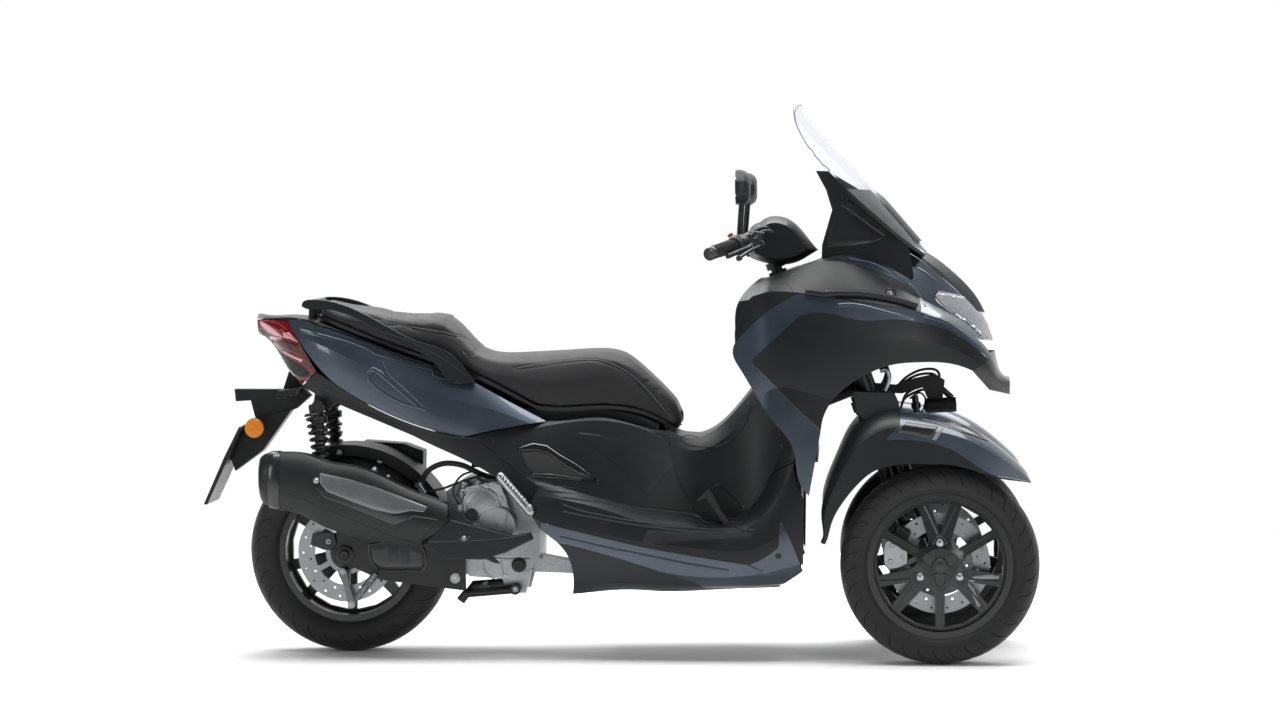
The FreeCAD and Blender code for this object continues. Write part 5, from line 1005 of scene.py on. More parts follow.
def dress_solids(bench: Bench) -> None:
    """Gives every solid that stays its finish.

    Args:
        bench: Frame and finishes.
    """
    finishes = {
        name.replace("*", side): finish
        for finish, names in NODE_FINISHES.items()
        for name in names.split()
        for side in SIDES
    }
    for name, solid in bench.frame["nodes"].items():
        solid.data.materials.clear()
        solid.data.materials.append(bench.shop.get(finishes[name]))
    LOG.info("dressed %d solids", len(finishes))


# Studio


@dataclass
class Studio(Part):
    """Pale floor, soft light and the camera of the photograph; places and sizes are in metres.

    Attributes:
        camera_place: Where the camera stands.
        yaw_degrees: Turn to the left of +Y.
        pitch_degrees: Tilt below level.
        roll_degrees: Roll about the line of sight.
        lens_mm: Focal length.
        film_mm: Width of the picture.
        floor_corners: Lowest and highest x and y of the floor.
        room_dim: Brightness of the room behind the camera, against one for the backdrop.
        backdrop_from: Share of +Y in a direction from which the room is at its brightest.
        boxes: Soft boxes: name, middle, point that each faces, width and height, watts.
    """

    camera_place: tuple[float, float, float] = (0.6137, -8.824, 1.180)
    yaw_degrees: float = 3.59
    pitch_degrees: float = 2.51
    roll_degrees: float = -0.3
    lens_mm: float = 91.68
    film_mm: float = 36.0
    floor_corners: tuple[float, float, float, float] = (-7.0, -7.0, 7.0, 2.6)
    room_dim: float = 0.13
    backdrop_from: float = 0.45
    boxes: tuple = (
        ("overhead_box", (0.2, -0.5, 3.6), (0.2, 0.0, 0.4), (4.2, 1.4), 150.0),
        ("floor_box", (0.2, 1.9, 3.4), (0.2, 1.2, 0.0), (5.0, 1.6), 150.0),
        ("front_strip", (3.4, -3.4, 1.7), (0.6, 0.0, 0.6), (0.5, 2.2), 34.0),
        ("rear_strip", (-3.2, -3.2, 1.7), (-0.5, 0.0, 0.6), (0.5, 2.2), 26.0),
    )

    def camera(self) -> None:
        """Places the camera of the photograph."""
        data = bpy.data.cameras.new("photo_camera")
        data.lens, data.sensor_width, data.sensor_fit = self.lens_mm, self.film_mm, "HORIZONTAL"
        camera = bpy.data.objects.new("photo_camera", data)
        bpy.context.scene.collection.objects.link(camera)
        yaw, pitch, roll = (
            math.radians(a) for a in (self.yaw_degrees, self.pitch_degrees, self.roll_degrees)
        )
        turn = Matrix.Rotation(yaw, 4, "Z") @ Matrix.Rotation(math.pi / 2 - pitch, 4, "X")
        camera.matrix_world = Matrix.Translation(self.camera_place) @ turn @ Matrix.Rotation(roll, 4, "Z")
        bpy.context.scene.camera = camera

    def floor(self) -> None:
        """Lays the pale floor."""
        west, south, east, north = self.floor_corners
        mesh = bpy.data.meshes.new("floor")
        mesh.from_pydata(
            [(west, south, 0), (east, south, 0), (east, north, 0), (west, north, 0)], [], [(0, 1, 2, 3)]
        )
        floor = bpy.data.objects.new("floor", mesh)
        bpy.context.scene.collection.objects.link(floor)
        pale = Finish("pale_studio_floor", "", "#ffffff", "#fdfdfd", Grain.SMOOTH, 400.0, 0.0, (0.7, 0.8))
        mesh.materials.append(self.bench.shop.get(pale))
        floor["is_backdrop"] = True

    def light(self, name: str, middle: tuple, aim: tuple, size: tuple, watts: float) -> None:
        """Hangs one soft box.

        Args:
            name: Name of the lamp.
            middle: Middle of the box.
            aim: Point that it faces.
            size: Width and height.
            watts: Power.
        """
        data = bpy.data.lights.new(name, "AREA")
        data.shape, data.size, data.size_y, data.energy = "RECTANGLE", *size, watts
        lamp = bpy.data.objects.new(name, data)
        bpy.context.scene.collection.objects.link(lamp)
        lamp.location = middle
        lamp.rotation_euler = (Vector(aim) - Vector(middle)).to_track_quat("-Z", "Y").to_euler()

    def build(self) -> None:
        """Sets up the room, the boxes, the camera and the floor."""
        bpy.context.scene.view_settings.view_transform = "Standard"
        world = bpy.data.worlds.new("white_room")
        bpy.context.scene.world = world
        world.use_nodes = True
        tree = world.node_tree
        tree.nodes.clear()
        way = node(tree, "ShaderNodeTexCoord").outputs["Generated"]
        parts = node(tree, "ShaderNodeSeparateXYZ", {}, {"Vector": way})
        ends = {"From Min": 0.0, "From Max": self.backdrop_from, "To Min": self.room_dim, "To Max": 1.0}
        fade = node(tree, "ShaderNodeMapRange", ends, {"Value": parts.outputs["Y"]})
        sky = node(
            tree, "ShaderNodeBackground", {"Color": linear("#ffffff")}, {"Strength": fade.outputs["Result"]}
        )
        node(tree, "ShaderNodeOutputWorld", {}, {"Surface": sky.outputs[0]})
        for box in self.boxes:
            self.light(*box)
        self.camera()
        self.floor()
        LOG.info("studio stands")


# Wheels

FRONT_WHEEL = (1595.0, 235.0, 262.0)
REAR_WHEEL = (0.0, 0.0, 276.0)


@dataclass
class Tyre(Part):
    """A tyre as one closed surface, with its tread grooves and sidewall rings.

    Place = axle + (rim + height * (reach - rim)) turned by the angle, at width * share, where
    height and share follow the carcass line; the grooves are cut in along grid lines that lean
    with the height to the fourth, so each stays sharp.

    Attributes:
        name: Name of the piece.
        node: Solid that it stands for.
        body: CAD body that it rides on.
        centre: Axle.
        reach_mm: Outer radius.
        width_mm: Full width.
        rim_mm: Radius of the bead seat.
        grooves: Number of grooves on each side.
        depth_mm: Depth of a groove.
        lean: Cells that a groove leans forward from sidewall to crown.
        carcass: Heights and half-width shares from the bead to beside the crown.
        foot: Height and share of the bead's inner edge.
        steps: Places along the carcass line.
        cell: Where the grid lines stand in one groove's cell.
        cut: Share of the depth at each of them.
        rings: Sidewall rings: height, width and millimetres that they stand out.
        bare: Height and share up to which no groove is cut, and how fast it comes in past them.
        crown_groove: Half width as a share, and depth in millimetres, of the groove round the crown.
    """

    name: str
    node: str
    body: str
    centre: tuple[float, float, float]
    reach_mm: float
    width_mm: float
    rim_mm: float = 192.0
    grooves: int = 34
    depth_mm: float = 3.4
    lean: float = 1.1
    carcass: tuple = (
        (0.05, 0.8), (0.2, 0.93), (0.4, 1.0), (0.6, 0.985), (0.78, 0.86), (0.91, 0.62), (0.985, 0.3)
    )
    foot: tuple[float, float] = (-0.03, 0.7)
    steps: int = 72
    cell: tuple = (0.0, 0.022, 0.05, 0.072, 0.28, 0.52, 0.76)
    cut: tuple = (0.0, 1.0, 1.0, 0.0, 0.0, 0.0, 0.0)
    rings: tuple = ((0.33, 0.02, 0.9), (0.12, 0.025, 0.7))
    bare: tuple[float, float, float] = (0.4, 0.16, 0.06)
    crown_groove: tuple[float, float] = (0.035, 2.6)

    def build(self) -> None:
        """Draws the surface and puts it in the solid's place."""
        right = [(height, -share) for height, share in self.carcass]
        line = smooth_line(right + [(1.0, 0.0), *self.carcass[::-1]], self.steps)
        line = np.vstack([[(self.foot[0], -self.foot[1])], line, [self.foot]])
        height, share = line[:, 0], line[:, 1]
        rings = sum(out * np.exp(-(((height - at) / width) ** 2)) for at, width, out in self.rings)
        low, middle, ramp = self.bare
        window = np.clip((height - low) / ramp, 0, 1) * np.clip((np.abs(share) - middle) / ramp, 0, 1)
        crown = self.crown_groove[1] * (np.abs(share) < self.crown_groove[0])
        angle = (np.arange(self.grooves)[:, None] + np.array(self.cell)[None, :]).reshape(-1)
        depth = self.depth_mm * np.tile(self.cut, self.grooves)[:, None]
        turn = (angle[:, None] + self.lean * np.clip(height, 0, 1)[None, :] ** 4) * FULL_TURN / self.grooves
        reach = self.rim_mm + height * (self.reach_mm - self.rim_mm) - crown
        reach = reach[None, :] - depth * window[None, :] * np.clip(height * 1.5 - 0.5, 0, 1)
        side = self.width_mm / 2 * share + np.sign(share) * rings * (np.abs(share) < 0.995)
        flat = (window * np.clip(1.4 - height, 0, 1))[None, :]
        side = side[None, :] - np.sign(share)[None, :] * depth * flat
        x, y, z = self.centre
        grid = np.stack([x - AXLE_MM + reach * np.cos(turn), y + side, z + reach * np.sin(turn)], -1) * MM
        piece = self.bench.add(
            self.name, grid_patch(grid, closed_u=True, closed_v=True), Shop.TYRE, self.body, 50.0
        )
        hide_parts(self.node)


@dataclass
class FrontWheelTrim(Part):
    """Hub cap, three wheel nuts on a star, the pale decal on one spoke, raised ribs and the valve.

    Attributes:
        side: Right or left.
        hub_y_mm: Outer face of the hub.
        nut_y_mm: Face that the nuts sit on.
        nut_ring_mm: Radius of the circle of nuts.
        nut_mm: Radius of a nut.
        nut_angles: Where the nuts stand, in degrees.
        cap: Profile of the hub cap.
        boss: Profile of the seat round a nut.
        arm: Outline of an arm of the star, along it and across it.
        arm_span: How far an arm reaches below and above the nuts' face.
        decal: Outer and inner line of the decal.
        valve: Profile of the valve.
        valve_reach_mm: Its distance from the axle.
        valve_angle: Its angle in radians.
        forked: Ribs of the forked spokes: reach, and degrees away from the fork's middle.
        single: Reaches along the ribs of a single spoke.
        single_half_mm: How far these lie from the spoke's middle.
        ring_mm: Radius of the ring inside the rim.
    """

    side: str
    hub_y_mm: float = 282.0
    nut_y_mm: float = 268.0
    nut_ring_mm: float = 60.0
    nut_mm: float = 12.0
    nut_angles: tuple = (90.0, -30.0, 210.0)
    cap: tuple = (
        (19, -4), (19, 1.0), (17.5, 2.2), (15.5, 2.2), (15.2, 1.2), (13, 1.2), (12.6, 2.4), (3, 3.0)
    )
    boss: tuple = ((20, -8), (20, 1.0), (18, 2.6), (14, 2.6), (13, 0.4))
    arm: tuple = ((19, -15), (46, -12), (52, -8), (52, 8), (46, 12), (19, 15))
    arm_span: tuple[float, float] = (-8.0, 11.0)
    decal: tuple = (
        ((1750, 238), (1712, 237), (1684, 234), (1669, 224), (1668, 208), (1680, 184), (1694, 150)),
        ((1750, 226), (1712, 226), (1690, 224), (1681, 217), (1680, 208), (1690, 186), (1704, 158)),
    )
    valve: tuple = ((3.6, 0), (3.6, 9), (2.6, 11), (2.6, 22), (3.4, 23), (3.4, 30), (2.6, 31))
    valve_reach_mm: float = 176.0
    valve_angle: float = 2.2
    forked: tuple = ((82, 5), (120, 11), (162, 15))
    single: tuple = (64, 110, 156)
    single_half_mm: float = 9.0
    ring_mm: float = 171.0

    def build(self) -> None:
        """Builds the trims, the decal and the valve."""
        sign, body, add = SIDES[self.side], f"wheel_{self.side}", self.bench.add
        x, _, z = FRONT_WHEEL
        out, hub = outward(sign), place(x, sign * self.hub_y_mm, z)
        add(f"hub_cap_{self.side}", turned(self.cap, hub, out, 40), Shop.SATIN, body)
        nuts, lobes = [], []
        start, end = (self.nut_y_mm + step for step in self.arm_span)
        for angle in self.nut_angles:
            nut_x, nut_z = swung((self.nut_ring_mm, 0.0), (x, z), angle)
            spot = place(nut_x, sign * self.nut_y_mm, nut_z)
            nuts += screw(spot, out, self.nut_mm, Head.DOME)
            lobes.append(turned(self.boss, spot, out, 32))
            lobes.append(
                slab([swung(pair, (x, z), angle + 180.0) for pair in self.arm], start, end, 2.0, sign)
            )
        add(f"wheel_nuts_{self.side}", nuts, Shop.ZINC, body)
        add(f"hub_star_{self.side}", lobes, Shop.SATIN, body)
        skin = self.bench.skin(f"front_rim_{self.side}", side=sign)
        add(f"spoke_ribs_{self.side}", self.ribs(skin), Shop.WHEEL, body)
        add(f"spoke_decal_{self.side}", draped(skin, *self.decal, 0.5, 1.0, 5, 60), Shop.DECAL, body)
        foot_x, foot_z = swung((self.valve_reach_mm, 0.0), (x, z), math.degrees(self.valve_angle))
        foot = place(foot_x, sign * 236.0, foot_z)
        add(
            f"valve_{self.side}", turned(self.valve, foot, place(x, sign * 262.0, z) - foot, 12), Shop.GRIP,
            body,
        )

    def ribs(self, skin: Skin) -> list[Patch]:
        """Lays raised ribs along the forked and the single spokes, and a ring inside the rim.

        Args:
            skin: Rim that they lie on.

        Returns:
            The ribs and the ring.
        """
        x, _, z = FRONT_WHEEL
        lines = []
        for angle in (90.0, 210.0, 330.0):
            for lean in (-1.0, 1.0):
                lines.append(
                    [swung((reach, 0.0), (x, z), angle + step * lean) for reach, step in self.forked]
                )
            for shift in (-self.single_half_mm, self.single_half_mm):
                lines.append([swung((reach, shift), (x, z), angle + 180.0) for reach in self.single])
        ring = [swung((self.ring_mm, 0.0), (x, z), angle) for angle in np.linspace(0.0, 360.0, 73)]
        return [*skin.beads(lines, 3.2, -1.6, 20, 8), bead(skin, ring, 2.0, 0.0, 145, 6)]


@dataclass
class FrontBrake(Part):
    """Silver caliper half, its pins and the hose beside a front disc.

    Attributes:
        side: Right or left.
        outline: Side view of the caliper.
        span: Its inner and outer face.
        pins: Side-view place and radius of each pin.
        hose_line: Way of the hose, y counted outward.
    """

    side: str
    outline: tuple = (
        (1446, 300), (1452, 322), (1470, 332), (1486, 322), (1494, 304),
        (1512, 296), (1512, 262), (1490, 250), (1462, 246), (1448, 262),
    )
    span: tuple[float, float] = (214.0, 232.0)
    pins: tuple = ((1470, 310, 7.0), (1466, 268, 7.0), (1497, 280, 5.0))
    hose_line: tuple = (
        (1458, 226, 334), (1446, 222, 372), (1462, 205, 412), (1478, 186, 450), (1462, 170, 500)
    )

    def build(self) -> None:
        """Builds the caliper, its pins and its hose."""
        sign, body, add = SIDES[self.side], f"steer_{self.side}", self.bench.add
        add(f"caliper_{self.side}", slab(self.outline, *self.span, 3.0, sign), Shop.SILVER, body)
        pins = [screw(place(x, sign * self.span[1], z), outward(sign), size) for x, z, size in self.pins]
        add(f"caliper_pins_{self.side}", sum(pins, []), Shop.ZINC, body)
        add(f"brake_hose_{self.side}", piped(self.hose_line, 4.5, 60, 10, sign), Shop.GRIP, body)


@dataclass
class RearWheelTrim(Part):
    """Axle nut, the park-brake lever with its spring, the swing arm's relief and the caliper's cover.

    Attributes:
        nut: Face that the axle nut sits on.
        washer: Profile of its washer.
        lever: Side view of the lever.
        pins: Place and radius of the hexagon pins of the lever.
        caliper_pin: Place and radius of the caliper's socket pin.
        spring_ends: Lower and upper eye of the spring.
        spring_turns: Its turns.
        spring_mm: Radius of the coil.
        spring_wire_mm: Radius of the wire.
        window: Rim of the swing arm's hollow.
        window_floor: Upper and lower line of its floor.
        clamps: Blocks in it: upper line, lower line and height.
        caliper: Side view of the caliper's cover.
    """

    nut: tuple[float, float, float] = (2.0, -146.0, 277.0)
    washer: tuple = ((24, -3), (24, 3), (21, 5), (17, 5), (16.5, 3.5), (3, 3.5))
    lever: tuple = (
        (-22, 232), (-4, 238), (4, 228), (10, 190), (20, 160), (26, 140),
        (18, 126), (6, 128), (4, 146), (-4, 186), (-20, 222),
    )
    pins: tuple = (((-9, -122, 228), 6.5), ((15, -122, 138), 7.5))
    caliper_pin: tuple = ((-47, -112, 308), 7.0)
    spring_ends: tuple = ((92, -152, 234), (24, -126, 148))
    spring_turns: int = 15
    spring_mm: float = 8.0
    spring_wire_mm: float = 1.7
    window: tuple = (
        (68, 303), (122, 310), (180, 306), (216, 289), (216, 238), (179, 234), (107, 234), (78, 252),
        (68, 281), (68, 303),
    )
    window_floor: tuple = (
        ((74, 298), (122, 304), (180, 300), (210, 286)), ((76, 258), (107, 240), (179, 240), (210, 244))
    )
    clamps: tuple = (
        (((118, 296), (146, 298)), ((118, 262), (146, 258)), 3.0),
        (((152, 292), (178, 290)), ((152, 250), (178, 252)), 2.2),
    )
    caliper: tuple = ((-90, 330), (-30, 330), (-22, 300), (-34, 284), (-60, 286), (-96, 300))

    def build(self) -> None:
        """Builds the pieces at the rear axle."""
        out, nut, add = outward(RIGHT), place(*self.nut), self.bench.add
        add("axle_washer", turned(self.washer, nut, out, 40), Shop.STEEL)
        add("axle_nut", screw(nut + out * 4 * MM, out, 13.0, Head.HEX), Shop.STEEL)
        add("park_brake_lever", slab(self.lever, -123.0, -116.0, 1.5), Shop.SHEET)
        pins = [screw(place(*spot), out, size, Head.HEX, True) for spot, size in self.pins]
        spot, size = self.caliper_pin
        add("lever_pins", sum(pins, []) + screw(place(*spot), out, size, Head.SOCKET, True), Shop.ZINC)
        add("park_brake_spring", self.spring(), Shop.ZINC)
        arm = self.bench.skin("swing_arm")
        relief = [bead(arm, self.window, 3.0, 0.5, 90, 8), draped(arm, *self.window_floor, 0.4)]
        add("swing_arm_rib", relief, Shop.SATIN)
        add("swing_arm_clamps", [draped(arm, *row, 1.0, 5, 12) for row in self.clamps], Shop.CASE)
        add("rear_caliper_cover", slab(self.caliper, -116.0, -96.0, 3.0), Shop.CASE)

    def spring(self) -> Patch:
        """Winds the lever's spring, straight to its eyes at both ends.

        Returns:
            The closed wire.
        """
        start, end = places(self.spring_ends)
        share = np.linspace(0, 1, self.spring_turns * 14 + 1)
        middle = start + (end - start) * (0.08 + 0.84 * share)[:, None]
        coil = wound(middle, start, end, self.spring_mm, FULL_TURN * self.spring_turns * share)
        coil = np.vstack([start, coil, end])
        return hose(coil, self.spring_wire_mm * MM, len(coil), 6)


@dataclass
class RearShock(Part):
    """A damper with its coil spring, turned about one slanted line.

    Attributes:
        side: Right or left.
        foot: Lower eye, y counted outward.
        head: Upper eye.
        turns: Turns of the spring.
        spring_mm: Radius of the coil.
        wire_mm: Radius of the wire.
        span: Where the spring starts and ends, as shares of the damper's length.
        seats: Where its two cups stand, as such shares.
        sleeve: Profile of the upper sleeve, along it as such shares.
    """

    side: str
    foot: tuple[float, float, float] = (-46.0, 128.0, 434.0)
    head: tuple[float, float, float] = (-86.0, 128.0, 686.0)
    turns: float = 9.5
    spring_mm: float = 20.0
    wire_mm: float = 4.4
    span: tuple[float, float] = (0.17, 0.86)
    seats: tuple[float, float] = (0.15, 0.86)
    sleeve: tuple = ((11, 0.86), (11.5, 0.9), (11.5, 0.96), (8, 0.98))

    def build(self) -> list[Patch]:
        """Returns the coil, its two cups and the sleeve."""
        foot, head = places([(x, SIDES[self.side] * y, z) for x, y, z in (self.foot, self.head)])
        count = int(self.turns * 20)
        middle = foot + (head - foot) * np.linspace(*self.span, count)[:, None]
        coil = wound(middle, foot, head, self.spring_mm, np.linspace(0, FULL_TURN * self.turns, count))
        axis = Vector(head - foot)
        length, wide = axis.length / MM, self.spring_mm
        cup = ((6, 0), (wide + 6, 0), (wide + 6, 4), (wide + 3, 7), (6, 7))
        made = [turned([(r, at * length + a) for r, a in cup], Vector(foot), axis, 28) for at in self.seats]
        made.append(turned([(r, a * length) for r, a in self.sleeve], Vector(foot), axis, 24))
        return [hose(coil, self.wire_mm * MM, count, 8), *made]


def dress_wheels(bench: Bench) -> None:
    """Builds tyres, trims, brakes and shocks.

    Args:
        bench: Frame and finishes.
    """
    x, y, z = FRONT_WHEEL
    for side, sign in SIDES.items():
        names = f"tyre_front_{side}", f"front_tyre_{side}", f"wheel_{side}"
        Tyre(bench, *names, (x, sign * y, z), 262.0, 120.0).build()
        FrontWheelTrim(bench, side).build()
        FrontBrake(bench, side).build()
    Tyre(bench, "tyre_back", "rear_tyre", "wheel_rear", REAR_WHEEL, 276.0, 140.0, grooves=30, lean=1.6).build(
        
    )
    RearWheelTrim(bench).build()
    coils = [patch for side in SIDES for patch in RearShock(bench, side).build()]
    bench.add("shock_springs", coils, Shop.STEEL)
    LOG.info("wheels: three treaded tyres, trims, brakes and springs")


# Seat


@dataclass
class Seat(Part):
    """The double seat: its solid remeshed, puffed as cloth, pressed in along the seams and piped.

    Attributes:
        node: Solid that it stands for.
        voxel_mm: Size of the remesh cells.
        start_mm: How much smaller the foam starts.
        pressure: Pressure in the cover.
        frames: Steps of the cloth run.
        cap_mm: Most that a corner may move in it.
        seam_mm: Depth of the valley at a seam.
        reach_mm: Half width of that valley.
        pipe_mm: Radius of the piping.
        flanks: Side-view lines of the seams along the rider's and the passenger's part.
        cross_x: Seam across the seat: where it is at the flanks and at its middle.
        cross_half_mm: Half its width.
        top_line: Side-view line of the passenger's part.
        rise_mm: Most that a corner is raised to it.
        rise_depth_mm: How far below the top the rise has died away.
        slice_mm: Length of the slices in which the top is looked up.
    """

    node: str = "seat"
    voxel_mm: float = 5.5
    start_mm: float = 0.8
    pressure: float = 4.0
    frames: int = 20
    cap_mm: float = 4.0
    seam_mm: float = 2.6
    reach_mm: float = 6.0
    pipe_mm: float = 1.5
    flanks: tuple = (
        ((470, 778), (540, 788), (620, 796), (694, 796), (760, 768), (814, 720), (858, 668), (880, 640)),
        ((6, 930), (97, 905), (180, 888), (280, 872), (340, 846), (372, 812)),
    )
    cross_x: tuple[float, float] = (352.0, 366.0)
    cross_half_mm: float = 118.0
    top_line: tuple = ((24, 938), (93, 924), (170, 917), (258, 917), (276, 912))
    rise_mm: float = 26.0
    rise_depth_mm: float = 90.0
    slice_mm: float = 6.0

    def puffed(self, piece: bpy.types.Object) -> None:
        """Blows the cover up as cloth over the foam and keeps what it settles to.

        Args:
            piece: The remeshed seat.
        """
        before = looked_up(piece.data, "co")
        cloth = piece.modifiers.new("cloth", "CLOTH")
        cloth.settings.use_pressure = True
        cloth.settings.uniform_pressure_force = self.pressure
        cloth.settings.effector_weights.gravity = 0.0
        scene = bpy.context.scene
        for at in range(1, self.frames + 1):
            scene.frame_set(at)
        after = looked_up(piece.evaluated_get(bpy.context.evaluated_depsgraph_get()).data, "co")
        piece.modifiers.remove(cloth)
        scene.frame_set(1)
        step = after - before
        length = np.linalg.norm(step, axis=1, keepdims=True) + 1e-9
        step *= np.minimum(1.0, self.cap_mm * MM / length)
        piece.data.vertices.foreach_set("co", (before + step).reshape(-1))

    def build(self) -> None:
        """Builds the cover and its piping."""
        source = self.bench.solid(self.node)
        mesh = source.data.copy()
        piece = bpy.data.objects.new("seat_cover", mesh)
        bpy.context.scene.collection.objects.link(piece)
        shell = bmesh.new()
        shell.from_mesh(mesh)
        bmesh.ops.remove_doubles(shell, verts=shell.verts, dist=WELD)
        shell.to_mesh(mesh)
        shell.free()
        remesh = piece.modifiers.new("remesh", "REMESH")
        remesh.mode, remesh.voxel_size = "VOXEL", self.voxel_mm * MM
        smooth = piece.modifiers.new("smooth", "SMOOTH")
        smooth.factor, smooth.iterations = 0.5, 3
        even = bpy.data.meshes.new_from_object(piece.evaluated_get(bpy.context.evaluated_depsgraph_get()))
        piece.modifiers.clear()
        piece.data = even
        drawn = looked_up(even, "co") - looked_up(even, "normal") * self.start_mm * MM
        even.vertices.foreach_set("co", self.levelled(drawn).reshape(-1))
        even.update()
        self.puffed(piece)
        skins = [Skin([source], side) for side in SIDES.values()]
        lines = [skin.over(smooth_line(line, 90))[0] for skin in skins for line in self.flanks]
        lines.append(self.cross_seam(source))
        self.pressed(even, lines)
        even.materials.clear()
        even.materials.append(self.bench.shop.get(Shop.VINYL))
        even.shade_smooth()
        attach(piece, "seat_lid")
        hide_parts(self.node)
        piping = [hose(line, self.pipe_mm * MM, len(line), 8) for line in lines]
        pipes = self.bench.add("seat_piping", piping, Shop.THREAD, "seat_lid")
        LOG.info("seat: %d corners, %d pipes", len(even.vertices), len(pipes.data.vertices))

    def cross_seam(self, source: bpy.types.Object) -> np.ndarray:
        """Finds the seam across the seat, a bow that lies on its top.

        x (s) = x at the flanks + (x at the middle - x at the flanks) * (1 - (2 s - 1) squared).

        Args:
            source: The seat's solid.

        Returns:
            Places on the seam.
        """
        start, end = self.cross_x
        tops = []
        for share, y in zip(
            np.linspace(0.0, 1.0, 60), np.linspace(-self.cross_half_mm, self.cross_half_mm, 60)
        ):
            x = start + (end - start) * (1 - (2 * share - 1) ** 2)
            found, spot, _, _ = source.ray_cast(place(x, y, 1100.0), Vector((0.0, 0.0, -1.0)))
            if found:
                tops.append(np.array(spot))
        return np.array(tops)

    def levelled(self, points: np.ndarray) -> np.ndarray:
        """Fills the hollow in the passenger's part up to its straight top line.

        Rise = (top line - highest corner of that slice) * how near the corner lies to the top,
        eased as s * s * (3 - 2 s).

        Args:
            points: Corner places in metres, one row each.

        Returns:
            The places, raised where the foam is full.
        """
        x_mm = points[:, 0] / MM + AXLE_MM
        slices = (x_mm // self.slice_mm).astype(int)
        slices -= slices.min()
        top = np.full(slices.max() + 1, -1.0)
        np.maximum.at(top, slices, points[:, 2])
        line_x, line_z = np.array(self.top_line, float).T
        inside = (x_mm > line_x[0]) & (x_mm < line_x[-1])
        rise = np.clip(np.interp(x_mm, line_x, line_z) * MM - top[slices], 0.0, self.rise_mm * MM)
        full = self.rise_depth_mm * MM
        share = np.clip((points[:, 2] - top[slices] + full) / full, 0.0, 1.0)
        points[:, 2] += np.where(inside, rise * share * share * (3 - 2 * share), 0.0)
        return points

    def pressed(self, mesh: bpy.types.Mesh, lines: list[np.ndarray]) -> None:
        """Presses the cover in along the seams.

        Depth = seam * exp(-(distance to the nearest seam / reach) squared), along the normal.

        Args:
            mesh: The cover.
            lines: Places on the seams, in metres.
        """
        points, ways = looked_up(mesh, "co"), looked_up(mesh, "normal")
        seam = np.vstack(lines)
        batches = np.array_split(points, len(points) // 4000 + 1)
        near = np.concatenate([np.linalg.norm(part[:, None] - seam[None], axis=2).min(1) for part in batches])
        depth = self.seam_mm * MM * np.exp(-((near / (self.reach_mm * MM)) ** 2))
        mesh.vertices.foreach_set("co", (points - ways * depth[:, None]).reshape(-1))
        mesh.update()


# Lamps


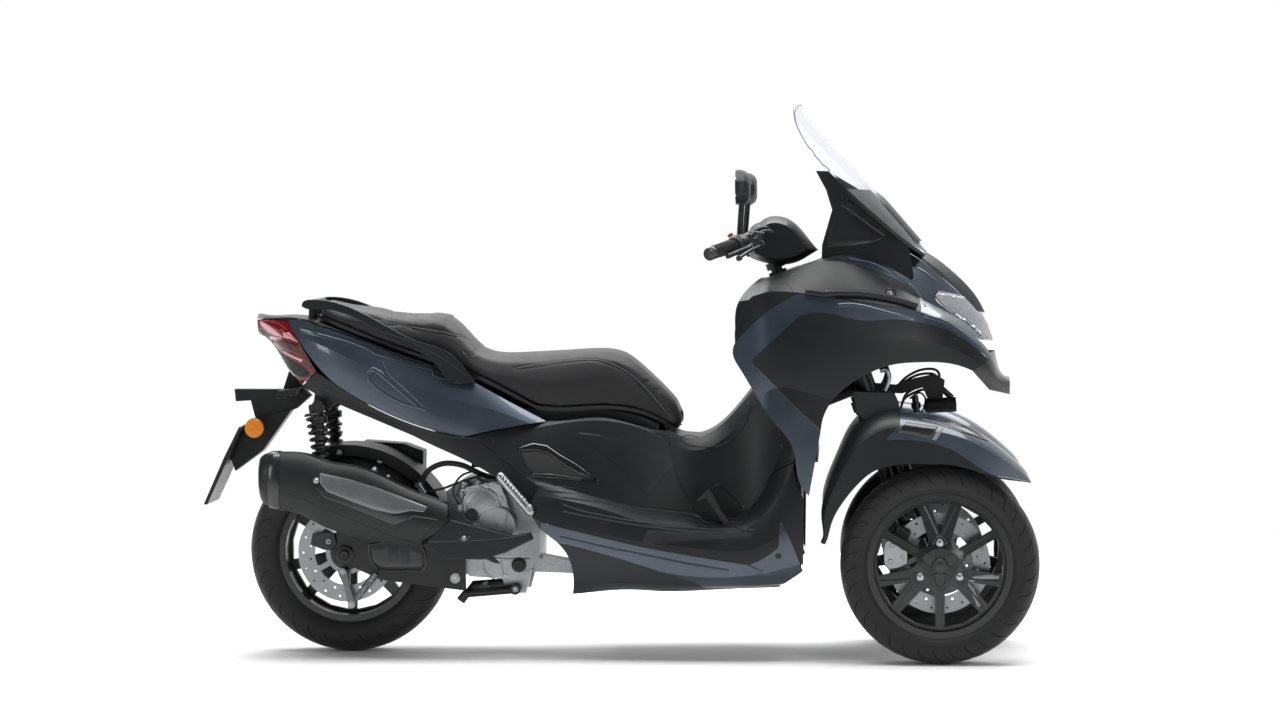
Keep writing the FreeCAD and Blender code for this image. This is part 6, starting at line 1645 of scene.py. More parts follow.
@dataclass
class Lamps(Part):
    """Housings, light guides and painted reflections of the chrome bowls behind the lenses, position lamps
    and reflectors.

    Attributes:
        inset_mm: How far the headlamp's housing lies inside its lens.
        fields: Fields of the lamps by the name of their piece: the lens that they lie on, their
            lift, their finish and pairs of side-view lines.
        red_lines: Side-view lines of the tail lamp's ribs.
        position: Side-view place of the position lamps.
        position_rim: Profile of their rim.
        position_bowl: Profile of their bowl.
        reflector_at: Side-view place of the amber reflectors.
        reflector: Their profile.
        indicator_screw: Side-view place and radius of the screws of the indicators.
    """

    inset_mm: float = 5.0
    fields: tuple = (
        # White pads in the headlamps: light guides, and painted reflections of their chrome bowls.
        (
            "headlamp_guides_and_painted_bowl_reflections", "headlamps", -2.2, Shop.GUIDE_AND_PAINTED_BOWL_REFLECTION,
            (
                ((1590, 958), (1599, 952), (1618, 932), (1640, 914)),
                ((1593, 962), (1605, 954), (1622, 937), (1643, 918)),
            ),
            (
                ((1605, 958), (1618, 944), (1643, 918), (1661, 908)),
                ((1619, 961), (1636, 957), (1651, 934), (1665, 909)),
            ),
            (
                ((1672, 952), (1700, 935), (1722, 910), (1738, 880), (1740, 856)),
                ((1676, 942), (1694, 924), (1710, 903), (1724, 876), (1733, 856)),
            ),
        ),
        (
            "headlamp_bezels", "headlamps", -2.2, Shop.SATIN,
            (
                ((1662, 905), (1692, 892), (1718, 872), (1733, 852)),
                ((1660, 898), (1684, 880), (1708, 860), (1730, 848)),
            ),
        ),
        (
            "tail_light_guides", "tail_lamp", 0.5, Shop.ROSE,
            (
                ((-239, 905), (-226, 901), (-198, 885), (-183, 873), (-170, 862)),
                ((-240, 895), (-233, 886), (-216, 874), (-200, 865), (-173, 860)),
            ),
            (((-179, 826), (-150, 815), (-110, 801)), ((-169, 816), (-140, 804), (-116, 793))),
            (((-217, 865), (-200, 862), (-173, 859)), ((-217, 851), (-192, 853), (-170, 856))),
            (((-170, 875), (-150, 876), (-124, 849)), ((-168, 858), (-148, 855), (-124, 847))),
        ),
        (
            "tail_lamp_cores", "tail_lamp", 0.5, Shop.RUBY_CORE,
            (
                ((-200, 844), (-168, 855), (-124, 846), (-96, 800), (-80, 770)),
                ((-182, 833), (-160, 824), (-112, 805), (-100, 785), (-92, 768)),
            ),
        ),
        (
            "tail_lamp_frames", "tail_lamp", 0.5, Shop.BLACK,
            (
                ((-241, 884), (-200, 864), (-204, 842), (-181, 824), (-152, 806), (-117, 790), (-90, 766)),
                ((-244, 868), (-226, 846), (-208, 812), (-186, 784), (-150, 762), (-122, 750), (-92, 754)),
            ),
        ),
    )
    red_lines: tuple = (
        ((-231, 905), (-205, 902), (-180, 895), (-158, 880)),
        ((-176, 884), (-160, 872), (-140, 860), (-124, 852)),
        ((-205, 848), (-186, 842), (-150, 826), (-118, 812)),
    )
    position: tuple[float, float] = (1468.0, 974.0)
    position_rim: tuple = ((15, -9), (15, 3), (13.4, 4.4), (12, 3.4), (11.4, 1.0), (3, 1.0))
    position_bowl: tuple = (
        (11.2, 1.2), (10.4, 2.4), (8.6, 1.6), (7.2, 2.6), (5.2, 1.8), (3.2, 3.0), (0.4, 3.2)
    )
    reflector_at: tuple[float, float] = (-251.0, 614.0)
    reflector: tuple = ((26, -3), (26, 3.5), (24.5, 5), (21, 5.4), (0.5, 5.6))
    indicator_screw: tuple = ((-160, 700, 5.0),)

    def housing(self) -> None:
        """Makes the grey housing inside the headlamps: their lens drawn in along its normals."""
        mesh = self.bench.solid("headlamps").data.copy()
        shell = bmesh.new()
        shell.from_mesh(mesh)
        bmesh.ops.remove_doubles(shell, verts=shell.verts, dist=WELD)
        shell.normal_update()
        for corner, way in [(corner, corner.normal.copy()) for corner in shell.verts]:
            corner.co -= way * self.inset_mm * MM
        shell.to_mesh(mesh)
        shell.free()
        self.bench.show("headlamp_housing", mesh, Shop.LAMP_GREY, "chassis", 40.0)

    def build(self) -> None:
        """Builds the lamps of the nose and the tail, and the reflectors."""
        self.housing()
        add, skin = self.bench.add, self.bench.skin
        for name, lens, lift, finish, *pairs in self.fields:
            made = [
                draped(skin(lens, side=side), first, second, lift, 2.5)
                for side in SIDES.values()
                for first, second in pairs
            ]
            add(name, made, finish)
        ribs = [skin("tail_lamp", side=side).beads(self.red_lines, 1.2, 0.0) for side in SIDES.values()]
        add("tail_lamp_ribs", sum(ribs, []), Shop.RED)
        rims, bowls, amber, screws = [], [], [], []
        for side in SIDES.values():
            spot, _ = skin("recess_panels", side=side).at(*self.position)
            out = Vector((0.25, side, 0.05))
            rims.append(turned(self.position_rim, spot, out))
            bowls.append(turned(self.position_bowl, spot, out))
            spot, _ = skin("plate_holder", side=side).at(*self.reflector_at)
            amber.append(turned(self.reflector, spot, outward(side), 40))
            screws += skin("rear_indicators", side=side).screws(self.indicator_screw, Head.SOCKET)
        add("position_lamp_rims", rims, Shop.BLACK)
        add("position_lamp_bowls", bowls, Shop.BOWL)
        add("side_reflectors", amber, Shop.AMBER)
        add("indicator_screws", screws, Shop.STEEL)
        LOG.info("lamps: housings, bowls, guides, position lamps and reflectors")


# Engine, silencer, linkage


@dataclass
class EngineDressing(Part):
    """Covers, ribs, screws, hoses and wires on the engine's right side.

    Attributes:
        cover: Middle of the round cover.
        dome: Its profile.
        ear: Profile of the ears round it.
        ear_ring_mm: Radius of the circle of ears.
        ear_angles: Where they stand, in degrees.
        screws: Side-view places and radii of the screws of the casing.
        ribs: Side-view lines of its ribs.
        window: Profile of the ring beside the cover's middle.
        window_step: Where that ring stands, seen from the cover's middle.
        fittings: Thermostat housing and two connectors: profile, foot, axis and corners of a ring.
        filler_at: Side-view place of the oil filler.
        filler: Its profile.
        hoses: Hoses and wires: places, radius, rings and corners of a ring.
    """

    cover: tuple[float, float] = (374.0, 409.0)
    dome: tuple = (
        (54, -14), (54, -1), (52, 2), (47, 4.5), (44, 4.5), (42, 3), (36, 5), (24, 7.5), (10, 9), (0.6, 9)
    )
    ear: tuple = ((9, -14), (9, 1), (8, 2.4), (2, 2.4))
    ear_ring_mm: float = 56.0
    ear_angles: tuple = (20, 75, 130, 185, 240, 300)
    screws: tuple = (
        (262, 405, 9.0), (428, 359, 9.0), (434, 215, 7.0), (340, 470, 7.0), (300, 212, 10.0),
        (384, 330, 6.0), (452, 296, 7.0), (352, 236, 6.0), (402, 466, 6.0),
    )
    ribs: tuple = (
        ((330, 476), (352, 482), (392, 480), (424, 466)),
        ((438, 440), (446, 400), (440, 366)),
        ((330, 262), (376, 268), (430, 262), (500, 262)),
        ((372, 252), (380, 226), (404, 206)),
        ((420, 256), (426, 226), (440, 204)),
        ((470, 258), (474, 236), (500, 228)),
    )
    window: tuple = ((17, -2), (17, 9.4), (15.5, 10.2), (12, 10.2), (11, 8.6), (10.5, 8.4))
    window_step: tuple = (-24, 0, -22)
    fittings: tuple = (
        (
            ((15, 0), (16, 4), (16, 22), (12, 26), (12, 34), (15, 36), (15, 42), (9, 46), (1, 46)),
            (318, -128, 430), (0.25, 0.0, 1.0), 28,
        ),
        (((11, 0), (11, 30), (8, 34), (1, 34)), (352, -132, 452), (0.6, -0.3, 0.8), 20),
        (((9, 0), (9, 26), (12, 27), (12, 34), (1, 35)), (214, -104, 440), (-0.5, -0.3, 0.8), 20),
    )
    filler_at: tuple[float, float] = (470.0, 246.0)
    filler: tuple = ((20, -4), (20, 3), (17, 5), (14, 5), (13, 9), (4, 9), (3, 12), (0.6, 12))
    hoses: tuple = (
        (
            (
                (204, -106, 462), (226, -116, 500), (268, -122, 520), (318, -122, 516), (362, -112, 494),
                (398, -96, 478),
            ),
            7.5, 70, 12,
        ),
        (
            ((222, -110, 446), (262, -128, 452), (312, -136, 470), (366, -132, 486), (410, -110, 480)), 3.4,
            60, 10,
        ),
        (
            ((330, -146, 392), (308, -150, 420), (296, -140, 452), (318, -132, 488), (360, -112, 502)), 2.8,
            60, 10,
        ),
        (((286, -150, 386), (276, -148, 350), (300, -140, 322), (330, -120, 300)), 4.0, 50, 10),
    )

    def build(self) -> None:
        """Builds everything that the engine carries."""
        add, skin, out = self.bench.add, self.bench.skin("engine"), outward(RIGHT)
        spot, _ = skin.at(*self.cover)
        covers, screws = [turned(self.dome, spot, out, 64)], []
        for angle in self.ear_angles:
            x, z = swung((self.ear_ring_mm, 0.0), self.cover, angle)
            ear = place(x, spot.y / MM, z)
            covers.append(turned(self.ear, ear, out, 20))
            screws += screw(ear + out * 2.4 * MM, out, 5.4, Head.HEX)
        screws += self.bench.skin("engine", "swing_arm").screws(self.screws, Head.HEX)
        add("engine_cover", covers, Shop.ALLOY)
        add("engine_ribs", skin.beads(self.ribs, 2.6, 0.4, 24), Shop.ALLOY)
        add("engine_screws", screws, Shop.ZINC)
        add("cover_window", turned(self.window, spot + Vector(self.window_step) * MM, out, 28), Shop.CASE)
        fittings = [
            turned(profile, place(*foot), way, around) for profile, foot, way, around in self.fittings
        ]
        add("engine_fittings", fittings, Shop.ALLOY)
        add("oil_filler", turned(self.filler, skin.at(*self.filler_at)[0], out, 36), Shop.STEEL)
        add("engine_hoses", [piped(*row) for row in self.hoses], Shop.GRIP)
        LOG.info("engine: cover, ribs, screws, starter, hoses and wires")


@dataclass
class SilencerDressing(Part):
    """Grey shield, seams, end cap and screws of the silencer and its front cover.

    Attributes:
        collar_steps: Collar of the end cap: places along the vehicle and millimetres off the skin.
        collar_middle: Its middle as y and z.
        shield: Upper and lower line of the grey shield.
        shadows: Pads that darken the gap round it: two lines, lift and sink.
        gap: Line over its upper edge.
        creases: Side-view lines of the silencer's creases.
        folds: Those of its front cover.
        boss: Two lines of the cover's boss.
        boss_at: Its middle.
        screws: Side-view places and radii of the silencer's screws.
    """

    collar_steps: tuple = ((-186, -1.5), (-186, 2.5), (-182, 3.6), (-160, 3.6), (-156, 2.4), (-154, -1.5))
    collar_middle: tuple[float, float] = (-150.0, 482.0)
    shield: tuple = (
        ((-46, 505), (30, 490), (111, 465), (180, 438), (240, 414)),
        ((-44, 478), (-26, 456), (40, 430), (98, 409), (150, 398), (168, 399), (196, 405), (230, 401)),
    )
    shadows: tuple = (
        (
            ((-60, 470), (-34, 440), (40, 412), (98, 388), (150, 366), (206, 386)),
            ((-44, 478), (-26, 456), (40, 430), (98, 409), (150, 398), (204, 402)),
            0.4, 1.5,
        ),
        (
            ((-50, 474), (-30, 450), (40, 424), (98, 403), (152, 392)),
            ((-44, 478), (-26, 456), (40, 430), (98, 409), (150, 398)),
            0.5, 1.0,
        ),
    )
    gap: tuple = ((-46, 508), (30, 494), (111, 469), (180, 442), (243, 417))
    creases: tuple = (
        ((-140, 452), (-96, 436), (-46, 415), (61, 372), (120, 346), (166, 329), (207, 316)),
        ((153, 352), (176, 372), (196, 388), (232, 386), (267, 379)),
        ((207, 316), (240, 345), (262, 372)),
    )
    folds: tuple = (
        ((222, 322), (290, 322), (380, 326), (473, 334)),
        ((300, 368), (330, 352), (352, 326)),
        ((380, 282), (420, 300), (470, 330)),
    )
    boss: tuple = (((320, 331), (338, 345), (356, 333)), ((320, 331.5), (336, 320), (356, 332.5)))
    boss_at: tuple[float, float] = (338.0, 332.0)
    screws: tuple = ((-55, 485, 6.0), (89, 508, 7.0), (130, 497, 4.5))

    def build(self) -> None:
        """Builds the pieces on the silencer."""
        add, skin, out = self.bench.add, self.bench.skin("exhaust", "exhaust_cover"), outward(RIGHT)
        add("silencer_shield", draped(skin, *self.shield, 1.2, 1.5, 10, 80), Shop.SHEET)
        dark = [draped(skin, *row) for row in self.shadows]
        add("shield_shadow_gap", [*dark, bead(skin, self.gap, 1.3, 0.4)], Shop.SATIN)
        add("silencer_creases", skin.beads(self.creases, 2.0, -0.9, 70), Shop.HEAT)
        add("end_cap_collar", self.collar(self.bench.solid("exhaust")), Shop.SATIN)
        add("cover_folds", skin.beads(self.folds, 1.8, -0.7, 50), Shop.BLACK)
        add("cover_boss", draped(skin, *self.boss, 1.2, 1.0, 8, 24), Shop.SATIN)
        spot, _ = skin.at(*self.boss_at)
        screws = screw(spot + out * 1.0 * MM, out, 6.0)
        add("silencer_screws", screws + skin.screws(self.screws, Head.DOME), Shop.ZINC)
        LOG.info("silencer: shield, seams and screws")

    def collar(self, solid: bpy.types.Object) -> Patch:
        """Wraps a stepped ring round the silencer where the end cap is pushed on.

        Ring (s, a) = place on the silencer's skin in the slice x(s), seen from its middle at
        angle a, moved out by lift(s).

        Args:
            solid: The silencer.

        Returns:
            The ring, closed both ways.
        """
        start, farthest = 160.0 * MM, 140.0 * MM
        rows = []
        for x_mm, lift in self.collar_steps:
            middle = place(x_mm, *self.collar_middle)
            ring, last = [], 60.0 * MM
            for angle in np.linspace(0.0, FULL_TURN, 72, endpoint=False):
                way = Vector((0.0, math.cos(angle), math.sin(angle)))
                found, spot, _, _ = solid.ray_cast(middle + way * start, -way)
                if found and (spot - middle).length < farthest:
                    last = (spot - middle).length
                ring.append(tuple(middle + way * (last + lift * MM)))
            rows.append(ring)
        return grid_patch(np.array(rows), closed_u=True, closed_v=True)


@dataclass
class FrontLinkage(Part):
    """What shows between the nose and the front mudguards: the boxes, the tilt lock and the hoses.

    Attributes:
        box: Side view of the cover on a fork.
        box_span: Its inner and outer face.
        arch: Line of the bracket above the fork, y counted outward.
        lock: Cylinder, stem and pin of the tilt lock: profile, foot, axis and corners of a ring.
        hoses: Hoses and wire: places, radius, rings and corners of a ring.
    """

    box: tuple = ((1366, 720), (1472, 715), (1497, 662), (1491, 646), (1398, 643), (1376, 657))
    box_span: tuple[float, float] = (168.0, 232.0)
    arch: tuple = ((1440, 120, 768), (1455, 120, 772), (1463, 120, 752), (1458, 120, 730), (1449, 120, 714))
    lock: tuple = (
        (
            ((12, 0), (19, 3), (19, 52), (16, 55), (16, 62), (19, 64), (19, 74), (8, 78), (8, 86), (1, 86)),
            (1560, -42, 671), (1.0, 0.0, 0.0), 32,
        ),
        (
            ((9, 0), (9, 20), (13, 22), (13, 36), (9, 38), (9, 56), (1, 57)), (1541, -52, 642),
            (-0.12, 0.0, 1.0), 24,
        ),
        (((8, 0), (8, 46), (1, 47)), (1600, -46, 722), (0.74, 0.0, -0.68), 16),
    )
    hoses: tuple = (
        (
            (
                (1480, -58, 714), (1510, -60, 746), (1548, -60, 766), (1586, -58, 768), (1600, -54, 752),
                (1588, -50, 732), (1548, -50, 722), (1512, -52, 702), (1500, -56, 674),
            ),
            3.6, 80, 10,
        ),
        (
            (
                (1476, -45, 701), (1506, -47, 733), (1544, -47, 753), (1582, -45, 755), (1596, -41, 739),
                (1584, -37, 719), (1544, -37, 709), (1508, -39, 689), (1496, -43, 661),
            ),
            3.6, 80, 10,
        ),
        (
            ((1520, -70, 690), (1546, -74, 706), (1562, -70, 690), (1556, -64, 660), (1540, -60, 640)), 2.6,
            50, 8,
        ),
    )

    def build(self) -> None:
        """Builds covers, brackets, the lock and hoses."""
        add = self.bench.add
        for side, sign in SIDES.items():
            add(f"fork_cover_{side}", slab(self.box, *self.box_span, 4.0, sign), Shop.GREY, f"steer_{side}")
        add("linkage_brackets", [piped(self.arch, 8.0, 24, 14, sign) for sign in SIDES.values()], Shop.SILVER)
        lock = [turned(profile, place(*foot), way, around) for profile, foot, way, around in self.lock]
        add("tilt_lock", lock, Shop.SATIN)
        add("linkage_hoses", [piped(*row) for row in self.hoses], Shop.GRIP)
        LOG.info("front linkage: covers, tilt lock and hoses")


# Controls


@dataclass
class Controls(Part):
    """Switch pods, levers, master cylinders, cables and mirror glass; y is counted outward.

    Attributes:
        grip_end: Outer end of the grip's axis.
        grip_foot: Its inner end.
        pod: Profile of the switch pod, from 4 mm outside the grip's foot.
        flange: Profile of the grip's flange.
        ring: Profile of one rib of the grip.
        rings: Where the first and the last rib stand along the grip, and their number.
        cap: Profile of the grip's end cap, from 9 mm inside its end.
        blade: Line of the lever.
        knob: Profile of the lever's end.
        tank: Profile, foot and axis of the fluid tank.
        cylinder: Profile and foot of the master cylinder.
        cable: Line of a cable.
        cable_steps: Steps of each cable along x and z.
        stop_switch: Profile, foot and axis of the red switch.
        mirror: Middle of the mirror as y and z.
        mirror_half: Half its glass's width and height.
    """

    grip_end: tuple = (1004, 422, 1087)
    grip_foot: tuple = (1062, 300, 1104)
    pod: tuple = ((14, -4), (24, -2), (27, 4), (27, 34), (24, 42), (15, 45))
    flange: tuple = ((17.5, -10), (22, -8), (24, -4), (24, -1), (17, 0))
    ring: tuple = ((16.6, -1.4), (17.9, -0.7), (17.9, 0.7), (16.6, 1.4))
    rings: tuple = (0.12, 0.86, 15)
    cap: tuple = ((3, -3), (8, -3.5), (9, -2), (14, -1.5), (16, 1), (16.4, 7), (15, 9))
    blade: tuple = (
        (1132, 214, 1104), (1122, 262, 1100), (1100, 330, 1090), (1082, 392, 1078), (1076, 416, 1073)
    )
    knob: tuple = ((7.5, -6), (7.5, 6), (1, 6.4))
    tank: tuple = (
        ((13, 0), (19, 2), (19, 24), (21, 25), (21, 31), (17, 33), (1, 33)), (1112, 196, 1108),
        (0.12, 0.0, 1.0)
    )
    cylinder: tuple = (((10, 0), (11, 4), (11, 52), (7, 58), (1, 58)), (1126, 224, 1106))
    cable: tuple = ((1098, 232, 1128), (1118, 190, 1148), (1140, 140, 1150), (1150, 96, 1142))
    cable_steps: tuple = ((0, 0), (10, -9))
    stop_switch: tuple = (((7.5, 0), (8, 5), (6.5, 8), (1, 8.6)), (1050, 268, 1128), (-0.5, 0.0, 0.85))
    mirror: tuple[float, float] = (334.8, 1256.1)
    mirror_half: tuple[float, float] = (66.0, 35.0)

    def build(self) -> None:
        """Builds everything on the bars."""
        pods, ribs, levers, tanks, cables = [], [], [], [], []
        for side in SIDES.values():
            end, foot, tip, tank, cylinder = (
                place(x, side * y, z)
                for x, y, z in (self.grip_end, self.grip_foot, self.blade[-1], self.tank[1], self.cylinder[1])
            )
            axis = (foot - end).normalized()
            pods.append(turned(self.pod, foot, axis, 24))
            ribs.append(turned(self.flange, foot, axis))
            ribs += [turned(self.ring, end + (foot - end) * at, axis, 24) for at in np.linspace(*self.rings)]
            levers.append(turned(self.cap, end, axis, 28))
            levers.append(piped(self.blade, 4.6, 48, 12, side))
            levers.append(turned(self.knob, tip, (0.22, -side, 0.12), 16))
            tanks.append(turned(self.tank[0], tank, self.tank[2], 28))
            tanks.append(turned(self.cylinder[0], cylinder, outward(-side), 20))
            for ahead, up in self.cable_steps:
                cables.append(piped([(x + ahead, y, z + up) for x, y, z in self.cable], 4.4, 50, 10, side))
        profile, (x, y, z), way = self.stop_switch
        add = self.bench.add
        add("switch_pods", pods, Shop.BLACK, "bars")
        add("grip_ribs", ribs, Shop.GRIP, "bars")
        add("brake_levers", levers, Shop.SATIN, "bars")
        add("master_cylinders", tanks, Shop.CASE, "bars")
        add("bar_cables", cables, Shop.GRIP, "bars")
        add("stop_switches", [turned(profile, place(x, RIGHT * y, z), way, 20)], Shop.RED, "bars")
        add("mirror_glass", [self.mirror_face(side) for side in SIDES.values()], Shop.MIRROR, "bars")
        LOG.info("controls: pods, levers, cylinders, cables and mirror glass")

    def mirror_face(self, side: int) -> Patch:
        """Lays the glass on the plane of a mirror's rear face, inside its rim.

        Outline (a) = half width * cos a ** 0.6 and half height * sin a ** 0.6, signs kept.

        Args:
            side: Right or left.

        Returns:
            The glass.
        """
        solid = self.bench.solid("mirrors")
        middle = np.array((self.mirror[0] * side, self.mirror[1]))
        across, up = 24.0, 16.0
        at, beside, above = (
            solid.ray_cast(place(400.0, *spot), Vector((1.0, 0.0, 0.0)))[1].x
            for spot in (middle, middle + (across, 0.0), middle + (0.0, up))
        )
        lean_y, lean_z = (beside - at) / (across * MM), (above - at) / (up * MM)
        angle = np.linspace(0, FULL_TURN, 40, endpoint=False)
        share = np.linspace(0.05, 1.0, 7)[:, None]
        wide, tall = (
            half * MM * share * (np.sign(wave) * np.abs(wave) ** 0.6)
            for half, wave in zip(self.mirror_half, (np.cos(angle), np.sin(angle)))
        )
        proud = np.where(share < 0.99, 1.4, 0.4) * MM
        face = np.stack(
            [at + wide * lean_y + tall * lean_z - proud, middle[0] * MM + wide, middle[1] * MM + tall], -1
        )
        back = face[::-1] + np.array((2.0 * MM, 0.0, 0.0))
        return grid_patch(np.concatenate([face, back]), closed_v=True, caps=True)


# Bodywork


@dataclass(frozen=True)
class Line:
    """A rounded line that lies on named solids.

    Attributes:
        nodes: Names of the solids that it lies on; a star stands for the side.
        path: Side-view places.
        radius: Its radius in millimetres.
        lift: Millimetres from the skin to its middle.
    """

    nodes: str
    path: tuple
    radius: float = 9.0
    lift: float = -7.4

    def laid(self, skin: Skin) -> Patch:
        """Returns the line on a skin, round in section where it is a broad crease."""
        return bead(
            skin, self.path, self.radius, self.lift, 12 * len(self.path), 20 if self.radius > 5 else 8
        )


@dataclass(frozen=True)
class Pad:
    """A thin pad between two side-view lines on named solids.

    Attributes:
        nodes: Names of the solids that it lies on; a star stands for the side.
        lift: Millimetres that it stands proud.
        first: One long side.
        second: The other.
    """

    nodes: str
    lift: float
    first: tuple
    second: tuple

    def laid(self, skin: Skin) -> Patch:
        """Returns the pad on a skin."""
        return draped(skin, self.first, self.second, self.lift, 1.2, 8, 50)


FRONT = "nose_cowl side_trims side_cowls recess_panels nose_tip"
MIDDLE = "side_covers tunnel_cover leg_shield floor_boards"
FLOOR = "floor_boards side_covers"


@dataclass
class Bodywork(Part):
    """Crease lines, seams, ribs, vents and screws of the panels, the same on both sides.

    Attributes:
        forms: Pieces of the fixed panels: name, finish and the lines or pads that they consist of.
        guards: The same for the mudguards, which turn with the wheels.
        screws: Screws of the panels: solids, then x, z and radius of each.
        hugger_screws: Side-view places and radii of the rear hugger's screws.
        clamp_top_mm: Height of the upper end of the clamp on the screen.
        clamp_foot_mm: Height of its lower end.
        clamp_half_mm: Its half width.
        clamp_lift_mm: How far it stands proud.
        clamp_round: Share of its height over which its upper end is rounded.
        rim_from_mm: Height at which the bead along the screen's rim starts.
        rim_to_mm: Height at which it turns over the top.
        peg_span: Upper rear and lower front end of the tread on a peg, as x and z.
    """

    forms: tuple = (
        (
            "paint_creases", Shop.PAINT,
            Line(FRONT, ((1361, 1070), (1428, 1053), (1487, 1019), (1534, 982), (1560, 940))),
            Line(FRONT, ((1395, 1100), (1440, 1078), (1500, 1052), (1548, 1036), (1590, 1006))),
            Line(FRONT, ((1555, 917), (1608, 900), (1658, 869), (1699, 833))),
            Line("side_trims", ((1330, 946), (1361, 948), (1400, 942), (1459, 926), (1530, 906))),
            Line("tail_panels", ((-119, 880), (-7, 853), (60, 830), (97, 811), (210, 784), (330, 752))),
            Line("tail_panels", ((72, 768), (90, 777), (120, 752), (213, 672))),
            Line("tail_panels", ((72, 768), (78, 744), (110, 716), (160, 688), (229, 668))),
            Line("tail_panels", ((102, 815), (128, 764), (180, 716), (229, 668)), 1.6, -0.6),
            Line("sill_panels", ((593, 334), (717, 306), (811, 288), (920, 266), (1040, 246))),
            Line("sill_panels", ((1091, 260), (1120, 246), (1148, 234))),
        ),
        (
            "panel_creases", Shop.BLACK,
            Line(
                "recess_panels", ((1236, 900), (1300, 936), (1370, 944), (1450, 936), (1530, 926)), 10.0,
                -8.2,
            ),
            Line(
                MIDDLE,
                (
                    (842, 606), (880, 590), (905, 585), (927, 570), (960, 565),
                    (1002, 566), (1030, 574), (1050, 590), (1083, 631), (1096, 674),
                ),
                1.8, 0.0,
            ),
            Line(MIDDLE, ((905, 590), (925, 592), (953, 589)), 1.4, 0.0),
            Line(MIDDLE, ((992, 455), (1010, 462), (1040, 440), (1068, 410), (1076, 380)), 2.4, -0.6),
            Line("tail_trims", ((-100, 700), (0, 690), (120, 640), (250, 600), (380, 590)), 1.6, -0.6),
            Line("grab_rail", ((10, 905), (97, 880), (180, 852), (260, 812), (330, 765)), 1.6, -0.6),
        ),
        (
            "floor_ribs", Shop.GREY,
            Line(
                FLOOR, ((600, 440), (700, 424), (830, 402), (928, 389), (960, 380), (983, 369), (1080, 369)),
                3.2, -0.8,
            ),
            Line(FLOOR, ((600, 420), (662, 401), (795, 376), (900, 364), (995, 354), (1110, 354)), 3.2, -0.8),
            Line(FLOOR, ((600, 402), (720, 380), (827, 362), (960, 348), (1090, 347)), 3.2, -0.8),
        ),
        (
            "side_vents", Shop.GLOSS,
            Pad(
                "side_covers", 2.2,
                ((475, 565), (489, 571), (517, 579), (553, 573), (589, 549), (632, 525), (691, 482)),
                ((480, 558), (495, 560), (525, 562), (560, 553), (596, 527), (636, 502), (691, 481)),
            ),
            Pad(
                "side_covers", 1.8,
                ((520, 500), (560, 499), (590, 496), (644, 487), (691, 482)),
                ((516, 492), (560, 489), (590, 487), (644, 480), (691, 480)),
            ),
        ),
        (
            "cover_swells", Shop.BLACK,
            Pad(
                "side_covers", 1.8,
                ((640, 606), (700, 600), (778, 582), (843, 556), (900, 530)),
                ((636, 600), (676, 574), (740, 520), (790, 470), (822, 444)),
            ),
            Pad(
                "side_covers", 1.4,
                ((456, 536), (466, 512), (500, 482), (560, 470), (640, 462)),
                ((446, 520), (458, 492), (500, 462), (560, 452), (640, 446)),
            ),
        ),
        (
            "screen_wing_facets", Shop.SATIN,
            Pad(
                "instrument", 2.0,
                ((1333, 1200), (1361, 1180), (1417, 1137), (1446, 1120)),
                ((1298, 1098), (1327, 1099), (1367, 1102), (1430, 1112)),
            ),
            Pad(
                "instrument", 1.2,
                ((1340, 1232), (1380, 1214), (1424, 1180), (1460, 1150)),
                ((1338, 1208), (1368, 1188), (1420, 1148), (1452, 1126)),
            ),
        ),
        (
            "vent_floors", Shop.GRIP,
            Pad(
                "side_covers", 0.4,
                ((484, 557), (525, 561), (560, 552), (596, 526), (636, 501), (680, 484)),
                ((500, 520), (520, 501), (560, 499), (590, 496), (644, 487), (680, 483)),
            ),
        ),
        (
            "floor_mats", Shop.GREY,
            Pad(
                "floor_boards", 0.9,
                ((806, 314), (912, 324), (1000, 330), (1102, 335)),
                ((827, 354), (912, 350), (1000, 347), (1100, 346)),
            ),
        ),
    )
    guards: tuple = (
        (
            "mudguard_stripe", Shop.DECAL,
            Pad(
                "mudguard_*", 1.8,
                ((1591, 628), (1582, 611), (1573, 596)),
                ((1604, 625), (1594, 609), (1584, 594)),
            ),
        ),
        (
            "mudguard_dark", Shop.SATIN,
            Pad(
                "mudguard_*", 1.6,
                ((1509, 641), (1550, 635), (1590, 629)),
                ((1480, 615), (1520, 610), (1566, 599)),
            ),
            Pad(
                "mudguard_*", 1.6,
                ((1529, 650), (1556, 652), (1611, 641), (1665, 623), (1722, 589)),
                ((1530, 649), (1578, 640), (1610, 627), (1675, 606), (1722, 588)),
            ),
        ),
    )
    screws: tuple = (
        (MIDDLE, ((1178, 567, 6.5), (1075, 402, 6.0))),
        ("sill_panels", ((1171, 286, 6.0),)),
        ("side_covers", ((410, 584, 5.0), (636, 452, 4.5))),
    )
    hugger_screws: tuple = ((89, 520, 6.0), (-20, 548, 6.0))
    clamp_top_mm: float = 1246.0
    clamp_foot_mm: float = 1112.0
    clamp_half_mm: float = 74.0
    clamp_lift_mm: float = 7.0
    clamp_round: float = 0.35
    rim_from_mm: float = 1150.0
    rim_to_mm: float = 1474.0
    peg_span: tuple = ((438.72, 493.28), (499.2, 432.8))

    def laid(self, forms: list, word: str) -> list[Patch]:
        """Returns lines and pads laid on one side.

        Args:
            forms: Lines or pads.
            word: Name of the side.
        """
        skins = [self.bench.skin(*form.nodes.replace("*", word).split(), side=SIDES[word]) for form in forms]
        return [form.laid(skin) for form, skin in zip(forms, skins)]

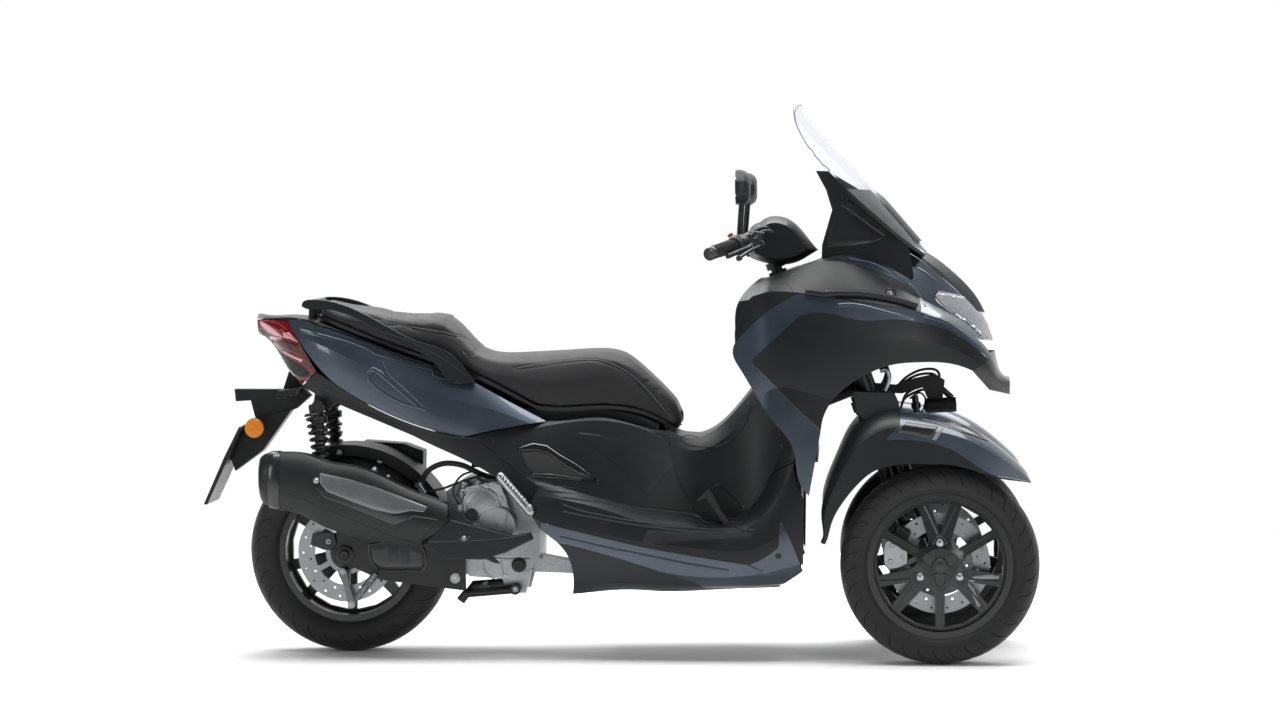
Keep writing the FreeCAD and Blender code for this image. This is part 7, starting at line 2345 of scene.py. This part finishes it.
    def build(self) -> None:
        """Builds both sides."""
        add, skin = self.bench.add, self.bench.skin
        for name, finish, *forms in self.forms:
            add(name, [patch for word in SIDES for patch in self.laid(forms, word)], finish, crease=50.0)
        for word in SIDES:
            for name, finish, *forms in self.guards:
                add(f"{name}_{word}", self.laid(forms, word), finish, f"steer_{word}")
        heads = [
            skin(*nodes.split(), side=side).screws(rows, Head.RIVET, False)
            for side in SIDES.values()
            for nodes, rows in self.screws
        ]
        add("panel_screws", sum(heads, []), Shop.STEEL)
        add("hugger_screws", skin("rear_hugger").screws(self.hugger_screws, Head.DOME, False), Shop.ZINC)
        screen = self.bench.solid("windscreen")
        add("screen_clamp", self.clamp(screen), Shop.BLACK)
        add("screen_rim", self.rim(screen), Shop.SATIN)
        self.pegs()
        LOG.info("bodywork: creases, seams, ribs, vents, decals and screws")

    def clamp(self, screen: bpy.types.Object) -> Patch:
        """Lays the black clamp over the middle of the screen's foot.

        Half width (s) = full width * (1 - (1 - s / round) squared) ** 0.5 up to s = round, then full.

        Args:
            screen: The windscreen.

        Returns:
            The clamp, closed.
        """
        tops, unders = [], []
        for share in np.linspace(0.02, 1.0, 30):
            height = self.clamp_top_mm + (self.clamp_foot_mm - self.clamp_top_mm) * share
            rounded = 1.0 - min(share, self.clamp_round) / self.clamp_round
            half = self.clamp_half_mm * math.sqrt(1.0 - rounded**2)
            spots = []
            for across in np.linspace(-1.0, 1.0, 25):
                found, spot, _, _ = screen.ray_cast(
                    place(2400.0, half * across, height), Vector((-1.0, 0.0, 0.0))
                )
                if found:
                    last = spot.x
                lift = self.clamp_lift_mm * (1.0 - across**6) * min(1.0, share * 8.0)
                spots.append((last + lift * MM, half * across * MM, height * MM))
            tops.append(spots)
            unders.append([(x - (self.clamp_lift_mm + 2.0) * MM, y, z) for x, y, z in spots])
        top, under = np.array(tops), np.array(unders)
        return grid_patch(np.concatenate([top, under[:, ::-1]], 1), closed_v=True, caps=True)

    def rim(self, screen: bpy.types.Object) -> Patch:
        """Runs a dark bead up one edge of the screen, over its top and down the other.

        Args:
            screen: The windscreen.

        Returns:
            The bead.
        """
        points = looked_up(screen.data, "co")
        sides = []
        for side in (RIGHT, LEFT):
            edge = []
            for height in np.arange(self.rim_from_mm, self.rim_to_mm, 9.0) * MM:
                band = points[abs(points[:, 2] - height) < 5.0 * MM]
                if len(band):
                    edge.append(band[np.argmax(band[:, 1] * side)])
            sides.append(edge)
        over = []
        for across in np.linspace(-0.8, 0.8, 13):
            band = points[abs(points[:, 1] - across * abs(sides[0][-1][1])) < 12.0 * MM]
            over.append(band[np.argmax(band[:, 2])])
        return hose(np.array([*sides[0], *over, *sides[1][::-1]]), 1.1 * MM, 240, 8)

    def pegs(self) -> None:
        """Lays a ribbed tread and a pivot pin on each passenger peg."""
        ribs, pins = [], []
        for side in SIDES.values():
            skin = self.bench.skin("passenger_pegs", side=side)
            for x, z in np.linspace(*self.peg_span, 9):
                ribs.append(bead(skin, [(x - 5, z - 5), (x, z), (x + 5, z + 5)], 1.5, 0.3, 8))
            pins += skin.screws(((512, 412, 7.0),), Head.SOCKET)
        self.bench.add("peg_ribs", ribs, Shop.ZINC)
        self.bench.add("peg_pins", pins, Shop.ZINC)


# Assembly


def corners() -> list[list[float]]:
    """Returns the lowest and highest corner of all that shows, as plain lists."""
    return [list(corner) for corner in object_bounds()]


def main() -> None:
    """Builds the scooter's looks around its solids."""
    logging.basicConfig(level=logging.INFO, format="%(message)s")
    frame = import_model()
    bench = Bench(frame, Shop())
    dress_solids(bench)
    dress_wheels(bench)
    for part in (Lamps, EngineDressing, SilencerDressing, FrontLinkage, Controls, Bodywork, Seat, Studio):
        part(bench).build()
    bpy.context.view_layer.update()


if __name__ == "__main__":
    main()
